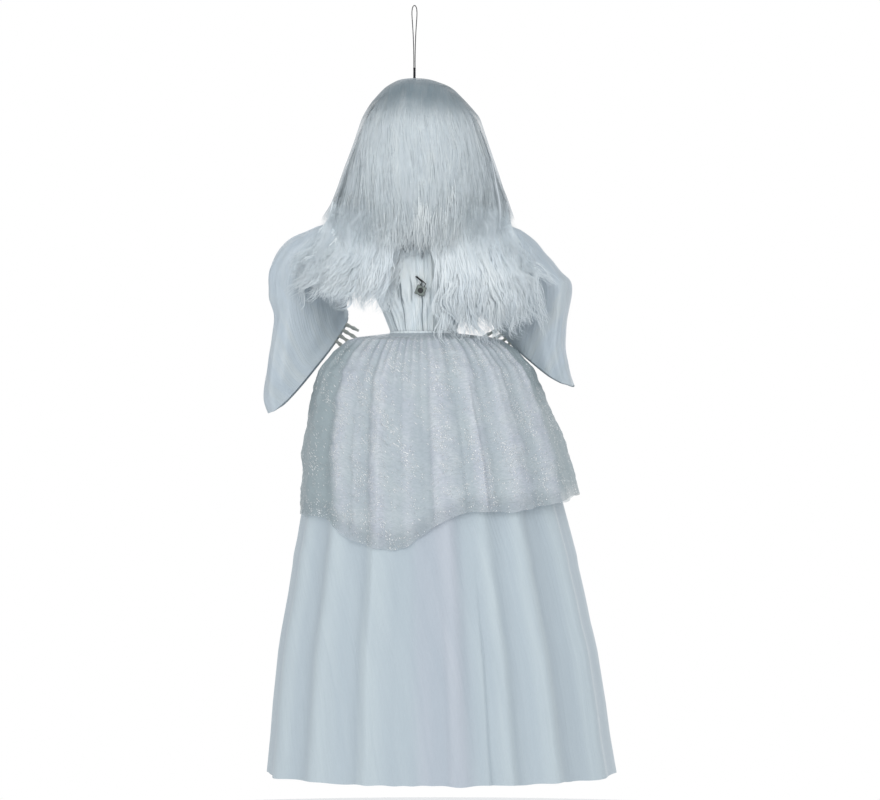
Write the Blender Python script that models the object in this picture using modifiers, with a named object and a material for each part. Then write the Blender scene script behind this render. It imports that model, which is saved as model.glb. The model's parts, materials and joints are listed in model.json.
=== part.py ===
"""Hanging skeleton bride figure: bones, wig, veil, dress, eye lamps and switch as separate pieces.

Metres, +Z up. The origin is the inner top of the hanging loop, where a hook carries the figure.
The face looks along -Y, the back of the dress along +Y, and the figure's left arm is at +X.
"""

import math

import bmesh
import bpy
from mathutils import Matrix, Vector

# Clearances and modelling tolerances
CLEARANCE = 0.0003
RUNNING_GAP = 0.0005
OVERRUN_LENGTH = 0.002
MERGE_DISTANCE = 0.00001

# Hanging cord
LOOP_LENGTH = 0.0776
CORD_RADIUS = 0.0006
BINDING_LENGTH = 0.0137
BINDING_RADIUS = 0.0015
KNOT_RADIUS = 0.003

# Head
SKULL_WIDTH = 0.112
SKULL_FRONT_DEPTH = 0.064
SKULL_BACK_DEPTH = 0.072
SKULL_HEIGHT = 0.128
SKULL_OFFSET_LENGTH = 0.004
HAIR_SIDE_THICKNESS = 0.030
HAIR_BACK_THICKNESS = 0.018
CAP_THICKNESS = 0.001
VEIL_THICKNESS = 0.001
VEIL_DROP_LENGTH = 0.180

# Torso
LEAN_SHARE = 0.0375
SHOULDER_DROP_LENGTH = 0.204
SHOULDER_REACH_LENGTH = 0.0903
TORSO_LENGTH = 0.1115
CHEST_WIDTH = 0.128
CHEST_DEPTH = 0.090
WAIST_WIDTH = 0.084
WAIST_DEPTH = 0.072
CLOTH_THICKNESS = 0.0012

# Arms
ELBOW_REACH_LENGTH = 0.170
ELBOW_DROP_LENGTHS = {"left": 0.042, "right": 0.050}
FOREARM_LENGTH = 0.082
BONE_RADIUS = 0.0045

# Skirts
WAISTBAND_HEIGHT = 0.006
WAISTBAND_THICKNESS = 0.003
OVERSKIRT_LENGTH = 0.268
OVERSKIRT_HALF_WIDTH = 0.182
OVERSKIRT_HALF_DEPTH = 0.142
UNDERSKIRT_LENGTH = 0.552
HEM_HALF_WIDTH = 0.222
HEM_HALF_DEPTH = 0.152
SKIRT_SPACING = 0.005

SIDES = {"left": 1.0, "right": -1.0}

PARTS = None
CUTTERS = None


# Levels that follow from the sizes above
PIVOT_Z = -(LOOP_LENGTH + BINDING_LENGTH + KNOT_RADIUS + 2.0 * CLEARANCE)
CROWN_SEAT_DEPTH = 0.0012
CROWN_Z = PIVOT_Z - CROWN_SEAT_DEPTH
SKULL_BASE_Z = CROWN_Z - SKULL_HEIGHT
SHOULDER_Z = CROWN_Z - SHOULDER_DROP_LENGTH
WAIST_Z = SHOULDER_Z - TORSO_LENGTH
SKIRT_TOP_Z = WAIST_Z - WAISTBAND_HEIGHT - 2.0 * CLEARANCE


def axis_x(z):
    """Sideways place of the figure's middle at a height: it hangs slightly askew."""
    return LEAN_SHARE * (z - CROWN_Z)


def start_scene():
    """Empty the scene and make the two collections."""
    global PARTS, CUTTERS
    for obj in list(bpy.data.objects):
        bpy.data.objects.remove(obj, do_unlink=True)
    PARTS = bpy.data.collections.new("skeleton_bride_figure")
    CUTTERS = bpy.data.collections.new("cutters")
    for collection in (PARTS, CUTTERS):
        bpy.context.scene.collection.children.link(collection)


def make_material(name, colour, roughness, metallic=0.0):
    """One Principled material for one piece."""
    material = bpy.data.materials.new(name)
    material.use_nodes = True
    shader = material.node_tree.nodes["Principled BSDF"]
    shader.inputs["Base Color"].default_value = (*colour, 1.0)
    shader.inputs["Roughness"].default_value = roughness
    shader.inputs["Metallic"].default_value = metallic
    material.diffuse_color = (*colour, 1.0)
    return material


BONE = ((0.66, 0.63, 0.54), 0.55, 0.0)
TOOTH = ((0.72, 0.69, 0.60), 0.35, 0.0)
HAIR = ((0.68, 0.73, 0.75), 0.75, 0.0)
NET = ((0.50, 0.55, 0.57), 0.85, 0.0)
SATIN = ((0.60, 0.66, 0.69), 0.60, 0.0)
GLITTER = ((0.47, 0.53, 0.56), 0.50, 0.0)
VOILE = ((0.50, 0.58, 0.64), 0.80, 0.0)
BLACK = ((0.02, 0.02, 0.022), 0.45, 0.0)
STEEL = ((0.60, 0.61, 0.62), 0.30, 1.0)
CORD = ((0.03, 0.03, 0.035), 0.80, 0.0)
LAMP = ((0.55, 0.60, 0.62), 0.10, 0.0)
BOARD = ((0.03, 0.18, 0.07), 0.50, 0.0)


def add_piece(name, mesh, finish, smooth_angle=40.0):
    """Put a mesh in the parts collection under its own name and material."""
    obj = bpy.data.objects.new(name, mesh)
    PARTS.objects.link(obj)
    mesh.name = name
    mesh.materials.clear()
    mesh.materials.append(make_material(name, *finish))
    mesh.shade_smooth()
    mesh.set_sharp_from_angle(angle=math.radians(smooth_angle))
    return obj


def mesh_from(bm, name="shape"):
    """Turn a bmesh into a mesh and free it."""
    mesh = bpy.data.meshes.new(name)
    bm.to_mesh(mesh)
    bm.free()
    return mesh


def add_cutter(mesh):
    """A helper shape, kept out of the parts."""
    obj = bpy.data.objects.new("cutter", mesh)
    CUTTERS.objects.link(obj)
    obj.hide_render = True
    obj.display_type = "WIRE"
    return obj


def evaluated_mesh(obj):
    """The mesh of an object with its modifiers applied."""
    bpy.context.view_layer.update()
    graph = bpy.context.evaluated_depsgraph_get()
    return bpy.data.meshes.new_from_object(obj.evaluated_get(graph))


def combined(base, others, operation):
    """Apply Booleans between a mesh and others one by one and return the new mesh."""
    obj = add_cutter(base)
    for other in others:
        tool = add_cutter(other)
        modifier = obj.modifiers.new(operation.lower(), "BOOLEAN")
        modifier.operation = operation
        modifier.solver = "EXACT"
        modifier.object = tool
        result = evaluated_mesh(obj)
        obj.modifiers.clear()
        obj.data = result
        bpy.data.objects.remove(tool, do_unlink=True)
    result = obj.data
    bpy.data.objects.remove(obj, do_unlink=True)
    return result


def fused(meshes):
    """Union of several closed meshes."""
    return combined(meshes[0], meshes[1:], "UNION")


def cut(mesh, tools):
    """A mesh with the tools taken away."""
    return combined(mesh, tools, "DIFFERENCE")


def turn_to(direction):
    """Matrix that turns +Z to a direction."""
    return Vector((0.0, 0.0, 1.0)).rotation_difference(Vector(direction)).to_matrix().to_4x4()


def rod(start, end, radius, sides=16, end_radius=None):
    """A round bar or cone between two points."""
    start = Vector(start)
    end = Vector(end)
    bm = bmesh.new()
    matrix = Matrix.Translation((start + end) / 2.0) @ turn_to(end - start)
    bmesh.ops.create_cone(
        bm,
        cap_ends=True,
        segments=sides,
        radius1=radius,
        radius2=radius if end_radius is None else end_radius,
        depth=(end - start).length,
        matrix=matrix,
    )
    return mesh_from(bm)


def ball(centre, radii, columns=16, rows=10):
    """An ellipsoid."""
    bm = bmesh.new()
    bmesh.ops.create_uvsphere(bm, u_segments=columns, v_segments=rows, radius=1.0)
    bmesh.ops.scale(bm, vec=Vector(radii), verts=bm.verts)
    bmesh.ops.translate(bm, vec=Vector(centre), verts=bm.verts)
    return mesh_from(bm)


def block(centre, size, turn=None, chamfer=0.0):
    """A box, chamfered where asked, and turned about its middle."""
    bm = bmesh.new()
    bmesh.ops.create_cube(bm, size=1.0)
    bmesh.ops.scale(bm, vec=Vector(size), verts=bm.verts)
    if chamfer > 0.0:
        bmesh.ops.bevel(bm, geom=bm.edges[:], offset=chamfer, segments=1, affect="EDGES")
    if turn is not None:
        bmesh.ops.rotate(bm, cent=(0.0, 0.0, 0.0), matrix=turn, verts=bm.verts)
    bmesh.ops.translate(bm, vec=Vector(centre), verts=bm.verts)
    return mesh_from(bm)


def smooth_route(points, spacing):
    """Points read at an even spacing from a smooth curve through the given ones."""
    points = [Vector(p) for p in points]
    dense = []
    steps = 16
    for i in range(len(points) - 1):
        p0 = points[max(i - 1, 0)]
        p1 = points[i]
        p2 = points[i + 1]
        p3 = points[min(i + 2, len(points) - 1)]
        for k in range(steps):
            t = k / steps
            dense.append(
                0.5 * ((2.0 * p1) + (p2 - p0) * t + (2.0 * p0 - 5.0 * p1 + 4.0 * p2 - p3) * t**2
                       + (3.0 * p1 - p0 - 3.0 * p2 + p3) * t**3)
            )
    dense.append(points[-1])
    lengths = [0.0]
    for a, b in zip(dense, dense[1:]):
        lengths.append(lengths[-1] + (b - a).length)
    count = max(2, round(lengths[-1] / spacing))
    route = []
    j = 0
    for k in range(count + 1):
        goal = lengths[-1] * k / count
        while j < len(dense) - 2 and lengths[j + 1] < goal:
            j += 1
        span = lengths[j + 1] - lengths[j]
        route.append(dense[j].lerp(dense[j + 1], (goal - lengths[j]) / span if span else 0.0))
    return route


def tube(points, radius, resolution=2, radius_shares=None):
    """A capped tube along points, as a closed mesh."""
    curve = bpy.data.curves.new("tube", "CURVE")
    curve.dimensions = "3D"
    curve.bevel_depth = radius
    curve.bevel_resolution = resolution
    curve.use_fill_caps = True
    spline = curve.splines.new("POLY")
    spline.points.add(len(points) - 1)
    for i, (point, place) in enumerate(zip(spline.points, points)):
        point.co = (*place, 1.0)
        if radius_shares is not None:
            point.radius = radius_shares[i]
    obj = bpy.data.objects.new("tube", curve)
    CUTTERS.objects.link(obj)
    mesh = evaluated_mesh(obj)
    bpy.data.objects.remove(obj, do_unlink=True)
    bm = bmesh.new()
    bm.from_mesh(mesh)
    bmesh.ops.remove_doubles(bm, verts=bm.verts, dist=MERGE_DISTANCE)
    bmesh.ops.recalc_face_normals(bm, faces=bm.faces)
    bm.to_mesh(mesh)
    bm.free()
    return mesh


def turned(profile, centre, sides, axis=(0.0, 0.0, 1.0)):
    """A solid of revolution from (radius, height) pairs, bottom to top, ending on the axis."""
    bm = bmesh.new()
    verts = [bm.verts.new((r, 0.0, z)) for r, z in profile]
    edges = [bm.edges.new(pair) for pair in zip(verts, verts[1:])]
    bmesh.ops.spin(
        bm,
        geom=verts + edges,
        cent=(0.0, 0.0, 0.0),
        axis=(0.0, 0.0, 1.0),
        angle=2.0 * math.pi,
        steps=sides,
        use_merge=True,
    )
    bmesh.ops.remove_doubles(bm, verts=bm.verts, dist=MERGE_DISTANCE)
    bmesh.ops.recalc_face_normals(bm, faces=bm.faces)
    bmesh.ops.transform(bm, matrix=Matrix.Translation(Vector(centre)) @ turn_to(axis), verts=bm.verts)
    return mesh_from(bm)


def grid(rows, cyclic):
    """An open surface through rows of points, top row first, columns counter-clockwise."""
    bm = bmesh.new()
    verts = [[bm.verts.new(p) for p in row] for row in rows]
    columns = len(rows[0])
    for upper, lower in zip(verts, verts[1:]):
        for c in range(columns if cyclic else columns - 1):
            n = (c + 1) % columns
            bm.faces.new((upper[c], lower[c], lower[n], upper[n]))
    return bm


def lofted(rows):
    """A closed body through rings of points, with its two ends capped."""
    bm = grid(rows, True)
    bm.verts.ensure_lookup_table()
    columns = len(rows[0])
    bm.faces.new(bm.verts[:columns])
    bm.faces.new(bm.verts[-columns:])
    bmesh.ops.recalc_face_normals(bm, faces=bm.faces)
    return mesh_from(bm)


def shell(rows, cyclic, thickness, thickness_shares=None, offset=-1.0, inset=0.0):
    """A sheet through rows of points with a wall, as a closed mesh.

    inset moves the whole sheet inward along its own normals before the wall is made.
    """
    bm = grid(rows, cyclic)
    bm.normal_update()
    if inset != 0.0:
        moves = [(v, v.normal.copy()) for v in bm.verts]
        for vert, normal in moves:
            vert.co -= normal * inset
    obj = add_cutter(mesh_from(bm))
    wall = obj.modifiers.new("wall", "SOLIDIFY")
    wall.thickness = thickness
    wall.offset = offset
    wall.use_even_offset = thickness_shares is None
    if thickness_shares is not None:
        group = obj.vertex_groups.new(name="thickness")
        index = 0
        for shares in thickness_shares:
            for share in shares:
                group.add([index], share, "REPLACE")
                index += 1
        wall.vertex_group = "thickness"
        wall.thickness_vertex_group = 0.0
    mesh = evaluated_mesh(obj)
    bpy.data.objects.remove(obj, do_unlink=True)
    return mesh


def ellipse_row(centre, half_width, half_front, half_back, count, squareness=2.0):
    """A closed ring at one height, with unlike depths in front and behind."""
    row = []
    for i in range(count):
        angle = 2.0 * math.pi * i / count
        c = math.cos(angle)
        s = math.sin(angle)
        power = 2.0 / squareness
        x = half_width * math.copysign(abs(c) ** power, c)
        depth = half_back if s > 0.0 else half_front
        row.append(Vector(centre) + Vector((x, depth * math.copysign(abs(s) ** power, s), 0.0)))
    return row


def put_origin(obj, point):
    """Move an object's origin to a point without moving its shape."""
    obj.data.transform(Matrix.Translation(-Vector(point)))
    obj.location = point


# Hanging cord. Half of the loop's route, as (sideways, height), from the binding up to the top.
LOOP_ROUTE = [
    (0.0008, -0.0776),
    (0.0008, -0.0660),
    (0.0011, -0.0500),
    (0.0017, -0.0350),
    (0.0025, -0.0220),
    (0.0031, -0.0130),
    (0.0031, -0.0065),
    (0.0022, -0.0016),
    (0.0000, 0.0006),
]
BINDING_COLLAR_SHARE = 1.15
BINDING_WAIST_SHARE = 0.90
BINDING_TURNS = 6


def build_hanging_cord():
    """The loop on the hook, the binding that closes it and the knot in the crown."""
    half = [Vector((x, 0.0, z)) for x, z in LOOP_ROUTE]
    other = [Vector((-p.x, p.y, p.z)) for p in reversed(half[:-1])]
    route = smooth_route(half + other, 8.0 * CORD_RADIUS)
    add_piece("hanging_loop", tube(route, CORD_RADIUS), CORD)

    foot = PIVOT_Z + KNOT_RADIUS + CLEARANCE
    pitch = BINDING_LENGTH / (2 * BINDING_TURNS)
    profile = [(0.0, 0.0), (BINDING_RADIUS * BINDING_WAIST_SHARE, 0.0)]
    for i in range(1, 2 * BINDING_TURNS):
        share = BINDING_COLLAR_SHARE if i % 2 else BINDING_WAIST_SHARE
        profile.append((BINDING_RADIUS * share, pitch * i))
    profile.append((BINDING_RADIUS, BINDING_LENGTH))
    profile.append((0.0, BINDING_LENGTH))
    binding = add_piece("loop_binding", turned(profile, (0.0, 0.0, foot), 10), CORD)
    put_origin(binding, (0.0, 0.0, foot))

    knot = add_piece("loop_knot", ball((0.0, 0.0, PIVOT_Z), (KNOT_RADIUS,) * 3, 12, 8), CORD)
    put_origin(knot, (0.0, 0.0, PIVOT_Z))


# Skull. Rings from the crown down: drop, half width, front and back as shares of the skull's sizes.
SKULL_RING_SHARES = [
    (0.000, 0.10, 0.09, 0.09),
    (0.022, 0.33, 0.31, 0.34),
    (0.075, 0.56, 0.53, 0.58),
    (0.160, 0.77, 0.74, 0.80),
    (0.270, 0.91, 0.87, 0.94),
    (0.390, 0.98, 0.93, 1.00),
    (0.500, 1.00, 0.97, 1.00),
    (0.590, 0.96, 0.92, 0.97),
    (0.670, 0.95, 0.93, 0.90),
    (0.740, 0.88, 0.92, 0.78),
    (0.810, 0.66, 0.88, 0.60),
    (0.880, 0.50, 0.87, 0.36),
    (1.000, 0.44, 0.84, 0.22),
]
SKULL_COLUMNS = 20
SKULL_SQUARENESS = 2.2
SOCKET_SPREAD_SHARE = 0.40
SOCKET_DROP_SHARE = 0.585
SOCKET_RADII_SHARES = (0.27, 0.40, 0.24)
NOSE_DROP_SHARE = 0.775
CHEEK_DROP_SHARE = 0.90
BRAIN_DROP_SHARE = 0.40
BRAIN_RADII_SHARES = (0.84, 0.70, 0.31)
FORAMEN_RADIUS = 0.0125
LAMP_RADIUS = 0.0025
LAMP_LENGTH = 0.0075


def skull_middle():
    """Sideways place of the skull's middle."""
    return -SKULL_OFFSET_LENGTH


def skull_rows(last=None):
    """Rings of the skull's outer surface."""
    rows = []
    for drop, width, front, back in SKULL_RING_SHARES[:last]:
        centre = (skull_middle(), 0.0, CROWN_Z - drop * SKULL_HEIGHT)
        half_width = width * SKULL_WIDTH / 2.0
        half_front = front * SKULL_FRONT_DEPTH
        half_back = back * SKULL_BACK_DEPTH
        rows.append(ellipse_row(centre, half_width, half_front, half_back, SKULL_COLUMNS, SKULL_SQUARENESS))
    return rows


def socket_centre(side):
    """Middle of an eye socket, on the face."""
    x = skull_middle() + side * SOCKET_SPREAD_SHARE * SKULL_WIDTH / 2.0
    return Vector((x, -SKULL_FRONT_DEPTH * 0.98, CROWN_Z - SOCKET_DROP_SHARE * SKULL_HEIGHT))


def lamp_seat(side):
    """Place of an eye lamp's flange, at the back of its socket."""
    centre = socket_centre(side)
    depth = SKULL_FRONT_DEPTH * SOCKET_RADII_SHARES[1]
    return Vector((centre.x, centre.y + depth, centre.z))


def build_skull():
    """The moulded skull with its sockets, nose, cheek hollows, brain space and knot pocket."""
    half_width = SKULL_WIDTH / 2.0
    tools = [ball((0.0, 0.0, PIVOT_Z), (KNOT_RADIUS + CLEARANCE,) * 3, 12, 8)]
    brain = (skull_middle(), 0.0, CROWN_Z - BRAIN_DROP_SHARE * SKULL_HEIGHT)
    brain_radii = (
        BRAIN_RADII_SHARES[0] * half_width,
        BRAIN_RADII_SHARES[1] * SKULL_BACK_DEPTH,
        BRAIN_RADII_SHARES[2] * SKULL_HEIGHT,
    )
    tools.append(ball(brain, brain_radii, 12, 8))
    tools.append(rod(brain, (brain[0], 0.0, SKULL_BASE_Z - OVERRUN_LENGTH), FORAMEN_RADIUS, 12))
    for side in SIDES.values():
        centre = socket_centre(side)
        radii = (
            SOCKET_RADII_SHARES[0] * half_width,
            SOCKET_RADII_SHARES[1] * SKULL_FRONT_DEPTH,
            SOCKET_RADII_SHARES[2] * SKULL_HEIGHT / 1.6,
        )
        tools.append(ball(centre, radii, 14, 8))
        seat = lamp_seat(side)
        inner = Vector((seat.x, 0.0, seat.z))
        tools.append(rod(seat - Vector((0.0, OVERRUN_LENGTH, 0.0)), inner, LAMP_RADIUS + CLEARANCE, 10))
        cheek = (
            skull_middle() + side * half_width * 0.93,
            -SKULL_FRONT_DEPTH * 0.42,
            CROWN_Z - CHEEK_DROP_SHARE * SKULL_HEIGHT,
        )
        tools.append(ball(cheek, (half_width * 0.36, SKULL_FRONT_DEPTH * 0.50, SKULL_HEIGHT * 0.125), 12, 8))
    nose = (skull_middle(), -SKULL_FRONT_DEPTH * 0.94, CROWN_Z - NOSE_DROP_SHARE * SKULL_HEIGHT)
    tip = Vector(nose) + Vector((0.0, 0.0, SKULL_HEIGHT * 0.085))
    foot = Vector(nose) - Vector((0.0, 0.0, SKULL_HEIGHT * 0.045))
    tools.append(rod(foot, tip, half_width * 0.17, 8, half_width * 0.05))
    add_piece("skull", cut(lofted(skull_rows()), tools), BONE)


# Jaw and teeth. The arch is a half ellipse that both rows of teeth and the jaw's body follow.
ARCH_HALF_WIDTH_SHARE = 0.40
ARCH_FRONT_SHARE = 0.80
ARCH_BACK_DEPTH = 0.012
TOOTH_HEIGHT = 0.0085
TOOTH_THICKNESS = 0.0045
GUM_HEIGHT = 0.0030
TEETH_COUNT = 10
JAW_THICKNESS = 0.0075
JAW_BODY_HEIGHT = 0.017
RAMUS_LENGTH = 0.034
RAMUS_BACK_DEPTH = 0.016


def arch_point(angle, z):
    """A point of the dental arch; 0 is its left end and pi its right end."""
    half_width = ARCH_HALF_WIDTH_SHARE * SKULL_WIDTH / 2.0
    x = skull_middle() + half_width * math.cos(angle)
    y = -ARCH_BACK_DEPTH - (ARCH_FRONT_SHARE * SKULL_FRONT_DEPTH - ARCH_BACK_DEPTH) * math.sin(angle)
    return Vector((x, y, z))


def arch_frame(angle):
    """Turn that faces a tooth outward at its place on the arch."""
    ahead = arch_point(angle + 0.01, 0.0) - arch_point(angle - 0.01, 0.0)
    return Matrix.Rotation(math.atan2(ahead.y, ahead.x), 4, "Z")


def band(angles, z_low, z_high, thickness):
    """A strip of constant wall that follows the arch."""
    rows = []
    for angle in angles:
        middle = arch_point(angle, 0.0)
        outward = arch_frame(angle) @ Vector((0.0, 1.0, 0.0)) * thickness / 2.0
        row = []
        for sign, z in ((1.0, z_low), (1.0, z_high), (-1.0, z_high), (-1.0, z_low)):
            row.append(Vector((middle.x + sign * outward.x, middle.y + sign * outward.y, z)))
        rows.append(row)
    return lofted(rows)


def tooth_row(root_z, direction):
    """A gum strip with separate teeth on it; direction is -1 where they point down."""
    first = 0.12
    angles = [first + (math.pi - 2.0 * first) * i / 12 for i in range(13)]
    gum_end = root_z + direction * GUM_HEIGHT
    strip = band(angles, min(root_z, gum_end), max(root_z, gum_end), TOOTH_THICKNESS)
    pieces = [strip]
    for i in range(TEETH_COUNT):
        angle = first + (math.pi - 2.0 * first) * (i + 0.5) / TEETH_COUNT
        reach = (arch_point(angle + 0.1, 0.0) - arch_point(angle - 0.1, 0.0)).length / 0.2
        width = reach * (math.pi - 2.0 * first) / TEETH_COUNT * 0.86
        middle = arch_point(angle, root_z + direction * (GUM_HEIGHT + TOOTH_HEIGHT) / 2.0)
        size = (width, TOOTH_THICKNESS * 0.8, TOOTH_HEIGHT - GUM_HEIGHT * 0.4)
        pieces.append(block(middle, size, arch_frame(angle), 0.0))
    return fused(pieces)


def build_jaw():
    """The lower jaw, a swept bow with its two upright rami, and both rows of teeth."""
    upper_root = SKULL_BASE_Z - CLEARANCE
    bite = upper_root - TOOTH_HEIGHT - GUM_HEIGHT / 2.0
    lower_root = bite - CLEARANCE - TOOTH_HEIGHT - GUM_HEIGHT / 2.0 - CLEARANCE
    add_piece("upper_teeth", tooth_row(upper_root, -1.0), TOOTH, 20.0)
    add_piece("lower_teeth", tooth_row(lower_root, 1.0), TOOTH, 20.0)

    jaw_top = lower_root - CLEARANCE
    angles = [math.pi * i / 14 for i in range(15)]
    body = band(angles, jaw_top - JAW_BODY_HEIGHT, jaw_top, JAW_THICKNESS)
    pieces = [body]
    chin = arch_point(math.pi / 2.0, jaw_top - JAW_BODY_HEIGHT * 0.62)
    pieces.append(ball(chin, (SKULL_WIDTH * 0.12, JAW_THICKNESS * 0.75, JAW_BODY_HEIGHT * 0.46), 10, 8))
    for angle in (0.0, math.pi):
        low = arch_point(angle, jaw_top - JAW_BODY_HEIGHT)
        top = Vector((low.x, low.y + RAMUS_BACK_DEPTH, SKULL_BASE_Z - CLEARANCE))
        rows = []
        for place, half_depth in ((low + Vector((0.0, JAW_THICKNESS, 0.0)), 0.62), (top, 0.5)):
            half_y = RAMUS_BACK_DEPTH * half_depth
            half_x = JAW_THICKNESS * 0.45
            rows.append([
                place + Vector((half_x, -half_y, 0.0)),
                place + Vector((half_x, half_y, 0.0)),
                place + Vector((-half_x, half_y, 0.0)),
                place + Vector((-half_x, -half_y, 0.0)),
            ])
        pieces.append(lofted(rows))
    add_piece("jaw", fused(pieces), BONE)


def build_eye_lamps():
    """A small lamp at the back of each socket."""
    for name, side in SIDES.items():
        seat = lamp_seat(side)
        profile = [
            (0.0, 0.0),
            (LAMP_RADIUS, 0.0),
            (LAMP_RADIUS, LAMP_LENGTH * 0.70),
            (LAMP_RADIUS * 0.8, LAMP_LENGTH * 0.9),
            (0.0, LAMP_LENGTH),
        ]
        lamp = turned(profile, seat + Vector((0.0, LAMP_LENGTH * 0.5, 0.0)), 12, (0.0, -1.0, 0.0))
        add_piece(f"eye_lamp_{name}", lamp, LAMP)


# Spine: a turned column whose ridges are the vertebrae.
SPINE_RADIUS = 0.0085
SPINE_WAIST_SHARE = 0.74
VERTEBRAE = 8


def spine_top():
    """The spine's upper end, inside the skull's foramen."""
    return SKULL_BASE_Z + SKULL_HEIGHT * 0.16


def spine_foot():
    """The spine's lower end, at the waist."""
    return WAIST_Z - WAISTBAND_HEIGHT * 0.5


def spine_point(z):
    """Middle of the spine at a height; it leans with the figure below the neck."""
    return Vector((axis_x(z) if z < SKULL_BASE_Z else axis_x(SKULL_BASE_Z), 0.0, z))


def build_spine():
    """Neck and back bone in one turned piece, sheared to follow the lean."""
    foot = spine_foot()
    length = spine_top() - foot
    pitch = length / VERTEBRAE
    profile = [(0.0, 0.0), (SPINE_RADIUS * SPINE_WAIST_SHARE, 0.0)]
    for i in range(VERTEBRAE):
        low = pitch * i
        profile.append((SPINE_RADIUS, low + pitch * 0.22))
        profile.append((SPINE_RADIUS, low + pitch * 0.62))
        profile.append((SPINE_RADIUS * SPINE_WAIST_SHARE, low + pitch * 0.86))
    profile.append((SPINE_RADIUS * SPINE_WAIST_SHARE, length))
    profile.append((0.0, length))
    mesh = turned(profile, (0.0, 0.0, foot), 10)
    for vert in mesh.vertices:
        vert.co.x += spine_point(vert.co.z).x
    add_piece("spine", mesh, BONE)


# Bodice rings: drop below the shoulder line as shares of the torso's length (below the line
# positive), then width and depth as shares of the chest's sizes, blended to the waist's.
BODICE_RING_SHARES = [
    (-0.125, 0.74, 0.76, 0.0),
    (-0.050, 0.94, 0.92, 0.0),
    (0.100, 1.00, 0.99, 0.0),
    (0.330, 1.00, 1.00, 0.0),
    (0.620, 0.96, 0.99, 0.10),
    (0.840, 0.96, 0.98, 0.62),
    (1.000, 1.00, 1.00, 1.0),
]
BODICE_COLUMNS = 24
BODICE_SQUARENESS = 2.6
GATHER_DEPTH = 0.0012
GATHERS = 6
ARMHOLE_RADIUS = 0.013
LEAD_HOLE_RADIUS = 0.0022
LEAD_HOLE_DROP_SHARE = 0.40
LEAD_HOLE_SIDE_WIDTH = 0.0060


def torso_ring(drop_share, width_share, depth_share, to_waist, inset, count, gathers=0.0):
    """One ring of the torso's surface, moved inward by inset, with the cloth's gathers."""
    z = SHOULDER_Z - drop_share * TORSO_LENGTH
    width = width_share * (CHEST_WIDTH + (WAIST_WIDTH - CHEST_WIDTH) * to_waist) / 2.0 - inset
    depth = depth_share * (CHEST_DEPTH + (WAIST_DEPTH - CHEST_DEPTH) * to_waist) / 2.0 - inset
    squareness = BODICE_SQUARENESS + (2.0 - BODICE_SQUARENESS) * to_waist
    row = ellipse_row((axis_x(z), 0.0, z), width, depth, depth, count, squareness)
    centre = Vector((axis_x(z), 0.0, z))
    if gathers > 0.0:
        for i, point in enumerate(row):
            angle = 2.0 * math.pi * i / count
            ripple = gathers * (math.cos(GATHERS * angle) - 1.0) / 2.0
            row[i] = point + (point - centre).normalized() * ripple
    return row


def bodice_rows(inset=0.0, gathers=GATHER_DEPTH):
    """Rings of the bodice's outer surface."""
    rows = []
    for drop, width, depth, to_waist in BODICE_RING_SHARES:
        rows.append(torso_ring(drop, width, depth, to_waist, inset, BODICE_COLUMNS, gathers))
    return rows


def torso_shares(drop):
    """Width, depth and waist shares of the torso at a drop share, read between its rings."""
    for upper, lower in zip(BODICE_RING_SHARES, BODICE_RING_SHARES[1:]):
        if drop <= lower[0]:
            t = (drop - upper[0]) / (lower[0] - upper[0])
            return tuple(upper[k] + (lower[k] - upper[k]) * t for k in (1, 2, 3))
    return BODICE_RING_SHARES[-1][1:]


def bodice_back(z):
    """Depth of the bodice's back at a height between the shoulder line and the waist."""
    width, depth, to_waist = torso_shares((SHOULDER_Z - z) / TORSO_LENGTH)
    return depth * (CHEST_DEPTH + (WAIST_DEPTH - CHEST_DEPTH) * to_waist) / 2.0


def bodice_half_width(z):
    """Half width of the bodice at a height between the shoulder line and the waist."""
    width, depth, to_waist = torso_shares((SHOULDER_Z - z) / TORSO_LENGTH)
    return width * (CHEST_WIDTH + (WAIST_WIDTH - CHEST_WIDTH) * to_waist) / 2.0


def lead_hole():
    """Where the switch's lead comes out of the dress."""
    z = SHOULDER_Z - LEAD_HOLE_DROP_SHARE * TORSO_LENGTH
    return Vector((axis_x(z) + LEAD_HOLE_SIDE_WIDTH, bodice_back(z), z))


def build_bodice():
    """The gathered top of the dress, open at the neck, armholes and waist."""
    tools = []
    for side in SIDES.values():
        x = axis_x(SHOULDER_Z)
        outer = x + side * (CHEST_WIDTH / 2.0 + OVERRUN_LENGTH)
        inner = x + side * CHEST_WIDTH / 4.0
        tools.append(rod((inner, 0.0, SHOULDER_Z), (outer, 0.0, SHOULDER_Z), ARMHOLE_RADIUS, 12))
    hole = lead_hole()
    reach = Vector((0.0, CHEST_DEPTH * 0.12, 0.0))
    tools.append(rod(hole - reach, hole + reach, LEAD_HOLE_RADIUS, 10))
    sheet = shell(bodice_rows(), True, CLOTH_THICKNESS)
    add_piece("bodice", cut(sheet, tools), SATIN)


# Rib cage
RIB_PAIRS = 6
RIB_RADIUS = 0.0024
RIB_COLUMNS = 12
RIB_FIRST_SHARE = 0.08
RIB_LAST_SHARE = 0.70
RIB_SLOPE_HEIGHT = 0.009
RIB_END_SHARE = 0.08
RIB_PLAY_GAP = 0.0016
STERNUM_WIDTH = 0.013
BACK_PLATE_WIDTH = 0.0075


def rib_ring(share):
    """Route of one rib, just inside the bodice and lower in front than behind."""
    width, depth, to_waist = torso_shares(share)
    inset = CLOTH_THICKNESS + GATHER_DEPTH + RIB_PLAY_GAP + RIB_RADIUS
    squeeze = 1.0 - 0.06 * abs(share - RIB_FIRST_SHARE)
    row = torso_ring(share, width * squeeze, depth * squeeze, to_waist, inset, RIB_COLUMNS)
    for point in row:
        point.z += RIB_SLOPE_HEIGHT * (point.y / (CHEST_DEPTH / 2.0)) * 0.5
    return row


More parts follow.
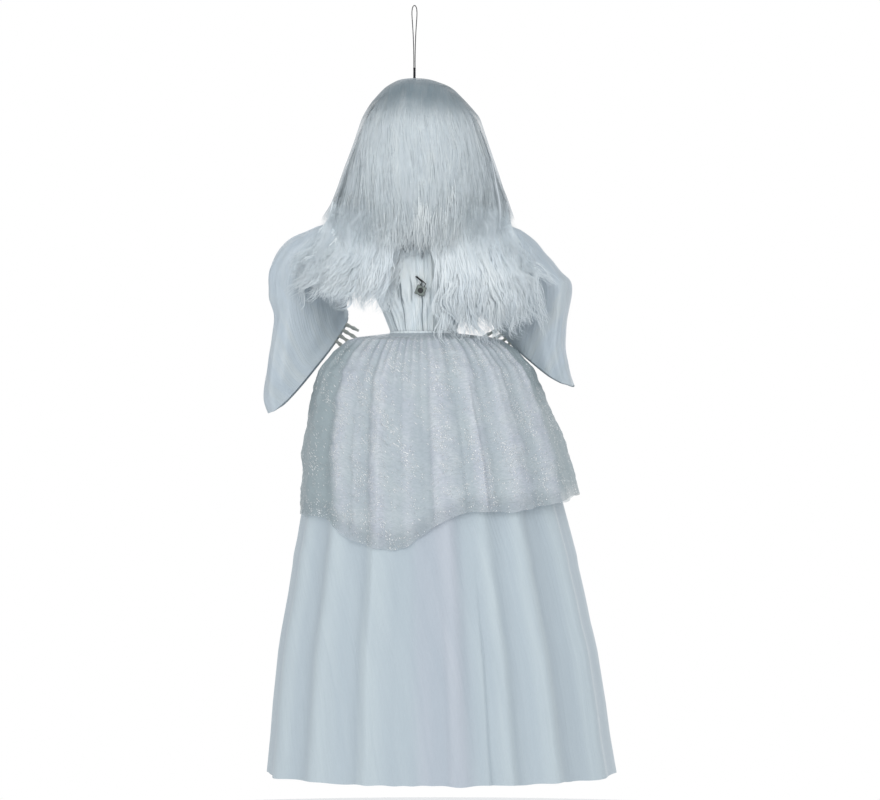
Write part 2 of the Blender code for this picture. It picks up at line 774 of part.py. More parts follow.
def build_rib_cage():
    """Six pairs of ribs with the breast bone and the back plate, as one moulding."""
    pieces = []
    for i in range(RIB_PAIRS):
        share = RIB_FIRST_SHARE + (RIB_LAST_SHARE - RIB_FIRST_SHARE) * i / (RIB_PAIRS - 1)
        row = rib_ring(share)
        start = RIB_COLUMNS // 4
        ring = [row[(start + k) % RIB_COLUMNS] for k in range(RIB_COLUMNS + 1)]
        ring[0] = ring[0].lerp(ring[1], RIB_END_SHARE)
        ring[-1] = ring[-1].lerp(ring[-2], RIB_END_SHARE)
        pieces.append(tube(ring, RIB_RADIUS, 1))
    top_row = rib_ring(RIB_FIRST_SHARE)
    low_row = rib_ring(RIB_LAST_SHARE)
    front = 3 * RIB_COLUMNS // 4
    back = RIB_COLUMNS // 4
    for index, width in ((front, STERNUM_WIDTH), (back, BACK_PLATE_WIDTH)):
        top = top_row[index] + Vector((0.0, 0.0, RIB_RADIUS * 1.3))
        low = low_row[index] - Vector((0.0, 0.0, RIB_RADIUS * 1.3))
        middle = (top + low) / 2.0
        size = (width, RIB_RADIUS * 1.5, (top - low).length)
        plate = block(middle, size, None, RIB_RADIUS * 0.4)
        slope = (low.x - top.x) / (low.z - top.z)
        for vert in plate.vertices:
            vert.co.x += slope * (vert.co.z - middle.z)
        pieces.append(plate)
    ladder_z = (top_row[back].z + low_row[back].z) / 2.0
    spine = spine_point(ladder_z)
    bridge_start = Vector((spine.x, SPINE_RADIUS + CLEARANCE, ladder_z))
    bridge_end = Vector((spine.x, top_row[back].y, ladder_z))
    bridge = block((bridge_start + bridge_end) / 2.0,
                   (BACK_PLATE_WIDTH, (bridge_end - bridge_start).length, RIB_RADIUS * 5.0))
    pieces.append(bridge)
    add_piece("rib_cage", fused(pieces), BONE)


# Shoulder girdle
YOKE_RING_RADIUS = 0.0135
YOKE_RING_HEIGHT = 0.0065
BOSS_RADIUS = 0.0095
BOSS_LENGTH = 0.0075
PIN_RADIUS = 0.0024
PIN_HEAD_RADIUS = 0.0042
PIN_HEAD_LENGTH = 0.0022
ARM_EYE_LENGTH = 0.0080
CLAVICLE_BOW_DEPTH = 0.016
CLAVICLE_RISE_HEIGHT = 0.004
CLAVICLE_SPACING = 0.009


def shoulder_point(side):
    """Where the shoulder pin crosses the middle of the arm's eye."""
    return Vector((axis_x(SHOULDER_Z) + side * SHOULDER_REACH_LENGTH, 0.0, SHOULDER_Z))


def build_collar_yoke():
    """A ring round the spine, two collar bones and the bosses that take the shoulder pins."""
    ring_z = SHOULDER_Z + RIB_RADIUS
    middle = spine_point(ring_z)
    pieces = [rod(middle - Vector((0.0, 0.0, YOKE_RING_HEIGHT / 2.0)),
                  middle + Vector((0.0, 0.0, YOKE_RING_HEIGHT / 2.0)), YOKE_RING_RADIUS, 12)]
    tools = [rod(middle - Vector((0.0, 0.0, YOKE_RING_HEIGHT)),
                 middle + Vector((0.0, 0.0, YOKE_RING_HEIGHT)), SPINE_RADIUS + CLEARANCE * 2.0, 12)]
    for side in SIDES.values():
        eye = shoulder_point(side)
        boss_out = eye - Vector((side * (ARM_EYE_LENGTH / 2.0 + CLEARANCE), 0.0, 0.0))
        boss_in = boss_out - Vector((side * BOSS_LENGTH, 0.0, 0.0))
        start = middle + Vector((side * (YOKE_RING_RADIUS + SPINE_RADIUS) / 2.0, 0.0, 0.0))
        bend = (start + boss_in) / 2.0 + Vector((0.0, -CLAVICLE_BOW_DEPTH / 2.0, CLAVICLE_RISE_HEIGHT / 2.0))
        route = smooth_route([start, bend, boss_in + Vector((side * BOSS_LENGTH / 2.0, 0.0, 0.0))],
                             CLAVICLE_SPACING)
        pieces.append(tube(route, BONE_RADIUS * 0.8, 1))
        pieces.append(rod(boss_in, boss_out, BOSS_RADIUS, 12))
        hole_in = boss_in + Vector((side * BOSS_LENGTH * 0.15, 0.0, 0.0))
        hole_out = boss_out + Vector((side * OVERRUN_LENGTH, 0.0, 0.0))
        tools.append(rod(hole_in, hole_out, PIN_RADIUS + CLEARANCE, 12))
    add_piece("collar_yoke", cut(fused(pieces), tools), BONE)


# Arms
FORK_RADIUS = 0.0085
FORK_WIDTH = 0.0140
TONGUE_WIDTH = 0.0058
TONGUE_RADIUS = 0.0062
ELBOW_PIN_RADIUS = 0.0018
ELBOW_DEPTH = 0.006
WRIST_FORWARD_LENGTH = 0.056
WRIST_INWARD_LENGTH = 0.036
WRIST_LENGTH = 0.009
WRIST_RADIUS = 0.0068


class ArmPlan:
    """Joint places and directions of one arm."""

    def __init__(self, name):
        self.name = name
        self.side = SIDES[name]
        self.shoulder = shoulder_point(self.side)
        reach = ELBOW_REACH_LENGTH - SHOULDER_REACH_LENGTH
        self.elbow = self.shoulder + Vector((self.side * reach, ELBOW_DEPTH, -ELBOW_DROP_LENGTHS[name]))
        sideways = -self.side * WRIST_INWARD_LENGTH
        down = -math.sqrt(FOREARM_LENGTH**2 - WRIST_FORWARD_LENGTH**2 - WRIST_INWARD_LENGTH**2)
        self.forearm = Vector((sideways, -WRIST_FORWARD_LENGTH, down))
        self.wrist = self.elbow + self.forearm
        upper = (self.elbow - self.shoulder).normalized()
        lower = self.forearm.normalized()
        self.hinge = upper.cross(lower).normalized() * self.side
        self.lower = lower
        self.upper = upper


def build_upper_arm(plan):
    """Upper arm bone with the eye on the shoulder pin and the fork at the elbow."""
    out = Vector((plan.side, 0.0, 0.0))
    half_eye = out * (ARM_EYE_LENGTH / 2.0)
    pieces = [rod(plan.shoulder - half_eye, plan.shoulder + half_eye, BOSS_RADIUS, 12)]
    neck = plan.elbow - plan.upper * (TONGUE_RADIUS + RUNNING_GAP + BONE_RADIUS * 0.15)
    root = plan.shoulder - Vector((0.0, 0.0, BOSS_RADIUS * 0.84))
    bend = root + out * BOSS_RADIUS - Vector((0.0, 0.0, BONE_RADIUS))
    along = [root] + [bend.lerp(neck, share) for share in (0.0, 0.3, 0.65, 0.9, 1.0)]
    pieces.append(tube(along, BONE_RADIUS, 2, [0.9, 0.95, 0.85, 0.85, 1.15, 1.3]))
    half_fork = plan.hinge * (FORK_WIDTH / 2.0)
    pieces.append(rod(plan.elbow - half_fork, plan.elbow + half_fork, FORK_RADIUS, 12))
    half_slot = plan.hinge * (TONGUE_WIDTH / 2.0 + CLEARANCE)
    tools = [rod(plan.elbow - half_slot, plan.elbow + half_slot, TONGUE_RADIUS + RUNNING_GAP, 12)]
    turn = Matrix((plan.hinge, plan.lower, plan.hinge.cross(plan.lower))).transposed()
    width = 2.0 * (TONGUE_RADIUS + RUNNING_GAP)
    slot_size = (TONGUE_WIDTH + 2.2 * CLEARANCE, FORK_RADIUS * 1.5, width)
    tools.append(block(plan.elbow + plan.lower * FORK_RADIUS * 0.75, slot_size, turn))
    pin_reach = plan.hinge * FORK_WIDTH
    tools.append(rod(plan.elbow - pin_reach, plan.elbow + pin_reach, ELBOW_PIN_RADIUS + CLEARANCE, 12))
    eye_reach = out * ARM_EYE_LENGTH
    tools.append(rod(plan.shoulder - eye_reach, plan.shoulder + eye_reach, PIN_RADIUS + CLEARANCE, 12))
    bone = add_piece(f"upper_arm_{plan.name}", cut(fused(pieces), tools), BONE)
    put_origin(bone, plan.shoulder)


def build_pins(plan):
    """The shoulder pin with its head and the plain elbow pin."""
    side = Vector((plan.side, 0.0, 0.0))
    head_start = plan.shoulder + side * (ARM_EYE_LENGTH / 2.0 + CLEARANCE)
    tip = plan.shoulder - side * (ARM_EYE_LENGTH / 2.0 + BOSS_LENGTH * 0.75)
    shaft = rod(tip, head_start + side * PIN_HEAD_LENGTH * 0.5, PIN_RADIUS, 12)
    head = rod(head_start, head_start + side * PIN_HEAD_LENGTH, PIN_HEAD_RADIUS, 12, PIN_HEAD_RADIUS * 0.75)
    pin = add_piece(f"shoulder_pin_{plan.name}", fused([shaft, head]), STEEL)
    put_origin(pin, plan.shoulder)
    half = plan.hinge * (FORK_WIDTH / 2.0 + CLEARANCE)
    elbow_pin = rod(plan.elbow - half, plan.elbow + half, ELBOW_PIN_RADIUS, 12)
    put_origin(add_piece(f"elbow_pin_{plan.name}", elbow_pin, STEEL), plan.elbow)


def build_forearm(plan):
    """Radius and ulna between the elbow's tongue and the wrist block."""
    half_tongue = plan.hinge * (TONGUE_WIDTH / 2.0)
    pieces = [rod(plan.elbow - half_tongue, plan.elbow + half_tongue, TONGUE_RADIUS, 12)]
    turn = Matrix((plan.hinge, plan.lower, plan.hinge.cross(plan.lower))).transposed()
    neck_end = FORK_RADIUS + BONE_RADIUS
    neck_size = (TONGUE_WIDTH * 0.92, neck_end, TONGUE_RADIUS * 1.1)
    pieces.append(block(plan.elbow + plan.lower * neck_end / 2.0, neck_size, turn))
    joint = plan.elbow + plan.lower * (FORK_RADIUS + BONE_RADIUS * 0.5)
    pieces.append(ball(joint + plan.lower * BONE_RADIUS * 0.5, (BONE_RADIUS * 1.1,) * 3, 10, 8))
    wrist_start = plan.wrist - plan.lower * WRIST_LENGTH
    bone_end = wrist_start + plan.lower * WRIST_LENGTH * 0.5
    spread = plan.hinge * BONE_RADIUS
    for sign in (1.0, -1.0):
        points = []
        for share in (0.0, 0.25, 0.5, 0.75, 1.0):
            bow = math.sin(math.pi * share) * 0.9 + 0.25
            points.append(joint.lerp(bone_end, share) + spread * sign * bow)
        pieces.append(tube(points, BONE_RADIUS * 0.56, 1, [1.1, 0.95, 0.9, 0.95, 1.15]))
    pieces.append(rod(wrist_start, plan.wrist, WRIST_RADIUS * 0.85, 12, WRIST_RADIUS))
    reach = plan.hinge * FORK_WIDTH
    hole = rod(plan.elbow - reach, plan.elbow + reach, ELBOW_PIN_RADIUS + CLEARANCE, 12)
    bone = add_piece(f"forearm_{plan.name}", cut(fused(pieces), [hole]), BONE)
    put_origin(bone, plan.elbow)


# Hands. Finger lengths and roots as shares of the hand's sizes, thumb first.
HAND_LENGTH = 0.062
PALM_WIDTH = 0.026
PALM_THICKNESS = 0.0075
FINGER_RADIUS = 0.0024
PALM_SHARE = 0.46
FINGER_SHARES = [
    (-0.46, 0.10, 0.66, -0.46),
    (-0.42, 0.92, 0.92, -0.10),
    (-0.14, 1.00, 1.00, -0.02),
    (0.14, 0.97, 0.94, 0.05),
    (0.42, 0.90, 0.80, 0.14),
]
HAND_SLOPE_SHARES = (-0.78, -0.36, -0.50)


def build_hand(plan):
    """Palm bones and five jointed digits, held forward and across the skirt."""
    inward, forward, down = HAND_SLOPE_SHARES
    ahead = Vector((inward * plan.side, forward, down)).normalized()
    face = Vector((0.0, 1.0, 0.0))
    spread = ahead.cross(face).normalized() * plan.side
    if spread.z > 0.0:
        spread = -spread
    start = plan.wrist + plan.lower * CLEARANCE
    pieces = [rod(start, start + plan.lower * WRIST_LENGTH * 0.8, WRIST_RADIUS, 12, WRIST_RADIUS * 0.7)]
    root = start + plan.lower * WRIST_LENGTH * 0.45
    for lateral, palm, length, splay in FINGER_SHARES:
        knuckle = root + ahead * HAND_LENGTH * PALM_SHARE * palm + spread * PALM_WIDTH * lateral
        direction = (ahead + spread * splay).normalized()
        reach = HAND_LENGTH * (1.0 - PALM_SHARE) * length
        curl = Vector((0.0, 1.0, 0.0)) * reach * 0.10
        begin = root + spread * PALM_WIDTH * lateral * 0.30
        points = [begin, knuckle, knuckle + direction * reach * 0.45,
                  knuckle + direction * reach * 0.75 + curl * 0.4, knuckle + direction * reach + curl]
        route = []
        shares = []
        for a, b in zip(points, points[1:]):
            route += [a, a.lerp(b, 0.5)]
            shares += [1.15, 0.80]
        route.append(points[-1])
        shares.append(0.7)
        pieces.append(tube(route, FINGER_RADIUS, 1, shares))
    hand = add_piece(f"hand_{plan.name}", fused(pieces), BONE)
    put_origin(hand, plan.wrist)


# Wig and veil. Rings of the veil's outer surface: drop as shares of the skull's height, then the
# left and right half widths as shares of the head's spread with hair, and the back and front
# as shares of its depths with hair.
HEAD_RING_SHARES = [
    (0.000, 0.060, 0.060, 0.055, 0.070),
    (0.016, 0.250, 0.250, 0.260, 0.320),
    (0.090, 0.480, 0.510, 0.600, 0.620),
    (0.250, 0.700, 0.740, 0.840, 0.980),
    (0.385, 0.820, 0.920, 0.940, 1.120),
    (0.525, 0.890, 0.990, 1.000, 1.180),
    (0.660, 0.960, 1.060, 1.030, 1.180),
    (0.870, 1.085, 1.175, 1.030, 1.140),
    (1.080, 1.190, 1.280, 1.010, 1.060),
    (1.240, 1.280, 1.380, 0.970, 0.980),
    (1.385, 1.420, 1.460, 0.920, 0.900),
]
VEIL_RISE_HEIGHT = 0.0044
VEIL_COLUMNS = 25
VEIL_FRONT_ANGLES = [84.0, 84.0, 78.0, 68.0, 60.0, 55.0, 52.0, 50.0, 48.0, 46.0, 44.0]
VEIL_SIDE_HEM_SHARE = 0.020
VEIL_BACK_HEM_SHARE = 0.160
HAIR_FRONT_ANGLES = [89.0, 89.0, 88.0, 76.0, 58.0, 49.0, 46.0, 43.0, 40.0, 38.0, 36.0]
HAIR_SPLIT_ANGLE = 36.0
HAIR_SPLIT_GAP = 0.8
HAIR_COLUMNS_BACK = 12
HAIR_COLUMNS_SIDE = 8


def head_row(ring, angles):
    """An open row on the veil's outer surface, at angles from the left side round the back."""
    drop, left, right, back, front = ring
    spread = SKULL_WIDTH / 2.0 + HAIR_SIDE_THICKNESS
    deep_back = SKULL_BACK_DEPTH + HAIR_BACK_THICKNESS
    z = CROWN_Z + VEIL_RISE_HEIGHT - drop * SKULL_HEIGHT
    row = []
    for angle in angles:
        c = math.cos(angle)
        s = math.sin(angle)
        width = left if c > 0.0 else right
        depth = back * deep_back if s > 0.0 else front * SKULL_FRONT_DEPTH
        fade = min(drop / 0.1, 1.0)
        x = skull_middle() * fade + width * spread * c
        row.append(Vector((x, depth * s, z)))
    return row


def arc_angles(first, last, count):
    """Evenly spaced angles in radians between two angles in degrees."""
    return [math.radians(first + (last - first) * i / (count - 1)) for i in range(count)]


def build_veil():
    """Net veil over the wig, parted in front and longest behind."""
    rows = []
    for ring, front in zip(HEAD_RING_SHARES, VEIL_FRONT_ANGLES):
        rows.append(head_row(ring, arc_angles(-front, 180.0 + front, VEIL_COLUMNS)))
    last_angles = arc_angles(-VEIL_FRONT_ANGLES[-1], 180.0 + VEIL_FRONT_ANGLES[-1], VEIL_COLUMNS)
    hem = []
    for point, angle in zip(rows[-1], last_angles):
        back_share = max(math.sin(angle), 0.0) ** 2
        hem_share = VEIL_SIDE_HEM_SHARE + (VEIL_BACK_HEM_SHARE - VEIL_SIDE_HEM_SHARE) * back_share
        fall = VEIL_DROP_LENGTH * hem_share
        hem.append(point - Vector((0.0, 0.0, fall)))
    rows.append(hem)
    add_piece("veil", shell(rows, False, VEIL_THICKNESS), NET)


HAIR_DEPTH_SHARES = [0.020, 0.100, 0.200, 0.300, 0.380, 0.420, 0.440, 0.440, 0.400, 0.300, 0.120]
HAIR_INSET = VEIL_THICKNESS + 3.0 * CLEARANCE
HAIR_STEP_LENGTH = 0.0005
HAIR_UNDERLAY_THICKNESS = 0.0038
HAIR_SKULL_ROOM = CAP_THICKNESS + HAIR_UNDERLAY_THICKNESS


def over_skull(point, room):
    """Whether a point lies farther than a room outside the skull's surface."""
    drop = (CROWN_Z + room - point.z) / SKULL_HEIGHT
    if drop < 0.0 or drop > 1.0:
        return True
    for upper, lower in zip(SKULL_RING_SHARES, SKULL_RING_SHARES[1:]):
        if drop <= lower[0]:
            t = (drop - upper[0]) / (lower[0] - upper[0])
            width, front, back = (upper[k] + (lower[k] - upper[k]) * t for k in (1, 2, 3))
            break
    depth = back * SKULL_BACK_DEPTH if point.y > 0.0 else front * SKULL_FRONT_DEPTH
    across = abs(point.x - skull_middle()) / (width * SKULL_WIDTH / 2.0 + room)
    along = abs(point.y) / (depth + room)
    return across**SKULL_SQUARENESS + along**SKULL_SQUARENESS > 1.0


def head_inward(index, angle):
    """Direction from the veil's surface toward the skull at a ring and an angle."""
    above = HEAD_RING_SHARES[max(index - 1, 0)]
    below = HEAD_RING_SHARES[min(index + 1, len(HEAD_RING_SHARES) - 1)]
    down = head_row(below, [angle])[0] - head_row(above, [angle])[0]
    before, after = head_row(HEAD_RING_SHARES[index], [angle - 0.05, angle + 0.05])
    return (after - before).cross(down).normalized()


def hair_depth(start, inward, wanted):
    """Thickness of the hair at a point, less where the skull is near."""
    depth = HAIR_STEP_LENGTH
    while depth < wanted and over_skull(start + inward * (depth + HAIR_STEP_LENGTH), HAIR_SKULL_ROOM):
        depth += HAIR_STEP_LENGTH
    return depth


def slab(outer_rows, inner_rows):
    """A closed body between two like grids of points."""
    bm = bmesh.new()
    outer = [[bm.verts.new(p) for p in row] for row in outer_rows]
    inner = [[bm.verts.new(p) for p in row] for row in inner_rows]
    columns = len(outer_rows[0])
    for r in range(len(outer_rows) - 1):
        for c in range(columns - 1):
            bm.faces.new((outer[r][c], outer[r + 1][c], outer[r + 1][c + 1], outer[r][c + 1]))
            bm.faces.new((inner[r][c], inner[r][c + 1], inner[r + 1][c + 1], inner[r + 1][c]))
        for c in (0, columns - 1):
            bm.faces.new((outer[r][c], inner[r][c], inner[r + 1][c], outer[r + 1][c]))
    for r in (0, len(outer_rows) - 1):
        for c in range(columns - 1):
            bm.faces.new((outer[r][c], outer[r][c + 1], inner[r][c + 1], inner[r][c]))
    bmesh.ops.recalc_face_normals(bm, faces=bm.faces)
    return mesh_from(bm)


def hair_panel(name, spans, columns):
    """A panel of wig hair that fills the space under the veil between two angles a row."""
    outer_rows = []
    inner_rows = []
    for index, span in enumerate(spans):
        wanted = HAIR_DEPTH_SHARES[index] * HAIR_SIDE_THICKNESS
        angles = arc_angles(*span, columns)
        outer = []
        inner = []
        for angle, point in zip(angles, head_row(HEAD_RING_SHARES[index], angles)):
            inward = head_inward(index, angle)
            start = point + inward * HAIR_INSET
            outer.append(start)
            inner.append(start + inward * hair_depth(start, inward, wanted))
        outer_rows.append(outer)
        inner_rows.append(inner)
    add_piece(name, slab(outer_rows, inner_rows), HAIR)


HAIRLINE_DROP_SHARE = 0.24


def build_wig():
    """The wig's cap, its back hair and the two side panels parted over the forehead."""
    cap = shell(skull_rows(7), True, CAP_THICKNESS, None, 1.0, -CLEARANCE)
    pocket = rod((0.0, 0.0, PIVOT_Z - KNOT_RADIUS), (0.0, 0.0, PIVOT_Z + KNOT_RADIUS * 2.0),
                 KNOT_RADIUS + CLEARANCE * 2.0, 12)
    hairline = CROWN_Z - HAIRLINE_DROP_SHARE * SKULL_HEIGHT
    face = block((skull_middle(), -SKULL_FRONT_DEPTH, hairline - SKULL_HEIGHT / 2.0),
                 (SKULL_WIDTH * 1.2, SKULL_FRONT_DEPTH * 1.3, SKULL_HEIGHT))
    add_piece("wig_cap", cut(cap, [pocket, face]), NET)

    count = len(HEAD_RING_SHARES)
    back = (HAIR_SPLIT_ANGLE, 180.0 - HAIR_SPLIT_ANGLE)
    hair_panel("wig_hair_back", [back] * count, HAIR_COLUMNS_BACK)
    for name, side in SIDES.items():
        spans = []
        for front in HAIR_FRONT_ANGLES:
            first, last = -front, HAIR_SPLIT_ANGLE - HAIR_SPLIT_GAP
            if side < 0.0:
                first, last = 180.0 - last, 180.0 - first
            spans.append((first, last))
        hair_panel(f"wig_hair_{name}", spans, HAIR_COLUMNS_SIDE)


# Long locks that fall behind the arms. Each row runs across the lock: its outer edge and its
# inner edge as (sideways, back, down) shares of the lock's reach, then its swell and wall.
LOCK_REACH_LENGTH = 0.100
LOCK_THICKNESS = 0.022
LOCK_COLUMNS = 9
LOCK_DROP_LENGTH = 0.006
LOCK_ANGLES = {"left": (34.0, 82.0), "right": (98.0, 146.0)}
LOCK_ROW_SHARES = {
    "left": [
        ((0.98, 0.46, 0.03), (0.34, 0.64, 0.03), 0.04, 0.50),
        ((1.34, 0.50, 0.16), (0.42, 0.66, 0.16), 0.05, 0.60),
        ((1.54, 0.51, 0.32), (0.44, 0.66, 0.32), 0.06, 0.70),
        ((1.56, 0.51, 0.50), (0.46, 0.66, 0.50), 0.08, 0.80),
        ((1.36, 0.51, 0.74), (0.44, 0.66, 0.72), 0.08, 0.75),
        ((1.10, 0.53, 0.90), (0.50, 0.64, 0.88), 0.06, 0.50),
        ((0.94, 0.55, 0.96), (0.62, 0.62, 0.94), 0.03, 0.25),
    ],
    "right": [
        ((0.98, 0.46, 0.03), (0.16, 0.66, 0.03), 0.04, 0.50),
        ((1.36, 0.50, 0.18), (0.19, 0.68, 0.18), 0.05, 0.60),
        ((1.62, 0.51, 0.36), (0.20, 0.68, 0.36), 0.06, 0.70),
        ((1.74, 0.51, 0.60), (0.22, 0.68, 0.60), 0.08, 0.80),
        ((1.74, 0.51, 0.92), (0.24, 0.68, 0.88), 0.08, 0.80),
        ((1.66, 0.49, 1.16), (0.30, 0.68, 1.02), 0.06, 0.70),
        ((1.56, 0.48, 1.32), (0.44, 0.66, 1.07), 0.04, 0.45),
        ((1.40, 0.48, 1.38), (0.70, 0.62, 1.10), 0.02, 0.20),
    ],
}


def build_locks():
    """Two long swelling locks of hair over the back of the dress."""
    for name, side in SIDES.items():
        first, last = LOCK_ANGLES[name]
        angles = arc_angles(first, last, LOCK_COLUMNS)
        top = head_row(HEAD_RING_SHARES[-1], angles)
        rows = [[point - Vector((0.0, 0.0, LOCK_DROP_LENGTH)) for point in top]]
        walls = [0.45]
        for outer, inner, swell, wall in LOCK_ROW_SHARES[name]:
            ends = []
            for share in (outer, inner):
                z = SHOULDER_Z - share[2] * LOCK_REACH_LENGTH
                x = axis_x(z) + side * share[0] * LOCK_REACH_LENGTH
                ends.append(Vector((x, share[1] * LOCK_REACH_LENGTH, z)))
            if side < 0.0:
                ends.reverse()
            row = []
            for i in range(LOCK_COLUMNS):
                t = i / (LOCK_COLUMNS - 1)
                point = ends[0].lerp(ends[1], t)
                point.y += swell * LOCK_REACH_LENGTH * math.sin(math.pi * t)
                row.append(point)
            rows.append(row)
            walls.append(wall)
        shares = []
        for wall in walls:
            line = []
            for i in range(LOCK_COLUMNS):
                edge = 0.35 + 0.65 * math.sin(math.pi * i / (LOCK_COLUMNS - 1))
                line.append(wall * edge)
            shares.append(line)
        mesh = shell(rows, False, LOCK_THICKNESS, shares, -1.0, HAIR_INSET)
        add_piece(f"wig_lock_{name}", mesh, HAIR)


# Sleeves. Each section runs from its outer point to its inner point as (outward, forward, up)
# shares of the sleeve's span from the shoulder, then its half depth and its sag.
SLEEVE_LENGTH = 0.100
SLEEVE_COLUMNS = 14
SLEEVE_SQUARENESS = 3.0
SLEEVE_SECTION_SHARES = {
    "left": [
        ((0.04, 0.00, 0.25), (-0.08, 0.00, -0.60), 0.31, 0.0),
        ((0.38, 0.00, 0.24), (0.01, -0.06, -0.74), 0.31, 0.0),
        ((0.80, 0.02, 0.02), (0.02, -0.20, -0.80), 0.33, 0.0),
        ((1.00, 0.02, -0.30), (0.02, -0.38, -0.81), 0.36, 0.0),
        ((1.02, 0.01, -0.66), (0.02, -0.50, -0.82), 0.38, 0.0),
        ((0.96, 0.00, -0.98), (0.02, -0.56, -0.83), 0.38, 0.02),
        ((1.02, -0.02, -1.42), (0.02, -0.58, -0.84), 0.37, 0.05),
        ((1.09, -0.04, -1.90), (0.03, -0.59, -0.85), 0.36, 0.09),
        ((1.04, -0.06, -2.15), (0.03, -0.60, -0.86), 0.35, 0.12),
    ],
    "right": [
        ((0.04, 0.00, 0.25), (-0.08, 0.00, -0.60), 0.31, 0.0),
        ((0.36, 0.00, 0.18), (0.01, -0.06, -0.74), 0.31, 0.0),
        ((0.66, 0.02, -0.10), (0.02, -0.20, -0.80), 0.33, 0.0),
        ((0.88, 0.02, -0.36), (0.02, -0.38, -0.83), 0.36, 0.0),
        ((1.00, 0.01, -0.54), (0.02, -0.50, -0.84), 0.38, 0.0),
        ((0.96, 0.00, -0.90), (0.02, -0.56, -0.86), 0.39, 0.02),
        ((0.93, -0.02, -1.25), (0.03, -0.58, -0.88), 0.38, 0.05),
        ((0.99, -0.04, -1.60), (0.04, -0.59, -0.91), 0.36, 0.09),
        ((1.05, -0.06, -1.80), (0.05, -0.60, -0.93), 0.35, 0.13),
    ],
}
ARMHOLE_RISE_SHARE = 0.24
ARMHOLE_FALL_SHARE = 0.44
ARMHOLE_DEPTH_SHARE = 0.29


def sleeve_row(outer, inner, depth, sag):
    """A closed section between two points, sagging below the line that joins them."""
    middle = (outer + inner) / 2.0
    half = (outer - inner) / 2.0
    across = Vector((half.x, 0.0, half.z)).normalized()
    below = Vector((-across.z, 0.0, across.x))
    if below.z > 0.0:
        below = -below
    row = []
    power = 2.0 / SLEEVE_SQUARENESS
    for i in range(SLEEVE_COLUMNS):
        angle = 2.0 * math.pi * i / SLEEVE_COLUMNS
        c = math.cos(angle)
        s = math.sin(angle)
        along = math.copysign(abs(c) ** power, c)
        aside = math.copysign(abs(s) ** power, s)
        row.append(middle + half * along + Vector((0.0, depth * aside, 0.0)) + below * sag * abs(s))
    return row


def build_sleeve(plan):
    """A bell sleeve with its long hanging point, open where the hand comes out."""
    seam = []
    for rise_share in (ARMHOLE_RISE_SHARE, -ARMHOLE_FALL_SHARE):
        z = SHOULDER_Z + rise_share * SLEEVE_LENGTH
        torso = CHEST_WIDTH / 2.0 if rise_share > 0.0 else bodice_half_width(z)
        edge = torso + CLOTH_THICKNESS / 2.0 + CLEARANCE * 2.0
        seam.append(Vector((axis_x(z) + plan.side * edge, 0.0, z)))
    rows = [sleeve_row(*seam, ARMHOLE_DEPTH_SHARE * SLEEVE_LENGTH, 0.0)]
    for outer_share, inner_share, depth, sag in SLEEVE_SECTION_SHARES[plan.name]:
        ends = []
        for share in (outer_share, inner_share):
            ends.append(plan.shoulder + Vector((plan.side * share[0], share[1], share[2])) * SLEEVE_LENGTH)
        rows.append(sleeve_row(ends[0], ends[1], depth * SLEEVE_LENGTH, sag * SLEEVE_LENGTH))
    sleeve = add_piece(f"sleeve_{plan.name}", shell(rows, True, CLOTH_THICKNESS, None, 0.0), SATIN)
    put_origin(sleeve, plan.shoulder)


# Skirts. Rows of the overskirt: drop as a share of its length, then spread from the waist to
# the hem. The underskirt follows them inside and then runs on to its own hem. Each fold has a
# ridge at an angle in degrees from the left side round the back, with a height, and is cut
# into the columns of COLUMN_SHARES up to the next ridge.
OVERSKIRT_ROW_SHARES = [
    (0.000, 0.000),
    (-0.016, 0.180),
    (0.020, 0.390),
    (0.085, 0.530),
    (0.190, 0.670),
    (0.340, 0.755),
    (0.620, 0.890),
    (1.000, 1.000),
]
OVERSKIRT_HEM_SHARES = [
    (0.0, 0.845), (35.0, 0.845), (50.0, 0.93), (62.0, 0.985), (74.0, 1.0), (84.0, 0.95),
    (94.0, 0.835), (107.0, 0.82), (126.0, 0.815), (154.0, 0.77), (180.0, 0.745),
    (215.0, 0.80), (250.0, 0.86), (290.0, 0.88), (330.0, 0.86), (360.0, 0.845),
]
UNDERSKIRT_LOW_SHARES = [(0.50, 0.62), (0.68, 0.79), (0.84, 0.91), (1.0, 1.0)]
FOLD_SHARE = 0.048
FOLD_RIDGE_SHARES = [
    (24.0, 0.7), (45.0, 0.9), (67.0, 1.1), (97.0, 1.1), (112.0, 0.8), (128.0, 1.0), (152.0, 0.8),
    (181.0, 0.3), (211.0, 0.9), (241.0, 1.0), (271.0, 0.9), (301.0, 1.0), (331.0, 0.9), (358.0, 0.3),
]
COLUMN_SHARES = (0.0, 0.34, 0.66)


def fold_columns():
    """Angles round a skirt and the height of the folds there, three to a fold."""
    columns = []
    ridges = FOLD_RIDGE_SHARES + [(FOLD_RIDGE_SHARES[0][0] + 360.0, FOLD_RIDGE_SHARES[0][1])]
    for (start, height), (end, next_height) in zip(ridges, ridges[1:]):
        for share in COLUMN_SHARES:
            here = height + (next_height - height) * share
            angle = math.radians(start + (end - start) * share)
            columns.append((angle, here * math.cos(2.0 * math.pi * share)))
    return columns


def shared(angle, table):
    """A share read between the rows of an (angle in degrees, share) table."""
    degrees = math.degrees(angle) % 360.0
    for (a0, s0), (a1, s1) in zip(table, table[1:]):
        if a0 <= degrees <= a1:
            t = (degrees - a0) / (a1 - a0)
            t = t * t * (3.0 - 2.0 * t)
            return s0 + (s1 - s0) * t
    return table[0][1]


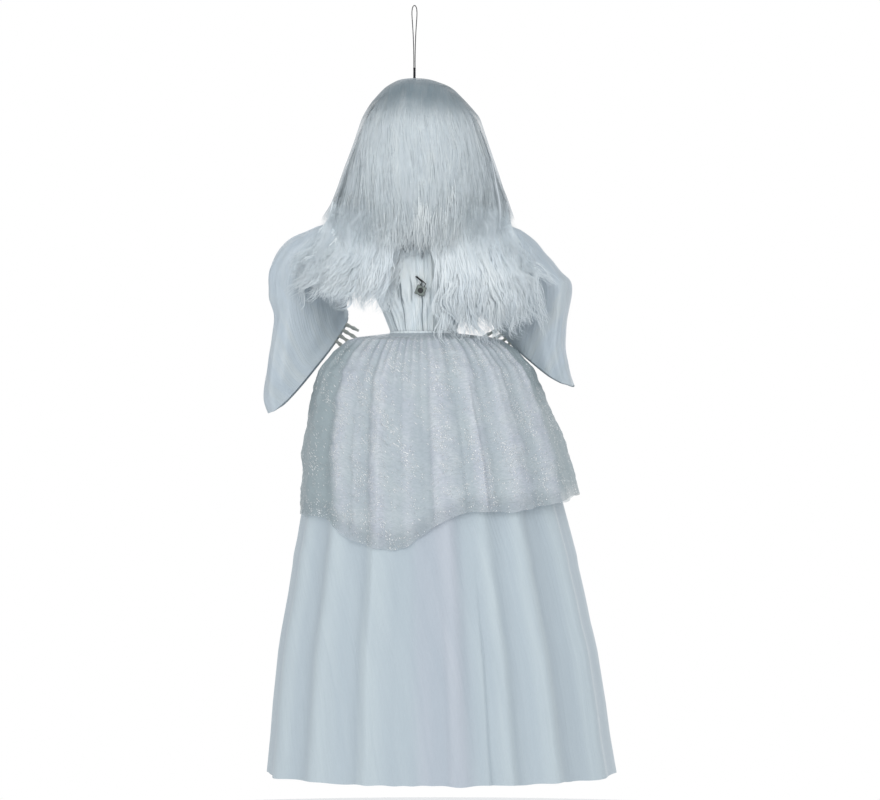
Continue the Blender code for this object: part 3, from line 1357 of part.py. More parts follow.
def skirt_point(column, drop, half_width, half_depth, spread):
    """A point of a skirt on a column, a drop below the waist seam and a size there."""
    angle, height = column
    z = SKIRT_TOP_Z - drop
    swell = 1.0 + FOLD_SHARE * spread * height
    return Vector((axis_x(z) + half_width * swell * math.cos(angle), half_depth * swell * math.sin(angle), z))


def waist_half():
    """Half width and half depth of the seam that the overskirt hangs from."""
    wide = WAIST_WIDTH / 2.0 + WAISTBAND_THICKNESS * 0.5
    deep = WAIST_DEPTH / 2.0 + WAISTBAND_THICKNESS * 0.5
    return wide, deep


def overskirt_size(spread):
    """Half width and half depth of the overskirt at a spread share."""
    wide, deep = waist_half()
    return (wide + (OVERSKIRT_HALF_WIDTH - wide) * spread, deep + (OVERSKIRT_HALF_DEPTH - deep) * spread)


def build_skirts():
    """The band at the waist and the two skirts that hang from it."""
    band_rows = []
    for z in (WAIST_Z - CLEARANCE, WAIST_Z - CLEARANCE - WAISTBAND_HEIGHT):
        half_width = WAIST_WIDTH / 2.0 + WAISTBAND_THICKNESS * 0.5
        half_depth = WAIST_DEPTH / 2.0 + WAISTBAND_THICKNESS * 0.5
        band_rows.append(ellipse_row((axis_x(z), 0.0, z), half_width, half_depth, half_depth, 24))
    add_piece("waistband", shell(band_rows, True, WAISTBAND_THICKNESS), SATIN)

    columns = fold_columns()
    rows = []
    for drop, spread in OVERSKIRT_ROW_SHARES:
        half_width, half_depth = overskirt_size(spread)
        row = []
        for column in columns:
            length = OVERSKIRT_LENGTH * shared(column[0], OVERSKIRT_HEM_SHARES)
            row.append(skirt_point(column, drop * length, half_width, half_depth, spread))
        rows.append(row)
    add_piece("overskirt", shell(rows, True, CLOTH_THICKNESS * 0.8), GLITTER)

    rows = []
    for drop, spread in OVERSKIRT_ROW_SHARES[:-1]:
        half_width, half_depth = overskirt_size(spread)
        tuck = SKIRT_SPACING if spread > 0.0 else WAISTBAND_THICKNESS * 0.5
        lower = SKIRT_SPACING if spread > 0.0 else CLOTH_THICKNESS * 1.3
        fall = drop * OVERSKIRT_LENGTH + lower
        rows.append([skirt_point(column, fall, half_width - tuck, half_depth - tuck, spread)
                     for column in columns])
    base_width, base_depth = overskirt_size(OVERSKIRT_ROW_SHARES[-2][1])
    base_width -= SKIRT_SPACING
    base_depth -= SKIRT_SPACING
    for drop, spread in UNDERSKIRT_LOW_SHARES:
        half_width = base_width + (HEM_HALF_WIDTH - base_width) * (spread - 0.30) / 0.70
        half_depth = base_depth + (HEM_HALF_DEPTH - base_depth) * (spread - 0.30) / 0.70
        rows.append([skirt_point(column, drop * UNDERSKIRT_LENGTH, half_width, half_depth, 1.0)
                     for column in columns])
    add_piece("underskirt", shell(rows, True, CLOTH_THICKNESS * 0.8), VOILE)


# Lamp box at the small of the back
BOX_WIDTH = 0.042
BOX_HEIGHT = 0.030
BOX_DEPTH = 0.015
BOX_WALL_THICKNESS = 0.0016
BOX_RISE_HEIGHT = 0.020
CELL_RADIUS = 0.0058
CELL_LENGTH = 0.0054
CELLS = 3
COVER_THICKNESS = 0.0018
SCREW_RADIUS = 0.0011
SCREW_HEAD_RADIUS = 0.0022
BOARD_THICKNESS = 0.0012
LEAD_RADIUS = 0.0006


def box_middle():
    """Middle of the lamp box, against the back of the spine."""
    z = WAIST_Z + BOX_RISE_HEIGHT
    return Vector((axis_x(z), SPINE_RADIUS + CLEARANCE + BOX_DEPTH / 2.0, z))


def build_lamp_box():
    """Box for three button cells and the board, closed by a screwed cover."""
    middle = box_middle()
    back = middle.y + BOX_DEPTH / 2.0
    floor = middle.y - BOX_DEPTH / 2.0 + BOX_WALL_THICKNESS
    cell_room = CELLS * CELL_LENGTH + (CELLS + 1) * CLEARANCE
    cell_x = middle.x - BOX_WIDTH / 2.0 + BOX_WALL_THICKNESS + cell_room / 2.0
    pocket_depth = back - floor + OVERRUN_LENGTH
    pocket_y = floor + pocket_depth / 2.0
    cell_pocket = block((cell_x, pocket_y, middle.z),
                        (cell_room, pocket_depth, 2.0 * (CELL_RADIUS + CLEARANCE)))
    board_room = BOX_WIDTH - 3.0 * BOX_WALL_THICKNESS - cell_room - 4.0 * SCREW_RADIUS
    board_x = middle.x + BOX_WIDTH / 2.0 - BOX_WALL_THICKNESS - board_room / 2.0
    board_height = BOX_HEIGHT - 4.0 * BOX_WALL_THICKNESS
    board_pocket = block((board_x, pocket_y, middle.z), (board_room, pocket_depth, board_height))
    screw_x = (cell_x + cell_room / 2.0 + board_x - board_room / 2.0) / 2.0
    screw_hole = rod((screw_x, floor, middle.z), (screw_x, back + OVERRUN_LENGTH, middle.z),
                     SCREW_RADIUS + CLEARANCE, 10)
    case = block(middle, (BOX_WIDTH, BOX_DEPTH, BOX_HEIGHT), None, BOX_WALL_THICKNESS * 0.5)
    add_piece("battery_box", cut(case, [cell_pocket, board_pocket, screw_hole]), BLACK)

    for i in range(CELLS):
        x = cell_x - cell_room / 2.0 + CLEARANCE + (i + 0.5) * CELL_LENGTH + i * CLEARANCE
        y = floor + CLEARANCE + CELL_RADIUS
        cell = rod((x - CELL_LENGTH / 2.0, y, middle.z), (x + CELL_LENGTH / 2.0, y, middle.z),
                   CELL_RADIUS, 16, CELL_RADIUS * 0.93)
        add_piece(f"battery_cell_{i + 1}", cell, STEEL)

    board_y = floor + CLEARANCE + BOARD_THICKNESS / 2.0
    base = block((board_x, board_y, middle.z),
                 (board_room - 2.0 * CLEARANCE, BOARD_THICKNESS, board_height - 2.0 * CLEARANCE))
    chip = block((board_x, board_y + BOARD_THICKNESS, middle.z),
                 (board_room * 0.4, BOARD_THICKNESS * 1.6, board_height * 0.3))
    add_piece("circuit_board", fused([base, chip]), BOARD)

    cover_y = back + CLEARANCE + COVER_THICKNESS / 2.0
    cover = block((middle.x, cover_y, middle.z), (BOX_WIDTH, COVER_THICKNESS, BOX_HEIGHT), None,
                  BOX_WALL_THICKNESS * 0.4)
    hole = rod((screw_x, cover_y - COVER_THICKNESS, middle.z), (screw_x, cover_y + COVER_THICKNESS, middle.z),
               SCREW_RADIUS + CLEARANCE, 10)
    add_piece("battery_cover", cut(cover, [hole]), BLACK)
    head_y = cover_y + COVER_THICKNESS / 2.0 + CLEARANCE
    profile = [
        (0.0, 0.0),
        (SCREW_RADIUS, 0.0),
        (SCREW_RADIUS, BOX_DEPTH * 0.6),
        (SCREW_HEAD_RADIUS, BOX_DEPTH * 0.6),
        (SCREW_HEAD_RADIUS * 0.7, BOX_DEPTH * 0.6 + SCREW_HEAD_RADIUS * 0.6),
        (0.0, BOX_DEPTH * 0.6 + SCREW_HEAD_RADIUS * 0.6),
    ]
    screw = turned(profile, (screw_x, head_y - BOX_DEPTH * 0.6, middle.z), 12, (0.0, 1.0, 0.0))
    add_piece("cover_screw", screw, STEEL)


# Push switch on the back of the dress
SWITCH_WIDTH = 0.012
SWITCH_DEPTH = 0.0035
SWITCH_HANG_LENGTH = 0.0168
SWITCH_SIDE_WIDTH = 0.0046
SWITCH_TILT = math.radians(-22.0)
PLATE_THICKNESS = 0.0004
PLUNGER_RADIUS = 0.0032
PLUNGER_COLLAR_WIDTH = 0.0007
PLUNGER_HEIGHT = 0.0024
PLUNGER_TRAVEL_LENGTH = 0.0004
PIN_LENGTH = 0.0022


def switch_point(local):
    """A point given in the switch's own frame: across, out of the dress, up."""
    hole = lead_hole()
    seat = bodice_back(hole.z - SWITCH_HANG_LENGTH) + CLEARANCE
    middle = Vector((hole.x - SWITCH_SIDE_WIDTH, seat, hole.z - SWITCH_HANG_LENGTH))
    return middle + Matrix.Rotation(SWITCH_TILT, 3, "Y") @ Vector(local)


def build_switch():
    """Square push switch hanging on its twin lead, with its plate and plunger."""
    turn = Matrix.Rotation(SWITCH_TILT, 3, "Y")
    body = block(switch_point((0.0, SWITCH_DEPTH / 2.0, 0.0)), (SWITCH_WIDTH, SWITCH_DEPTH, SWITCH_WIDTH),
                 turn, SWITCH_WIDTH * 0.04)
    pieces = [body]
    for sign in (-1.0, 1.0):
        low = switch_point((sign * SWITCH_WIDTH * 0.22, SWITCH_DEPTH * 0.5, SWITCH_WIDTH * 0.40))
        high = switch_point((sign * SWITCH_WIDTH * 0.22, SWITCH_DEPTH * 0.5, SWITCH_WIDTH / 2.0 + PIN_LENGTH))
        pieces.append(rod(low, high, LEAD_RADIUS, 8))
    room = PLUNGER_RADIUS + PLUNGER_COLLAR_WIDTH + CLEARANCE
    floor = SWITCH_DEPTH - CLEARANCE * 3.0 - PLUNGER_COLLAR_WIDTH - PLUNGER_TRAVEL_LENGTH
    mouth = switch_point((0.0, SWITCH_DEPTH + OVERRUN_LENGTH, 0.0))
    pocket = rod(switch_point((0.0, floor, 0.0)), mouth, room, 16)
    add_piece("switch_housing", cut(fused(pieces), [pocket]), BLACK)

    plate_y = SWITCH_DEPTH + CLEARANCE + PLATE_THICKNESS / 2.0
    plate = block(switch_point((0.0, plate_y, 0.0)),
                  (SWITCH_WIDTH * 0.94, PLATE_THICKNESS, SWITCH_WIDTH * 0.94), turn)
    hole = rod(switch_point((0.0, SWITCH_DEPTH - OVERRUN_LENGTH, 0.0)),
               switch_point((0.0, SWITCH_DEPTH + OVERRUN_LENGTH, 0.0)), PLUNGER_RADIUS + CLEARANCE, 16)
    add_piece("switch_plate", cut(plate, [hole]), STEEL)

    top = SWITCH_DEPTH
    profile = [
        (0.0, 0.0),
        (PLUNGER_RADIUS + PLUNGER_COLLAR_WIDTH, 0.0),
        (PLUNGER_RADIUS + PLUNGER_COLLAR_WIDTH, PLUNGER_COLLAR_WIDTH),
        (PLUNGER_RADIUS, PLUNGER_COLLAR_WIDTH),
        (PLUNGER_RADIUS, PLUNGER_HEIGHT - PLUNGER_RADIUS * 0.1),
        (PLUNGER_RADIUS * 0.9, PLUNGER_HEIGHT),
        (0.0, PLUNGER_HEIGHT),
    ]
    base = switch_point((0.0, top - PLUNGER_COLLAR_WIDTH, 0.0))
    plunger = add_piece("switch_plunger", turned(profile, base, 18, (0.0, 1.0, 0.0)), BLACK)
    put_origin(plunger, base)


# Leads
LEAD_INSIDE_LENGTH = 0.013
LEAD_FOOT_SHARE = 0.34


def build_switch_lead():
    """Twin lead from the switch's pins through the dress, closed at the lamp box."""
    hole = lead_hole()
    box = box_middle()
    strands = []
    for sign in (-1.0, 1.0):
        pin = switch_point((sign * SWITCH_WIDTH * 0.22, SWITCH_DEPTH * 0.5,
                            SWITCH_WIDTH / 2.0 + PIN_LENGTH + CLEARANCE * 2.0))
        bend = switch_point((sign * SWITCH_WIDTH * 0.17, SWITCH_DEPTH * 0.6,
                             SWITCH_WIDTH / 2.0 + PIN_LENGTH * 2.0))
        offset = Vector((sign * LEAD_RADIUS * 1.3, 0.0, 0.0))
        out = hole + Vector((0.0, LEAD_RADIUS * 3.0, 0.0)) + offset
        inside = hole - Vector((0.0, LEAD_INSIDE_LENGTH, 0.0)) + offset
        strands.append([pin, bend, out, inside])
    left, right = strands
    rise = box.z + BOX_HEIGHT / 2.0 + LEAD_RADIUS * 4.0
    foot_left = Vector((box.x + BOX_WIDTH * LEAD_FOOT_SHARE, box.y, rise))
    foot_right = foot_left + Vector((LEAD_RADIUS * 2.6, 0.0, 0.0))
    middle_y = (left[-1].y + box.y) / 2.0
    middle_z = (left[-1].z + rise) / 2.0
    turn_left = Vector((left[-1].x + (foot_left.x - left[-1].x) * 0.5, middle_y, middle_z))
    turn_right = turn_left + Vector((LEAD_RADIUS * 2.6, 0.0, 0.0))
    route = left + [turn_left, foot_left, foot_right, turn_right] + list(reversed(right))
    add_piece("switch_lead", tube(smooth_route(route, LEAD_RADIUS * 7.0), LEAD_RADIUS, 1), BLACK)


NECK_LEAD_WIDTH = 0.0032
BACK_LEAD_WIDTH = 0.0080


def build_eye_leads():
    """One lead from each eye lamp down the neck and the back to the lamp box."""
    box = box_middle()
    brain_foot = CROWN_Z - (BRAIN_DROP_SHARE + BRAIN_RADII_SHARES[2]) * SKULL_HEIGHT
    y_neck = SPINE_RADIUS + CLEARANCE + LEAD_RADIUS * 2.0
    y_yoke = YOKE_RING_RADIUS + LEAD_RADIUS * 3.0
    for name, side in SIDES.items():
        seat = lamp_seat(side)
        start = seat + Vector((0.0, LAMP_LENGTH * 0.5 + CLEARANCE * 2.0, 0.0))
        inside = Vector((start.x, start.y + LAMP_LENGTH * 1.6, start.z))
        falling = Vector((skull_middle() + side * FORAMEN_RADIUS * 0.7, 0.0,
                          brain_foot + FORAMEN_RADIUS * 0.6))
        x_neck = axis_x(SKULL_BASE_Z) + side * NECK_LEAD_WIDTH
        throat = Vector((x_neck, y_neck * 0.8, spine_top() + LEAD_RADIUS * 9.0))
        foramen = Vector((x_neck, y_neck, SKULL_BASE_Z))
        x_shoulder = axis_x(SHOULDER_Z)
        neck_low = Vector((x_shoulder + side * NECK_LEAD_WIDTH, y_neck, SHOULDER_Z + BOSS_RADIUS * 2.0))
        behind = Vector((x_shoulder + side * BACK_LEAD_WIDTH * 0.7, y_yoke, SHOULDER_Z + BOSS_RADIUS * 0.7))
        below = Vector((x_shoulder + side * BACK_LEAD_WIDTH, y_yoke, SHOULDER_Z - BOSS_RADIUS * 0.8))
        foot = Vector((box.x + side * BACK_LEAD_WIDTH, box.y, box.z + BOX_HEIGHT / 2.0 + CLEARANCE))
        route = [start, inside, falling, throat, foramen, neck_low, behind, below, foot]
        add_piece(f"eye_lead_{name}", tube(smooth_route(route, LEAD_RADIUS * 20.0), LEAD_RADIUS, 1), BLACK)


def main():
    """Build every piece."""
    start_scene()
    build_hanging_cord()
    build_skull()
    build_jaw()
    build_eye_lamps()
    build_spine()
    build_bodice()
    build_rib_cage()
    build_collar_yoke()
    for name in SIDES:
        plan = ArmPlan(name)
        build_upper_arm(plan)
        build_pins(plan)
        build_forearm(plan)
        build_hand(plan)
        build_sleeve(plan)
    build_veil()
    build_wig()
    build_locks()
    build_skirts()
    build_lamp_box()
    build_switch()
    build_switch_lead()
    build_eye_leads()


main()
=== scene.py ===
"""Looks of the hanging skeleton bride, seen from behind as the photograph shows it.

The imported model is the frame: origin in the hook's loop, +Z up, face towards -Y and back
towards +Y, in metres. Each sub-assembly is a class that builds its pieces over the frame.
"""

import functools
import json
import logging
import math
from collections.abc import Callable, Sequence
from dataclasses import dataclass
from enum import Enum

import bpy
import numpy as np
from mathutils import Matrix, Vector, noise
from mathutils.bvhtree import BVHTree


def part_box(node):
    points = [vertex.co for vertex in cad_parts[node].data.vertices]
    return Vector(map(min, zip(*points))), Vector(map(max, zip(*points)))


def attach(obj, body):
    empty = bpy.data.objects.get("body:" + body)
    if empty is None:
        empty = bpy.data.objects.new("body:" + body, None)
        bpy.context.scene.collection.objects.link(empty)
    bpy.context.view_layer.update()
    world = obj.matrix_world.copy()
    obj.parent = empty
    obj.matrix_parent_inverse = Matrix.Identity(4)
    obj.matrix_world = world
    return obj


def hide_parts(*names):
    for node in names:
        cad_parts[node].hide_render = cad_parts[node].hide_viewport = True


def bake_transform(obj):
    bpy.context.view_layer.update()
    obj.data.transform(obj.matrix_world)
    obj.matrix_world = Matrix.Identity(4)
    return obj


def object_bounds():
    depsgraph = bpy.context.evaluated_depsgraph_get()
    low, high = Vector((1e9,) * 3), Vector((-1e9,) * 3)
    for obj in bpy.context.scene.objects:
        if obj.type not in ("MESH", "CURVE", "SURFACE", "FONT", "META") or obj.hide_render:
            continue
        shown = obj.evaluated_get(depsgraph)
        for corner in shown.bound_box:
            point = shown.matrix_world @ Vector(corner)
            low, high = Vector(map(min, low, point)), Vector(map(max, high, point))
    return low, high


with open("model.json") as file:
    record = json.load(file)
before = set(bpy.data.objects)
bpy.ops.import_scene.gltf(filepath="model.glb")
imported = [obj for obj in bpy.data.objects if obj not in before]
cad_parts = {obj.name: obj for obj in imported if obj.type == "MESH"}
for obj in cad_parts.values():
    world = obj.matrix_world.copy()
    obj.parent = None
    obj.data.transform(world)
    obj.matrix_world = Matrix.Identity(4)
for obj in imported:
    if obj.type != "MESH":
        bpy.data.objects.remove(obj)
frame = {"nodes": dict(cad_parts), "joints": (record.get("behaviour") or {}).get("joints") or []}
CAD_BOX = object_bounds()

logging.basicConfig(level=logging.INFO, format="%(message)s")
log = logging.getLogger("bride")

Colour = tuple[float, float, float]
MILLIMETRE = 0.001

# The figure hangs a little askew: it moves sideways by LEAN times the height under its CROWN.
LEAN = 0.0375
CROWN = -0.0961


def linear(red: int, green: int, blue: int) -> Colour:
    """Turn a screen colour into the linear one that a shader takes.

    Args:
        red: Red from 0 to 255.
        green: Green from 0 to 255.
        blue: Blue from 0 to 255.

    Returns:
        The three linear parts, from 0 to 1.
    """
    parts = []
    for value in (red, green, blue):
        share = value / 255.0
        parts.append(share / 12.92 if share <= 0.04045 else ((share + 0.055) / 1.055) ** 2.4)
    return tuple(parts)


class Side(Enum):
    """The figure's own left and right, with the sign of X there."""

    LEFT = 1.0
    RIGHT = -1.0

    @property
    def word(self) -> str:
        """The side's name as the frame's nodes spell it."""
        return self.name.lower()


def smoothstep(low: float, high: float, value: np.ndarray) -> np.ndarray:
    """Rise smoothly from 0 at low to 1 at high.

    Args:
        low: Where the rise starts.
        high: Where the rise ends.
        value: The values to read it at.

    Returns:
        Shares from 0 to 1.
    """
    t = np.clip((value - low) / (high - low), 0.0, 1.0)
    return t * t * (3.0 - 2.0 * t)


def catmull(points: np.ndarray, count: int) -> np.ndarray:
    """Read a smooth curve through points at an even spacing.

    Args:
        points: The points that the curve goes through, one a row.
        count: How many points to return.

    Returns:
        The points of the curve.
    """
    steps = 24
    dense = []
    for i in range(len(points) - 1):
        p0 = points[max(i - 1, 0)]
        p1 = points[i]
        p2 = points[i + 1]
        p3 = points[min(i + 2, len(points) - 1)]
        for k in range(steps):
            t = k / steps
            square = t * t
            cube = square * t
            dense.append(0.5 * (2.0 * p1 + (p2 - p0) * t + (2.0 * p0 - 5.0 * p1 + 4.0 * p2 - p3) * square
                                + (3.0 * p1 - p0 - 3.0 * p2 + p3) * cube))
    dense.append(points[-1])
    dense = np.array(dense)
    gone = np.concatenate([[0.0], np.cumsum(np.linalg.norm(np.diff(dense, axis=0), axis=1))])
    wanted = np.linspace(0.0, gone[-1], count)
    return np.stack([np.interp(wanted, gone, dense[:, k]) for k in range(dense.shape[1])], axis=1)


# Shading graphs


class Graph:
    """A node tree that is being wired, with short calls for its nodes and links."""

    def __init__(self, tree: bpy.types.NodeTree) -> None:
        """Keep the tree.

        Args:
            tree: The tree of a material, a world or a node group.
        """
        self.tree = tree

    def feed(self, value: object, socket: bpy.types.NodeSocket) -> None:
        """Link an output to a socket, or set the socket's value.

        Args:
            value: An output socket or a plain value.
            socket: The input that takes it.
        """
        if isinstance(value, bpy.types.NodeSocket):
            self.tree.links.new(value, socket)
        else:
            socket.default_value = value

    def fill(self, node: bpy.types.Node, **inputs: object) -> bpy.types.Node:
        """Feed a node's inputs by their names.

        Args:
            node: The node.
            inputs: Values or outputs by socket name, with _ for a space.

        Returns:
            The same node.
        """
        for key, value in inputs.items():
            self.feed(value, node.inputs[key.replace("_", " ")])
        return node

    def add(self, kind: str, settings: dict | None = None, **inputs: object) -> bpy.types.Node:
        """Add a node.

        Args:
            kind: Blender's type name of the node.
            settings: Properties to set on the node.
            inputs: Values or outputs by socket name, with _ for a space.

        Returns:
            The new node.
        """
        node = self.tree.nodes.new(kind)
        for key, value in (settings or {}).items():
            setattr(node, key, value)
        return self.fill(node, **inputs)

    def math(self, operation: str, first: object, second: object = 0.0,
             third: object = 0.0) -> bpy.types.NodeSocket:
        """Add a Math node.

        Args:
            operation: Blender's name of the operation.
            first: First value or output.
            second: Second value or output.
            third: Third value or output.

        Returns:
            The node's output.
        """
        node = self.add("ShaderNodeMath", {"operation": operation})
        for value, socket in zip((first, second, third), node.inputs):
            self.feed(value, socket)
        return node.outputs[0]

    def times(self, first: object, second: object) -> bpy.types.NodeSocket:
        """Multiply two values.

        Args:
            first: First value or output.
            second: Second value or output.

        Returns:
            Their product.
        """
        return self.math("MULTIPLY", first, second)

    def spread(self, value: object, low: float, high: float, to_low: float = 0.0,
               to_high: float = 1.0) -> bpy.types.NodeSocket:
        """Map a range of values to another smoothly, clamped at both ends.

        Args:
            value: The output to map.
            low: Start of the range that comes in.
            high: End of the range that comes in.
            to_low: What low becomes.
            to_high: What high becomes.

        Returns:
            The mapped output.
        """
        return self.add("ShaderNodeMapRange", {"interpolation_type": "SMOOTHSTEP"}, Value=value, From_Min=low,
                        From_Max=high, To_Min=to_low, To_Max=to_high).outputs["Result"]

    def blend(self, share: object, first: object, second: object) -> bpy.types.NodeSocket:
        """Mix two colours.

        Args:
            share: How much of the second colour there is.
            first: First colour or output.
            second: Second colour or output.

        Returns:
            The mixed colour.
        """
        node = self.add("ShaderNodeMix", {"data_type": "RGBA"})
        for value, socket in ((share, node.inputs[0]), (first, node.inputs[6]), (second, node.inputs[7])):
            self.feed((*value, 1.0) if isinstance(value, tuple) else value, socket)
        return node.outputs[2]

    def mask(self, name: str) -> bpy.types.NodeSocket:
        """Read a value that the piece holds at each point.

        Args:
            name: The attribute's name.

        Returns:
            Its value.
        """
        return self.add("ShaderNodeAttribute", {"attribute_name": name}).outputs["Fac"]

    def cloth_place(self) -> bpy.types.NodeSocket:
        """Read the place on a cloth or a strand.

        Returns:
            The UV place, in metres.
        """
        return self.add("ShaderNodeUVMap").outputs["UV"]

    def solid_place(self) -> bpy.types.NodeSocket:
        """Read the place in a rigid piece.

        Returns:
            The place in the object's own space, in metres.
        """
        return self.add("ShaderNodeTexCoord").outputs["Object"]

    def stretch(self, place: bpy.types.NodeSocket, scale: tuple[float, float, float],
                turn: float = 0.0) -> bpy.types.NodeSocket:
        """Scale and turn a place.

        Args:
            place: The place.
            scale: Scale along each axis.
            turn: Turn about the third axis, in radians.

        Returns:
            The changed place.
        """
        node = self.add("ShaderNodeMapping", Vector=place, Rotation=(0.0, 0.0, turn), Scale=scale)
        return node.outputs["Vector"]

    def group(self, tree: bpy.types.NodeTree, **inputs: object) -> bpy.types.Node:
        """Add a shared group.

        Args:
            tree: The group.
            inputs: Values or outputs by socket name.

        Returns:
            The group's node.
        """
        return self.add("ShaderNodeGroup", {"node_tree": tree}, **inputs)

    def mottle(self, place: bpy.types.NodeSocket, scale: float) -> bpy.types.NodeSocket:
        """Add soft uneven patches.

        Args:
            place: Where they are read.
            scale: Patches to the metre, roughly.

        Returns:
            Values round 0.5.
        """
        return self.group(Effects.mottle(), Vector=place, Scale=scale).outputs["Value"]

    def streaks(self, place: bpy.types.NodeSocket, pitch: float, length: float) -> bpy.types.NodeSocket:
        """Add long threads along the second axis.

        Args:
            place: Where they are read.
            pitch: Distance from thread to thread, in metres.
            length: How long they are, in metres.

        Returns:
            Values from 0 to 1.
        """
        return self.group(Effects.streaks(), Vector=place, Pitch=pitch, Length=length).outputs["Value"]


class Effects:
    """The shader groups that several finishes share, each built once."""

    @staticmethod
    def start(name: str, takes: str, gives: str) -> tuple[Graph, bpy.types.Node, bpy.types.Node]:
        """Begin a group with its sockets, of which Vector is a place and all the others are numbers.

        Args:
            name: The group's name.
            takes: Names of its inputs.
            gives: Names of its outputs.

        Returns:
            The graph, its input node and its output node.
        """
        tree = bpy.data.node_groups.new(name, "ShaderNodeTree")
        for titles, way in ((takes, "INPUT"), (gives, "OUTPUT")):
            for title in titles.split():
                kind = "NodeSocketVector" if title == "Vector" else "NodeSocketFloat"
                tree.interface.new_socket(name=title, in_out=way, socket_type=kind)
        return Graph(tree), tree.nodes.new("NodeGroupInput"), tree.nodes.new("NodeGroupOutput")

    @staticmethod
    @functools.cache
    def mottle() -> bpy.types.NodeTree:
        """Soft uneven patches: takes a place and a scale, gives a value round 0.5.

        Returns:
            The group.
        """
        graph, source, sink = Effects.start("mottle", "Vector Scale", "Value")
        patches = graph.add("ShaderNodeTexNoise", Vector=source.outputs["Vector"],
                            Scale=source.outputs["Scale"], Detail=3.0, Roughness=0.55)
        graph.fill(sink, Value=patches.outputs["Fac"])
        return graph.tree

    @staticmethod
    @functools.cache
    def streaks() -> bpy.types.NodeTree:
        """Long threads along V: takes a UV place, a pitch and a length, gives a value from 0 to 1.

        Returns:
            The group.
        """
        graph, source, sink = Effects.start("streaks", "Vector Pitch Length", "Value")
        parts = graph.add("ShaderNodeSeparateXYZ", Vector=source.outputs["Vector"])
        across = graph.math("DIVIDE", parts.outputs[0], source.outputs["Pitch"])
        along = graph.math("DIVIDE", parts.outputs[1], source.outputs["Length"])
        place = graph.add("ShaderNodeCombineXYZ", X=across, Y=along, Z=parts.outputs[2])
        strands = graph.add("ShaderNodeTexNoise", Vector=place.outputs[0], Scale=1.0, Detail=4.0,
                            Roughness=0.62)
        graph.fill(sink, Value=graph.spread(strands.outputs["Fac"], 0.28, 0.72))
        return graph.tree

    @staticmethod
    @functools.cache
    def weave() -> bpy.types.NodeTree:
        """Plain weave: takes a UV place and a thread pitch, gives its height and its holes.

        Returns:
            The group.
        """
        graph, source, sink = Effects.start("weave", "Vector Pitch", "Height Hole")
        parts = graph.add("ShaderNodeSeparateXYZ", Vector=source.outputs["Vector"])
        turn = graph.math("DIVIDE", math.pi, source.outputs["Pitch"])
        warp = graph.math("SINE", graph.times(parts.outputs[0], turn))
        weft = graph.math("SINE", graph.times(parts.outputs[1], turn))
        height = graph.math("MULTIPLY_ADD", graph.times(warp, weft), 0.5, 0.5)
        gap = graph.times(graph.math("ABSOLUTE", warp), graph.math("ABSOLUTE", weft))
        graph.fill(sink, Height=height, Hole=graph.spread(gap, 0.35, 0.75))
        return graph.tree

    @staticmethod
    @functools.cache
    def glitter() -> bpy.types.NodeTree:
        """Scattered flecks: takes a place, their pitch and the share of cells that hold one.

        Returns:
            The group, which gives the flecks' mask and tone.
        """
        graph, source, sink = Effects.start("glitter", "Vector Pitch Share", "Mask Tone")
        scale = graph.math("DIVIDE", 1.0, source.outputs["Pitch"])
        cells = graph.add("ShaderNodeTexVoronoi", {"feature": "F1"}, Vector=source.outputs["Vector"],
                          Scale=scale, Randomness=1.0)
        parts = graph.add("ShaderNodeSeparateColor", Color=cells.outputs["Color"])
        kept = graph.math("LESS_THAN", parts.outputs[0], source.outputs["Share"])
        inside = graph.spread(cells.outputs["Distance"], 0.46, 0.26)
        graph.fill(sink, Mask=graph.times(kept, inside), Tone=parts.outputs[1])
        return graph.tree


class Finish:
    """A finish that makes its material once and gives it to pieces."""

    def wire(self, graph: Graph, shader: bpy.types.Node) -> None:
        """Set and feed the shader's sockets.

        Args:
            graph: The material's graph.
            shader: Its Principled node.
        """
        raise NotImplementedError

    @functools.cache
    def material(self) -> bpy.types.Material:
        """Make the finish's material on the first call, and hand out the same one afterwards.

        Returns:
            The material.
        """
        made = bpy.data.materials.new(self.label)
        made.use_nodes = True
        self.wire(Graph(made.node_tree), made.node_tree.nodes["Principled BSDF"])
        return made

    def dress(self, obj: bpy.types.Object) -> bpy.types.Object:
        """Give an object this finish alone.

        Args:
            obj: The object to dress.

        Returns:
            The same object.
        """
        obj.data.materials.clear()
        obj.data.materials.append(self.material())
        return obj


def bump(graph: Graph, shader: bpy.types.Node, height: bpy.types.NodeSocket, depth: float,
         strength: float = 1.0) -> None:
    """Feed a height into the shader's normal.

    Args:
        graph: The material's graph.
        shader: Its Principled node.
        height: Output that holds the height, from 0 to 1.
        depth: Real height of 1, in metres.
        strength: How strongly it shows.
    """
    node = graph.add("ShaderNodeBump", Height=height, Distance=depth, Strength=strength)
    graph.fill(shader, Normal=node.outputs["Normal"])


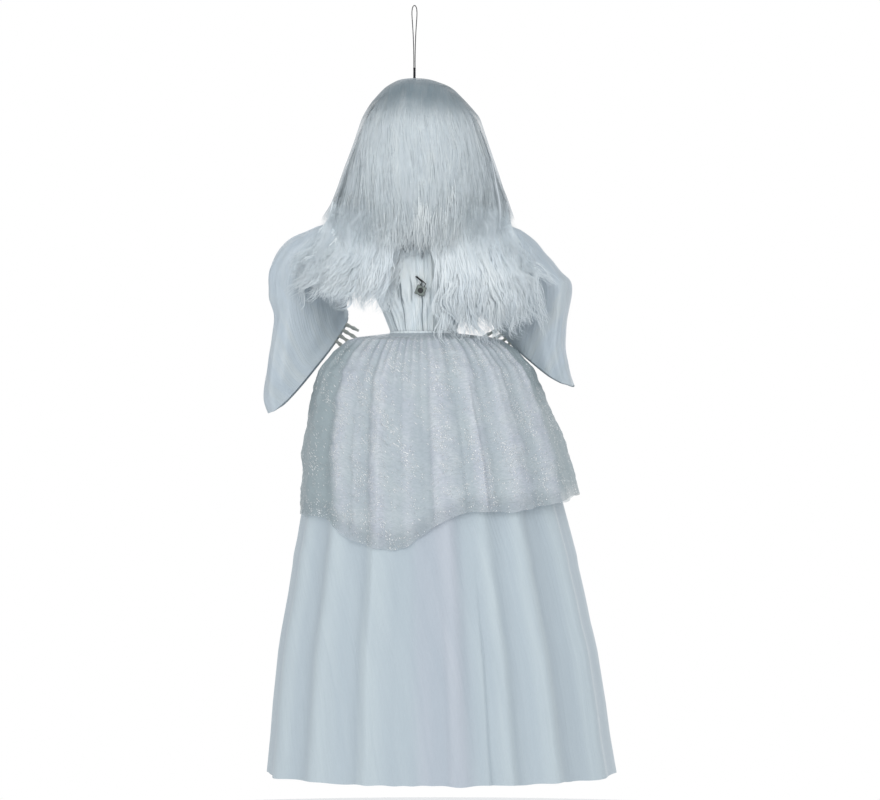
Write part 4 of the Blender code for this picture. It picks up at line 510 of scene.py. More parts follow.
@dataclass(frozen=True)
class BoneFinish(Finish):
    """Moulded bone-coloured plastic with a darker wash in its low places.

    Attributes:
        label: The material's name.
        colour: Its main colour.
        wash: The wash's colour.
        roughness: Its mean roughness.
    """

    label: str = "bone"
    colour: Colour = linear(208, 210, 202)
    wash: Colour = linear(154, 154, 142)
    roughness: float = 0.52

    def wire(self, graph: Graph, shader: bpy.types.Node) -> None:
        """Set and feed the shader's sockets.

        Args:
            graph: The material's graph.
            shader: Its Principled node.
        """
        place = graph.solid_place()
        patches = graph.mottle(place, 90.0)
        grain = graph.mottle(place, 900.0)
        hollow = graph.add("ShaderNodeAmbientOcclusion", {"samples": 4, "only_local": True}, Distance=0.004)
        worn = graph.spread(hollow.outputs["AO"], 0.95, 0.35)
        amount = graph.times(worn, graph.spread(patches, 0.30, 0.60, 0.45, 1.0))
        speckled = graph.blend(graph.spread(patches, 0.55, 0.75, 0.0, 0.35), self.colour, self.wash)
        graph.fill(shader, Base_Color=graph.blend(amount, speckled, self.wash),
                   Roughness=graph.spread(patches, 0.3, 0.7, self.roughness - 0.08, self.roughness + 0.12),
                   Subsurface_Weight=0.05, Subsurface_Radius=(0.004, 0.003, 0.002))
        bump(graph, shader, graph.math("ADD", grain, graph.times(patches, 2.0)), 0.0003)


@dataclass(frozen=True)
class HairFinish(Finish):
    """Soft synthetic hair, each strand with a tone of its own.

    Attributes:
        label: The material's name.
        root: Colour of the darkest strands.
        tip: Colour of the lightest strands.
        shade: Colour between the threads of a strand.
        roughness: Its mean roughness.
        depth: How strongly the shade shows.
    """

    label: str = "hair"
    root: Colour = linear(216, 226, 233)
    tip: Colour = linear(243, 248, 247)
    shade: Colour = linear(196, 207, 215)
    roughness: float = 0.58
    depth: float = 0.45

    def wire(self, graph: Graph, shader: bpy.types.Node) -> None:
        """Set and feed the shader's sockets.

        Args:
            graph: The material's graph.
            shader: Its Principled node.
        """
        threads = graph.streaks(graph.cloth_place(), 0.0011, 0.040)
        lit = graph.blend(graph.mask("tone"), self.root, self.tip)
        dark = graph.times(graph.spread(threads, 0.55, 0.05), self.depth)
        graph.fill(shader, Base_Color=graph.blend(dark, lit, self.shade),
                   Roughness=graph.spread(threads, 0.0, 1.0, self.roughness + 0.1, self.roughness - 0.1),
                   Sheen_Weight=0.25, Sheen_Roughness=0.4)
        bump(graph, shader, threads, 0.0004, 0.7)


@dataclass(frozen=True)
class NetFinish(Finish):
    """Fine sheer net whose threads hide a good part of what lies under it.

    Attributes:
        label: The material's name.
        colour: Its main colour.
        light: Colour of its gathers and its hem.
        folded: Colour of the painted shade over the crown, where the room between net and hair lies in
            shadow.
        thin: Colour where it is thinnest.
        cover: How much a single layer hides.
        pitch: Distance from thread to thread.
    """

    label: str = "net"
    colour: Colour = linear(190, 203, 210)
    light: Colour = linear(222, 230, 235)
    folded: Colour = linear(126, 142, 150)
    thin: Colour = linear(158, 172, 180)
    cover: float = 0.38
    pitch: float = 0.0011

    def wire(self, graph: Graph, shader: bpy.types.Node) -> None:
        """Set and feed the shader's sockets.

        Args:
            graph: The material's graph.
            shader: Its Principled node.
        """
        place = graph.cloth_place()
        dense = graph.mask("dense")
        threads = graph.group(Effects.weave(), Vector=place, Pitch=self.pitch)
        gathers = graph.streaks(place, 0.006, 0.110)
        wisps = graph.mottle(graph.stretch(place, (1.0, 0.55, 1.0), 0.35), 34.0)
        hidden = graph.math("MULTIPLY_ADD", dense, 1.0 - self.cover, self.cover)
        hole = graph.times(threads.outputs["Hole"], 0.30)
        uneven = graph.math("ADD", graph.times(gathers, 0.30), graph.times(wisps, 1.10))
        fuller = graph.math("SUBTRACT", uneven, 0.70)
        alpha = graph.math("SUBTRACT", graph.math("ADD", hidden, fuller), hole)
        seen = graph.math("MINIMUM", graph.math("MAXIMUM", alpha, 0.16), 1.0)
        kept = graph.math("SUBTRACT", 1.0, graph.mask("worn"))
        combed = graph.blend(graph.times(gathers, 0.6), self.colour, self.light)
        dim = graph.blend(graph.spread(wisps, 0.49, 0.37, 0.0, 0.55), combed, self.thin)
        toned = graph.blend(graph.spread(wisps, 0.52, 0.66, 0.0, 0.60), dim, self.light)
        hemmed = graph.blend(graph.spread(dense, 0.35, 1.0), toned, self.light)
        # The crown takes painted shade.
        graph.fill(shader, Base_Color=graph.blend(graph.mask("crown"), hemmed, self.folded),
                   Alpha=graph.times(seen, kept), Roughness=0.8, Sheen_Weight=0.2)
        bump(graph, shader, threads.outputs["Height"], 0.0002, 0.6)


@dataclass(frozen=True)
class SatinFinish(Finish):
    """Crushed satin: fine weave, long soft streaks, a low sheen and painted shadow lines along its sharp
    gathers.

    Attributes:
        label: The material's name.
        colour: Its main colour.
        shade: Colour of its streaks and valleys.
        warm: Colour of its warmer patches.
        valley: How strongly the valleys take the shade.
        pitch: Distance from thread to thread.
        roughness: Its mean roughness.
        seam: Colour of the painted shadow lines along the sharp gathers and the closed opening.
    """

    label: str = "satin"
    colour: Colour = linear(248, 254, 255)
    shade: Colour = linear(206, 220, 228)
    warm: Colour = linear(248, 252, 248)
    valley: float = 0.45
    pitch: float = 0.0007
    roughness: float = 0.50
    seam: Colour = linear(112, 122, 130)

    def wire(self, graph: Graph, shader: bpy.types.Node) -> None:
        """Set and feed the shader's sockets.

        Args:
            graph: The material's graph.
            shader: Its Principled node.
        """
        place = graph.cloth_place()
        threads = graph.group(Effects.weave(), Vector=place, Pitch=self.pitch).outputs["Height"]
        crush = graph.streaks(place, 0.010, 0.060)
        fine = graph.streaks(place, 0.0022, 0.030)
        patches = graph.mottle(place, 26.0)
        base = graph.blend(graph.spread(patches, 0.4, 0.65, 0.0, 0.7), self.colour, self.warm)
        crushed = graph.blend(graph.times(crush, 0.30), base, self.shade)
        combed = graph.blend(graph.times(fine, 0.16), crushed, self.shade)
        low = graph.blend(graph.times(graph.mask("valley"), self.valley), combed, self.shade)
        # Painted shadow lines along the sharp gathers and the closed opening.
        graph.fill(shader, Base_Color=graph.blend(graph.times(graph.mask("line"), 0.9), low, self.seam),
                   Roughness=graph.spread(crush, 0.0, 1.0, self.roughness - 0.08, self.roughness + 0.12),
                   Sheen_Weight=0.15)
        height = graph.math("ADD", graph.times(threads, 0.25), graph.times(fine, 1.0))
        bump(graph, shader, graph.math("ADD", height, crush), 0.0005, 0.8)


@dataclass(frozen=True)
class OrganzaFinish(Finish):
    """Crinkled organza strewn with fine bright flecks, darker at both sides, with painted shade in its
    hollows and a painted glint on its flecks.

    Attributes:
        label: The material's name.
        colour: Its main colour.
        panel: Colour that it darkens to at both sides, also its painted shade in crinkles and fold valleys.
        fleck: Colour of its glitter flecks, lightened to near-white as a painted glint.
        violet: Colour of its cooler patches.
    """

    label: str = "organza"
    colour: Colour = linear(212, 218, 223)
    panel: Colour = linear(170, 184, 188)
    fleck: Colour = linear(250, 252, 252)
    violet: Colour = linear(196, 201, 214)

    def wire(self, graph: Graph, shader: bpy.types.Node) -> None:
        """Set and feed the shader's sockets.

        Args:
            graph: The material's graph.
            shader: Its Principled node.
        """
        place = graph.cloth_place()
        side = graph.mask("panel")
        patches = graph.mottle(place, 34.0)
        crinkle = graph.add("ShaderNodeTexNoise", Vector=graph.stretch(place, (150.0, 520.0, 1.0)), Scale=1.0,
                            Detail=3.0, Roughness=0.6).outputs["Fac"]
        base = graph.blend(graph.spread(patches, 0.35, 0.65, 0.0, 0.65), self.colour, self.violet)
        # Painted shade in the crinkles' hollows and in the folds' valleys; then darker at both sides.
        dim = graph.blend(graph.spread(crinkle, 0.62, 0.38, 0.0, 0.42), base, self.panel)
        low = graph.blend(graph.times(graph.mask("valley"), 0.55), dim, self.panel)
        toned = graph.blend(side, low, self.panel)
        clusters = graph.mottle(graph.stretch(place, (1.0, 0.45, 1.0)), 46.0)
        plain = graph.math("SUBTRACT", 1.0, graph.times(graph.mask("smooth"), 0.85))
        strewn = graph.times(graph.spread(clusters, 0.46, 0.60, 0.10, 1.0), plain)
        flecks = graph.group(Effects.glitter(), Vector=place, Pitch=0.0023, Share=strewn)
        tone = graph.spread(flecks.outputs["Tone"], 0.0, 1.0, 0.30, 1.0)
        bright = graph.times(flecks.outputs["Mask"], tone)
        closed = graph.spread(graph.math("SUBTRACT", side, bright), -0.5, 1.0, 1.0, 0.84)
        thin = graph.times(graph.mask("sheer"), graph.spread(bright, 0.0, 1.0, 0.42, 0.10))
        # The glitter flecks are real; their near-white colour is a painted glint.
        graph.fill(shader, Base_Color=graph.blend(bright, toned, self.fleck),
                   Roughness=graph.spread(bright, 0.0, 1.0, 0.55, 0.22),
                   Alpha=graph.times(closed, graph.math("SUBTRACT", 1.0, thin)))
        height = graph.math("ADD", crinkle, graph.times(flecks.outputs["Mask"], 0.5))
        bump(graph, shader, height, 0.0011, 1.0)


@dataclass(frozen=True)
class VoileFinish(Finish):
    """Soft voile over its lining, with long faint stripes of light and shade.

    Attributes:
        label: The material's name.
        colour: Its main colour.
        shade: Colour of its stripes and valleys.
        violet: Colour of its cooler strip.
    """

    label: str = "voile"
    colour: Colour = linear(197, 209, 214)
    shade: Colour = linear(172, 185, 195)
    violet: Colour = linear(193, 200, 209)

    def wire(self, graph: Graph, shader: bpy.types.Node) -> None:
        """Set and feed the shader's sockets.

        Args:
            graph: The material's graph.
            shader: Its Principled node.
        """
        place = graph.cloth_place()
        threads = graph.group(Effects.weave(), Vector=place, Pitch=0.0008).outputs["Height"]
        stripes = graph.streaks(place, 0.020, 0.60)
        fine = graph.streaks(place, 0.0030, 0.20)
        base = graph.blend(graph.mask("tint"), self.colour, self.violet)
        striped = graph.blend(graph.times(stripes, 0.28), base, self.shade)
        combed = graph.blend(graph.times(fine, 0.10), striped, self.shade)
        low = graph.times(graph.mask("valley"), 0.40)
        graph.fill(shader, Base_Color=graph.blend(low, combed, self.shade),
                   Roughness=graph.spread(stripes, 0.0, 1.0, 0.60, 0.75), Sheen_Weight=0.20)
        bump(graph, shader, graph.math("ADD", graph.times(threads, 0.3), fine), 0.0004, 0.6)


@dataclass(frozen=True)
class PlasticFinish(Finish):
    """Moulded plastic with a fine grain.

    Attributes:
        label: The material's name.
        colour: Its main colour.
        scuff: Colour of its scuffs.
        roughness: Its mean roughness.
    """

    label: str = "black_plastic"
    colour: Colour = linear(34, 36, 38)
    scuff: Colour = linear(84, 88, 90)
    roughness: float = 0.42

    def wire(self, graph: Graph, shader: bpy.types.Node) -> None:
        """Set and feed the shader's sockets.

        Args:
            graph: The material's graph.
            shader: Its Principled node.
        """
        place = graph.solid_place()
        grain = graph.mottle(place, 1600.0)
        scuffs = graph.mottle(place, 260.0)
        worn = graph.spread(scuffs, 0.58, 0.74, 0.0, 0.5)
        graph.fill(shader, Base_Color=graph.blend(worn, self.colour, self.scuff),
                   Roughness=graph.spread(scuffs, 0.3, 0.7, self.roughness - 0.06, self.roughness + 0.16))
        bump(graph, shader, grain, 0.0001, 0.6)


@dataclass(frozen=True)
class MetalFinish(Finish):
    """Plated sheet metal, brushed and a little dull.

    Attributes:
        label: The material's name.
        colour: Its main colour.
        dull: Colour of its dull patches.
        roughness: Its mean roughness.
    """

    label: str = "steel"
    colour: Colour = linear(178, 182, 184)
    dull: Colour = linear(116, 120, 122)
    roughness: float = 0.34

    def wire(self, graph: Graph, shader: bpy.types.Node) -> None:
        """Set and feed the shader's sockets.

        Args:
            graph: The material's graph.
            shader: Its Principled node.
        """
        place = graph.solid_place()
        lines = graph.mottle(graph.stretch(place, (4000.0, 300.0, 300.0)), 1.0)
        patches = graph.mottle(place, 300.0)
        worn = graph.spread(patches, 0.45, 0.7, 0.0, 0.7)
        graph.fill(shader, Base_Color=graph.blend(worn, self.colour, self.dull), Metallic=1.0,
                   Roughness=graph.spread(lines, 0.3, 0.7, self.roughness - 0.08, self.roughness + 0.14))
        bump(graph, shader, lines, 0.00005, 0.5)


@dataclass(frozen=True)
class CordFinish(Finish):
    """Twisted thread: dark yarns with a dusty, slightly furred surface.

    Attributes:
        label: The material's name.
        colour: Its main colour.
        fuzz: Colour of its fur.
        roughness: Its lowest roughness.
    """

    label: str = "cord"
    colour: Colour = linear(30, 30, 33)
    fuzz: Colour = linear(78, 78, 82)
    roughness: float = 0.82

    def wire(self, graph: Graph, shader: bpy.types.Node) -> None:
        """Set and feed the shader's sockets.

        Args:
            graph: The material's graph.
            shader: Its Principled node.
        """
        place = graph.solid_place()
        fibres = graph.mottle(place, 2600.0)
        patches = graph.mottle(place, 320.0)
        amount = graph.times(graph.spread(fibres, 0.52, 0.72), graph.spread(patches, 0.3, 0.7, 0.4, 1.0))
        graph.fill(shader, Base_Color=graph.blend(amount, self.colour, self.fuzz),
                   Roughness=graph.spread(fibres, 0.3, 0.7, self.roughness, 0.95))
        bump(graph, shader, fibres, 0.0002, 0.8)


@dataclass(frozen=True)
class LampFinish(Finish):
    """Clear epoxy of a lamp bead, unlit, with a faint cloud inside.

    Attributes:
        label: The material's name.
        colour: Its main colour.
        cloud: Colour of the cloud.
    """

    label: str = "lamp"
    colour: Colour = linear(196, 208, 212)
    cloud: Colour = linear(150, 168, 176)

    def wire(self, graph: Graph, shader: bpy.types.Node) -> None:
        """Set and feed the shader's sockets.

        Args:
            graph: The material's graph.
            shader: Its Principled node.
        """
        haze = graph.mottle(graph.solid_place(), 420.0)
        graph.fill(shader, Base_Color=graph.blend(graph.spread(haze, 0.4, 0.7), self.colour, self.cloud),
                   Roughness=graph.spread(haze, 0.3, 0.7, 0.06, 0.18), Transmission_Weight=0.55,
                   Coat_Weight=0.4)


@dataclass(frozen=True)
class BoardFinish(Finish):
    """Green board with a finer weave and dull solder spots.

    Attributes:
        label: The material's name.
        colour: Its main colour.
        dark: Colour of its darker patches.
        solder: Colour of its solder spots.
    """

    label: str = "board"
    colour: Colour = linear(28, 92, 52)
    dark: Colour = linear(16, 58, 36)
    solder: Colour = linear(170, 172, 170)

    def wire(self, graph: Graph, shader: bpy.types.Node) -> None:
        """Set and feed the shader's sockets.

        Args:
            graph: The material's graph.
            shader: Its Principled node.
        """
        place = graph.solid_place()
        patches = graph.mottle(place, 700.0)
        spots = graph.group(Effects.glitter(), Vector=place, Pitch=0.0026, Share=0.30).outputs["Mask"]
        base = graph.blend(graph.spread(patches, 0.4, 0.6), self.colour, self.dark)
        graph.fill(shader, Base_Color=graph.blend(spots, base, self.solder), Metallic=spots,
                   Roughness=graph.spread(spots, 0.0, 1.0, 0.45, 0.30))
        bump(graph, shader, spots, 0.0003, 0.8)


@dataclass(frozen=True)
class Palette:
    """Every finish of the figure.

    Attributes:
        bone: The skeleton.
        tooth: The teeth.
        hair: The hair on the head.
        ends: The long locks.
        cap: The cap that the hair is sewn to.
        net: The veil.
        satin: The top of the dress and its band.
        sleeve: The sleeves.
        organza: The overskirt.
        voile: The underskirt.
        black: Black mouldings.
        lead: The leads' sleeving.
        cord: The hanging cord and its binding.
        steel: Cells and screw.
        plate: The switch's plate.
        lamp: The eye lamps.
        board: The circuit board.
    """

    bone: BoneFinish = BoneFinish()
    tooth: BoneFinish = BoneFinish("tooth", linear(214, 208, 190), linear(150, 134, 100), 0.34)
    hair: HairFinish = HairFinish()
    ends: HairFinish = HairFinish("hair_ends", linear(226, 237, 245), linear(240, 246, 247),
                                  linear(218, 228, 234), 0.62, 0.25)
    cap: VoileFinish = VoileFinish("cap_knit", linear(206, 214, 217), linear(164, 174, 180),
                                   linear(190, 200, 206))
    net: NetFinish = NetFinish()
    satin: SatinFinish = SatinFinish()
    sleeve: SatinFinish = SatinFinish("sleeve_satin", linear(208, 218, 225), linear(170, 184, 194),
                                      linear(214, 220, 219))
    organza: OrganzaFinish = OrganzaFinish()
    voile: VoileFinish = VoileFinish()
    black: PlasticFinish = PlasticFinish()
    lead: PlasticFinish = PlasticFinish("lead_sleeving", linear(26, 27, 29), linear(62, 64, 66), 0.50)
    cord: CordFinish = CordFinish()
    steel: MetalFinish = MetalFinish()
    plate: MetalFinish = MetalFinish("switch_plate", linear(126, 134, 130), linear(84, 90, 88), 0.46)
    lamp: LampFinish = LampFinish()
    board: BoardFinish = BoardFinish()


PALETTE = Palette()


# Making pieces


def place_object(name: str, data: bpy.types.ID) -> bpy.types.Object:
    """Put an object into the scene.

    Args:
        name: The object's name.
        data: Its mesh, camera or lamp.

    Returns:
        The new object.
    """
    obj = bpy.data.objects.new(name, data)
    bpy.context.scene.collection.objects.link(obj)
    return obj


def piece_from(name: str, points: np.ndarray, faces: list[tuple[int, ...]]) -> bpy.types.Object:
    """Make a smooth object from points and faces, placed by its mesh.

    Args:
        name: The object's name.
        points: One point a row.
        faces: Corner numbers of each face, outward.

    Returns:
        The new object.
    """
    mesh = bpy.data.meshes.new(name)
    mesh.from_pydata([tuple(p) for p in points], [], faces)
    mesh.update()
    mesh.shade_smooth()
    return place_object(name, mesh)


def lay_uv(mesh: bpy.types.Mesh, places: Sequence) -> None:
    """Write a mesh's UV map.

    Args:
        mesh: The mesh.
        places: Both places of each corner, in the faces' order.
    """
    mesh.uv_layers.new(name="UVMap").data.foreach_set("uv", np.array(places, np.float32).ravel())


def hold(mesh: bpy.types.Mesh, name: str, values: np.ndarray) -> None:
    """Give each point of a mesh a value that finishes can read.

    Args:
        mesh: The mesh.
        name: The value's name.
        values: One value a point.
    """
    attribute = mesh.attributes.new(name, "FLOAT", "POINT")
    attribute.data.foreach_set("value", np.ascontiguousarray(values, np.float32).ravel())


@dataclass
class Grid:
    """A sheet of cloth as rows of points, first row on top, going round to the left and back.

    Attributes:
        name: Name of the piece.
        points: Array of rows by columns by 3.
        closed: Whether the last column joins the first.
        masks: Values from 0 to 1 for each point, by attribute name.
    """

    name: str
    points: np.ndarray
    closed: bool
    masks: dict[str, np.ndarray]

    def build(self) -> bpy.types.Object:
        """Make the sheet with its true-length UV map and its masks.

        Returns:
            The new object.
        """
        rows, columns, _ = self.points.shape
        span = columns if self.closed else columns - 1
        faces = []
        for i in range(rows - 1):
            for j in range(span):
                k = (j + 1) % columns
                faces.append((i * columns + j, (i + 1) * columns + j, (i + 1) * columns + k, i * columns + k))
        obj = piece_from(self.name, self.points.reshape(-1, 3), faces)
        lay_uv(obj.data, self.places(span))
        for name, values in self.masks.items():
            hold(obj.data, name, values)
        return obj

    def joined(self) -> np.ndarray:
        """Carry a closed sheet's rows on to their own start.

        Returns:
            The points, with the first column again at the end of a closed sheet.
        """
        return np.concatenate([self.points, self.points[:, :1]], axis=1) if self.closed else self.points

    def places(self, span: int) -> list[float]:
        """Measure where each face's corners lie along the cloth.

        Args:
            span: How many faces each row has.

        Returns:
            Both places of each corner, in metres.
        """
        rows, columns, _ = self.points.shape
        across = np.linalg.norm(np.diff(self.joined(), axis=1), axis=2)
        u = np.concatenate([np.zeros((rows, 1)), np.cumsum(across, axis=1)], axis=1)
        u -= u[:, columns // 2:columns // 2 + 1]
        down = np.linalg.norm(np.diff(self.points, axis=0), axis=2)
        v = np.concatenate([np.zeros((1, columns)), np.cumsum(down, axis=0)], axis=0)
        v = np.concatenate([v, v[:, :1]], axis=1)
        places = []
        for i in range(rows - 1):
            for j in range(span):
                for a, b in ((i, j), (i + 1, j), (i + 1, j + 1), (i, j + 1)):
                    places += [u[a, b], v[a, b]]
        return places

    def size(self) -> tuple[float, float]:
        """Measure the cloth as it is sewn.

        Returns:
            Its greatest width and its mean length, in metres.
        """
        across = np.linalg.norm(np.diff(self.joined(), axis=1), axis=2).sum(axis=1)
        down = np.linalg.norm(np.diff(self.points, axis=0), axis=2).sum(axis=0)
        return float(across.max()), float(down.mean())

    def hang(self, finish: Finish, node: str | None,
             layers: int = 1) -> bpy.types.Object:
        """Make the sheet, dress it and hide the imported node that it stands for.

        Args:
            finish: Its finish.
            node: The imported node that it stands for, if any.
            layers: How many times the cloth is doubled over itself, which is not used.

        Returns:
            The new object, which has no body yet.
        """
        obj = self.build()
        finish.dress(obj)
        if node:
            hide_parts(node)
        width, length = self.size()
        length *= layers
        return obj


def level(angle: float) -> Vector:
    """Give the level direction at an angle.

    Args:
        angle: The angle from the left side round the back, in radians.

    Returns:
        The unit direction.
    """
    return Vector((math.cos(angle), math.sin(angle), 0.0))


def upward(angle: float, rise: float) -> Vector:
    """Give the direction at an angle and a rise over the level.

    Args:
        angle: The angle from the left side round the back, in radians.
        rise: The rise in radians.

    Returns:
        The unit direction.
    """
    return Vector((math.cos(angle) * math.cos(rise), math.sin(angle) * math.cos(rise), math.sin(rise)))


def around(count: int) -> np.ndarray:
    """Space angles evenly round the figure.

    Args:
        count: How many there are.

    Returns:
        The angles in radians.
    """
    return 2.0 * math.pi * np.arange(count) / count


class Solid:
    """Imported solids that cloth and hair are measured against."""

    # Distance of a point that is surely outside, in metres.
    outside = 0.5

    def __init__(self, *nodes: str) -> None:
        """Read the solids' meshes.

        Args:
            nodes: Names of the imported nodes.
        """
        points = []
        faces = []
        for node in nodes:
            mesh = frame["nodes"][node].data
            start = len(points)
            points += [v.co.copy() for v in mesh.vertices]
            faces += [tuple(start + i for i in p.vertices) for p in mesh.polygons]
        self.tree = BVHTree.FromPolygons(points, faces)
        boxes = [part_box(node) for node in nodes]
        self.low = Vector(min(b[0][k] for b in boxes) for k in range(3))
        self.high = Vector(max(b[1][k] for b in boxes) for k in range(3))

    def reach(self, centre: Vector, direction: Vector, lacking: float | None = None) -> float | None:
        """Measure the distance from a centre to the farthest surface in a direction.

        Args:
            centre: Where the line starts.
            direction: Unit direction outward.
            lacking: What to give where the line meets nothing.

        Returns:
            The distance.
        """
        far = self.outside
        hit = self.tree.ray_cast(centre + direction * far, -direction, far)
        return lacking if hit[0] is None else far - hit[3]

    def ring(self, centre: Vector, angles: np.ndarray, width: float) -> np.ndarray:
        """Measure all round a centre, without the solid's facets.

        Args:
            centre: Where the lines start.
            angles: Their angles in radians.
            width: Half width of the smoothing, in steps of the row.

        Returns:
            The distance at each angle.
        """
        return soften_round(fill_round([self.reach(centre, level(angle)) for angle in angles]), width)

    def foot(self, centre: Callable[[float], Vector], way: Vector, high: float) -> float:
        """Find the lowest height at which the solid is met.

        Args:
            centre: Gives the place inside at a height.
            way: Unit direction outward.
            high: A height at which it is surely met.

        Returns:
            The height.
        """
        low = self.low.z - 0.001
        for _ in range(14):
            middle = (high + low) / 2.0
            if self.reach(centre(middle), way) is None:
                low = middle
            else:
                high = middle
        return high

    def back(self, x: float, z: float, lacking: float | None = None) -> float | None:
        """Find how far back the solid comes.

        Args:
            x: Sideways place.
            z: Height.
            lacking: What to give where there is nothing.

        Returns:
            The place along Y of its rear surface.
        """
        hit = self.tree.ray_cast(Vector((x, 0.3, z)), Vector((0.0, -1.0, 0.0)), 0.6)
        return lacking if hit[0] is None else hit[0].y


# Degrees from the left side round the back: where the search for a front edge starts, where it ends,
# and the edge where it finds none.
LEFT_EDGE = (-88.0, 30.0, -30.0)
RIGHT_EDGE = (268.0, 150.0, 210.0)


def front_edges(meets: Callable[[float], bool]) -> tuple[float, ...]:
    """Find both edges of an opening in front.

    Args:
        meets: Tells whether there is cloth or hair at an angle in degrees.

    Returns:
        Angles of the left and the right edge, in degrees from the left side round the back.
    """
    found = []
    for first, last, lacking in (LEFT_EDGE, RIGHT_EDGE):
        tries = np.arange(first, last, math.copysign(1.0, last - first))
        found.append(next((float(degree) for degree in tries if meets(float(degree))), lacking))
    return tuple(found)


def fill_round(values: list[float | None]) -> np.ndarray:
    """Fill the gaps of a closed row of numbers from their neighbours.

    Args:
        values: Numbers, with None where there is none.

    Returns:
        The full row.
    """
    known = [i for i, value in enumerate(values) if value is not None]
    if not known:
        raise ValueError("a row meets no solid")
    count = len(values)
    places = np.array([k - count for k in known] + known + [k + count for k in known])
    numbers = np.array([values[k] for k in known] * 3)
    return np.interp(np.arange(count), places, numbers)


def soften_round(values: np.ndarray, width: float) -> np.ndarray:
    """Smooth a closed row of numbers.

    Args:
        values: The row.
        width: Half width of the smoothing, in steps of the row.

    Returns:
        The smoothed row.
    """
    count = len(values)
    offsets = np.arange(count)
    offsets = np.minimum(offsets, count - offsets)
    weights = np.exp(-0.5 * (offsets / width) ** 2)
    weights /= weights.sum()
    return np.real(np.fft.ifft(np.fft.fft(values) * np.fft.fft(weights)))


def ripple(place: np.ndarray, seed: float) -> np.ndarray:
    """Smooth noise for an array of places.

    Args:
        place: Array of points, last axis 3.
        seed: Moves the noise, so that each piece has its own.

    Returns:
        Values from about -1 to 1.
    """
    flat = place.reshape(-1, 3)
    shift = Vector((seed, seed * 1.7, -seed))
    values = np.array([noise.noise(Vector(p) + shift) for p in flat])
    return values.reshape(place.shape[:-1])


# The photograph's view


# Name, place, side in metres and power in watts of each lamp.
LAMPS = (
    ("key", (-0.9, 3.2, 0.9), 2.2, 42.0),
    ("fill", (1.8, 2.6, -0.2), 2.2, 20.0),
    ("front_key", (0.9, -3.2, 0.9), 2.2, 34.0),
    ("front_fill", (-1.8, -2.6, -0.2), 2.2, 18.0),
)


@dataclass(frozen=True)
class Studio:
    """Camera, floor, backdrop and lamps.

    Attributes:
        distance: From the camera to the figure's middle plane.
        middle: What the picture's middle looks at.
        field: Width of the picture at the figure.
        floor_drop: How far the floor lies under the hem.
        floor_radius: Radius of the floor.
        floor_depth: Its thickness.
        floor_tone: Its grey.
        sky: Colour of the light from all round.
        sky_strength: Strength of that light.
        sensor: Width of the camera's sensor in millimetres.
    """

    distance: float = 4.0
    middle: tuple[float, float, float] = (-0.0323, 0.0, -0.4984)
    field: float = 1.113
    floor_drop: float = 0.20
    floor_radius: float = 1.35
    floor_depth: float = 0.02
    floor_tone: float = 0.86
    sky: Colour = (0.93, 0.96, 1.0)
    sky_strength: float = 0.60
    sensor: float = 36.0

    def camera(self) -> None:
        """Make the camera behind the figure, level with its middle."""
        data = bpy.data.cameras.new("camera")
        data.sensor_width = self.sensor
        data.lens = self.sensor * self.distance / self.field
        data.clip_end = 50.0
        camera = place_object("camera", data)
        x, y, z = self.middle
        camera.location = (x, y + self.distance, z)
        camera.rotation_euler = (math.radians(90.0), 0.0, math.radians(180.0))
        bpy.context.scene.camera = camera

    def lamp(self, name: str, place: tuple[float, float, float], width: float, power: float) -> None:
        """Add a square lamp that looks at the figure's middle.

        Args:
            name: The lamp's name.
            place: Where it stands.
            width: Length of its side.
            power: Its power in watts.
        """
        data = bpy.data.lights.new(name, "AREA")
        data.shape = "SQUARE"
        data.size = width
        data.energy = power
        lamp = place_object(name, data)
        lamp.location = place
        aim = Vector(self.middle) - Vector(place)
        lamp.rotation_euler = aim.to_track_quat("-Z", "Y").to_euler()

    def backdrop(self) -> None:
        """Make the world: soft grey light, and plain white where the camera sees past the figure."""
        world = bpy.data.worlds.new("backdrop")
        bpy.context.scene.world = world
        world.use_nodes = True
        tree = world.node_tree
        tree.nodes.clear()
        graph = Graph(tree)
        soft = graph.add("ShaderNodeBackground", Color=(*self.sky, 1.0), Strength=self.sky_strength)
        white = graph.add("ShaderNodeBackground", Color=(1.0, 1.0, 1.0, 1.0), Strength=1.0)
        seen = graph.add("ShaderNodeLightPath").outputs["Is Camera Ray"]
        mix = graph.add("ShaderNodeMixShader")
        for value, socket in zip((seen, soft.outputs[0], white.outputs[0]), mix.inputs):
            graph.feed(value, socket)
        graph.add("ShaderNodeOutputWorld", Surface=mix.outputs[0])

    def floor(self) -> None:
        """Lay a plain pale disc under the figure, which keeps its shadow."""
        bpy.ops.object.select_all(action="DESELECT")
        height = CAD_BOX[0].z - self.floor_drop
        bpy.ops.mesh.primitive_cylinder_add(vertices=96, radius=self.floor_radius, depth=self.floor_depth,
                                            location=(self.middle[0], 0.0, height - self.floor_depth / 2.0))
        floor = bpy.context.active_object
        floor.name = "floor"
        bpy.ops.object.transform_apply(location=True)
        made = bpy.data.materials.new("floor")
        made.use_nodes = True
        shader = made.node_tree.nodes["Principled BSDF"]
        tone = self.floor_tone
        Graph(made.node_tree).fill(shader, Base_Color=(tone, tone, tone, 1.0), Roughness=0.85)
        floor.data.materials.append(made)

    def clear(self) -> None:
        """Take away what a new Blender file holds before anything is made."""
        for name in ("Cube", "Light", "Camera"):
            if name in bpy.data.objects:
                bpy.data.objects.remove(bpy.data.objects[name])

    def build(self) -> None:
        """Make the camera, the floor, the backdrop and the lamps."""
        self.clear()
        self.camera()
        self.backdrop()
        self.floor()
        for lamp in LAMPS:
            self.lamp(*lamp)
        bpy.context.scene.view_settings.view_transform = "Standard"


# Cords


# Length of one turn of a twisted cord in diameters, its points, and a smooth cord's points in all.
LAY_PITCH = 3.2
POINTS_A_TURN = 7.0
SMOOTH_POINTS = 90


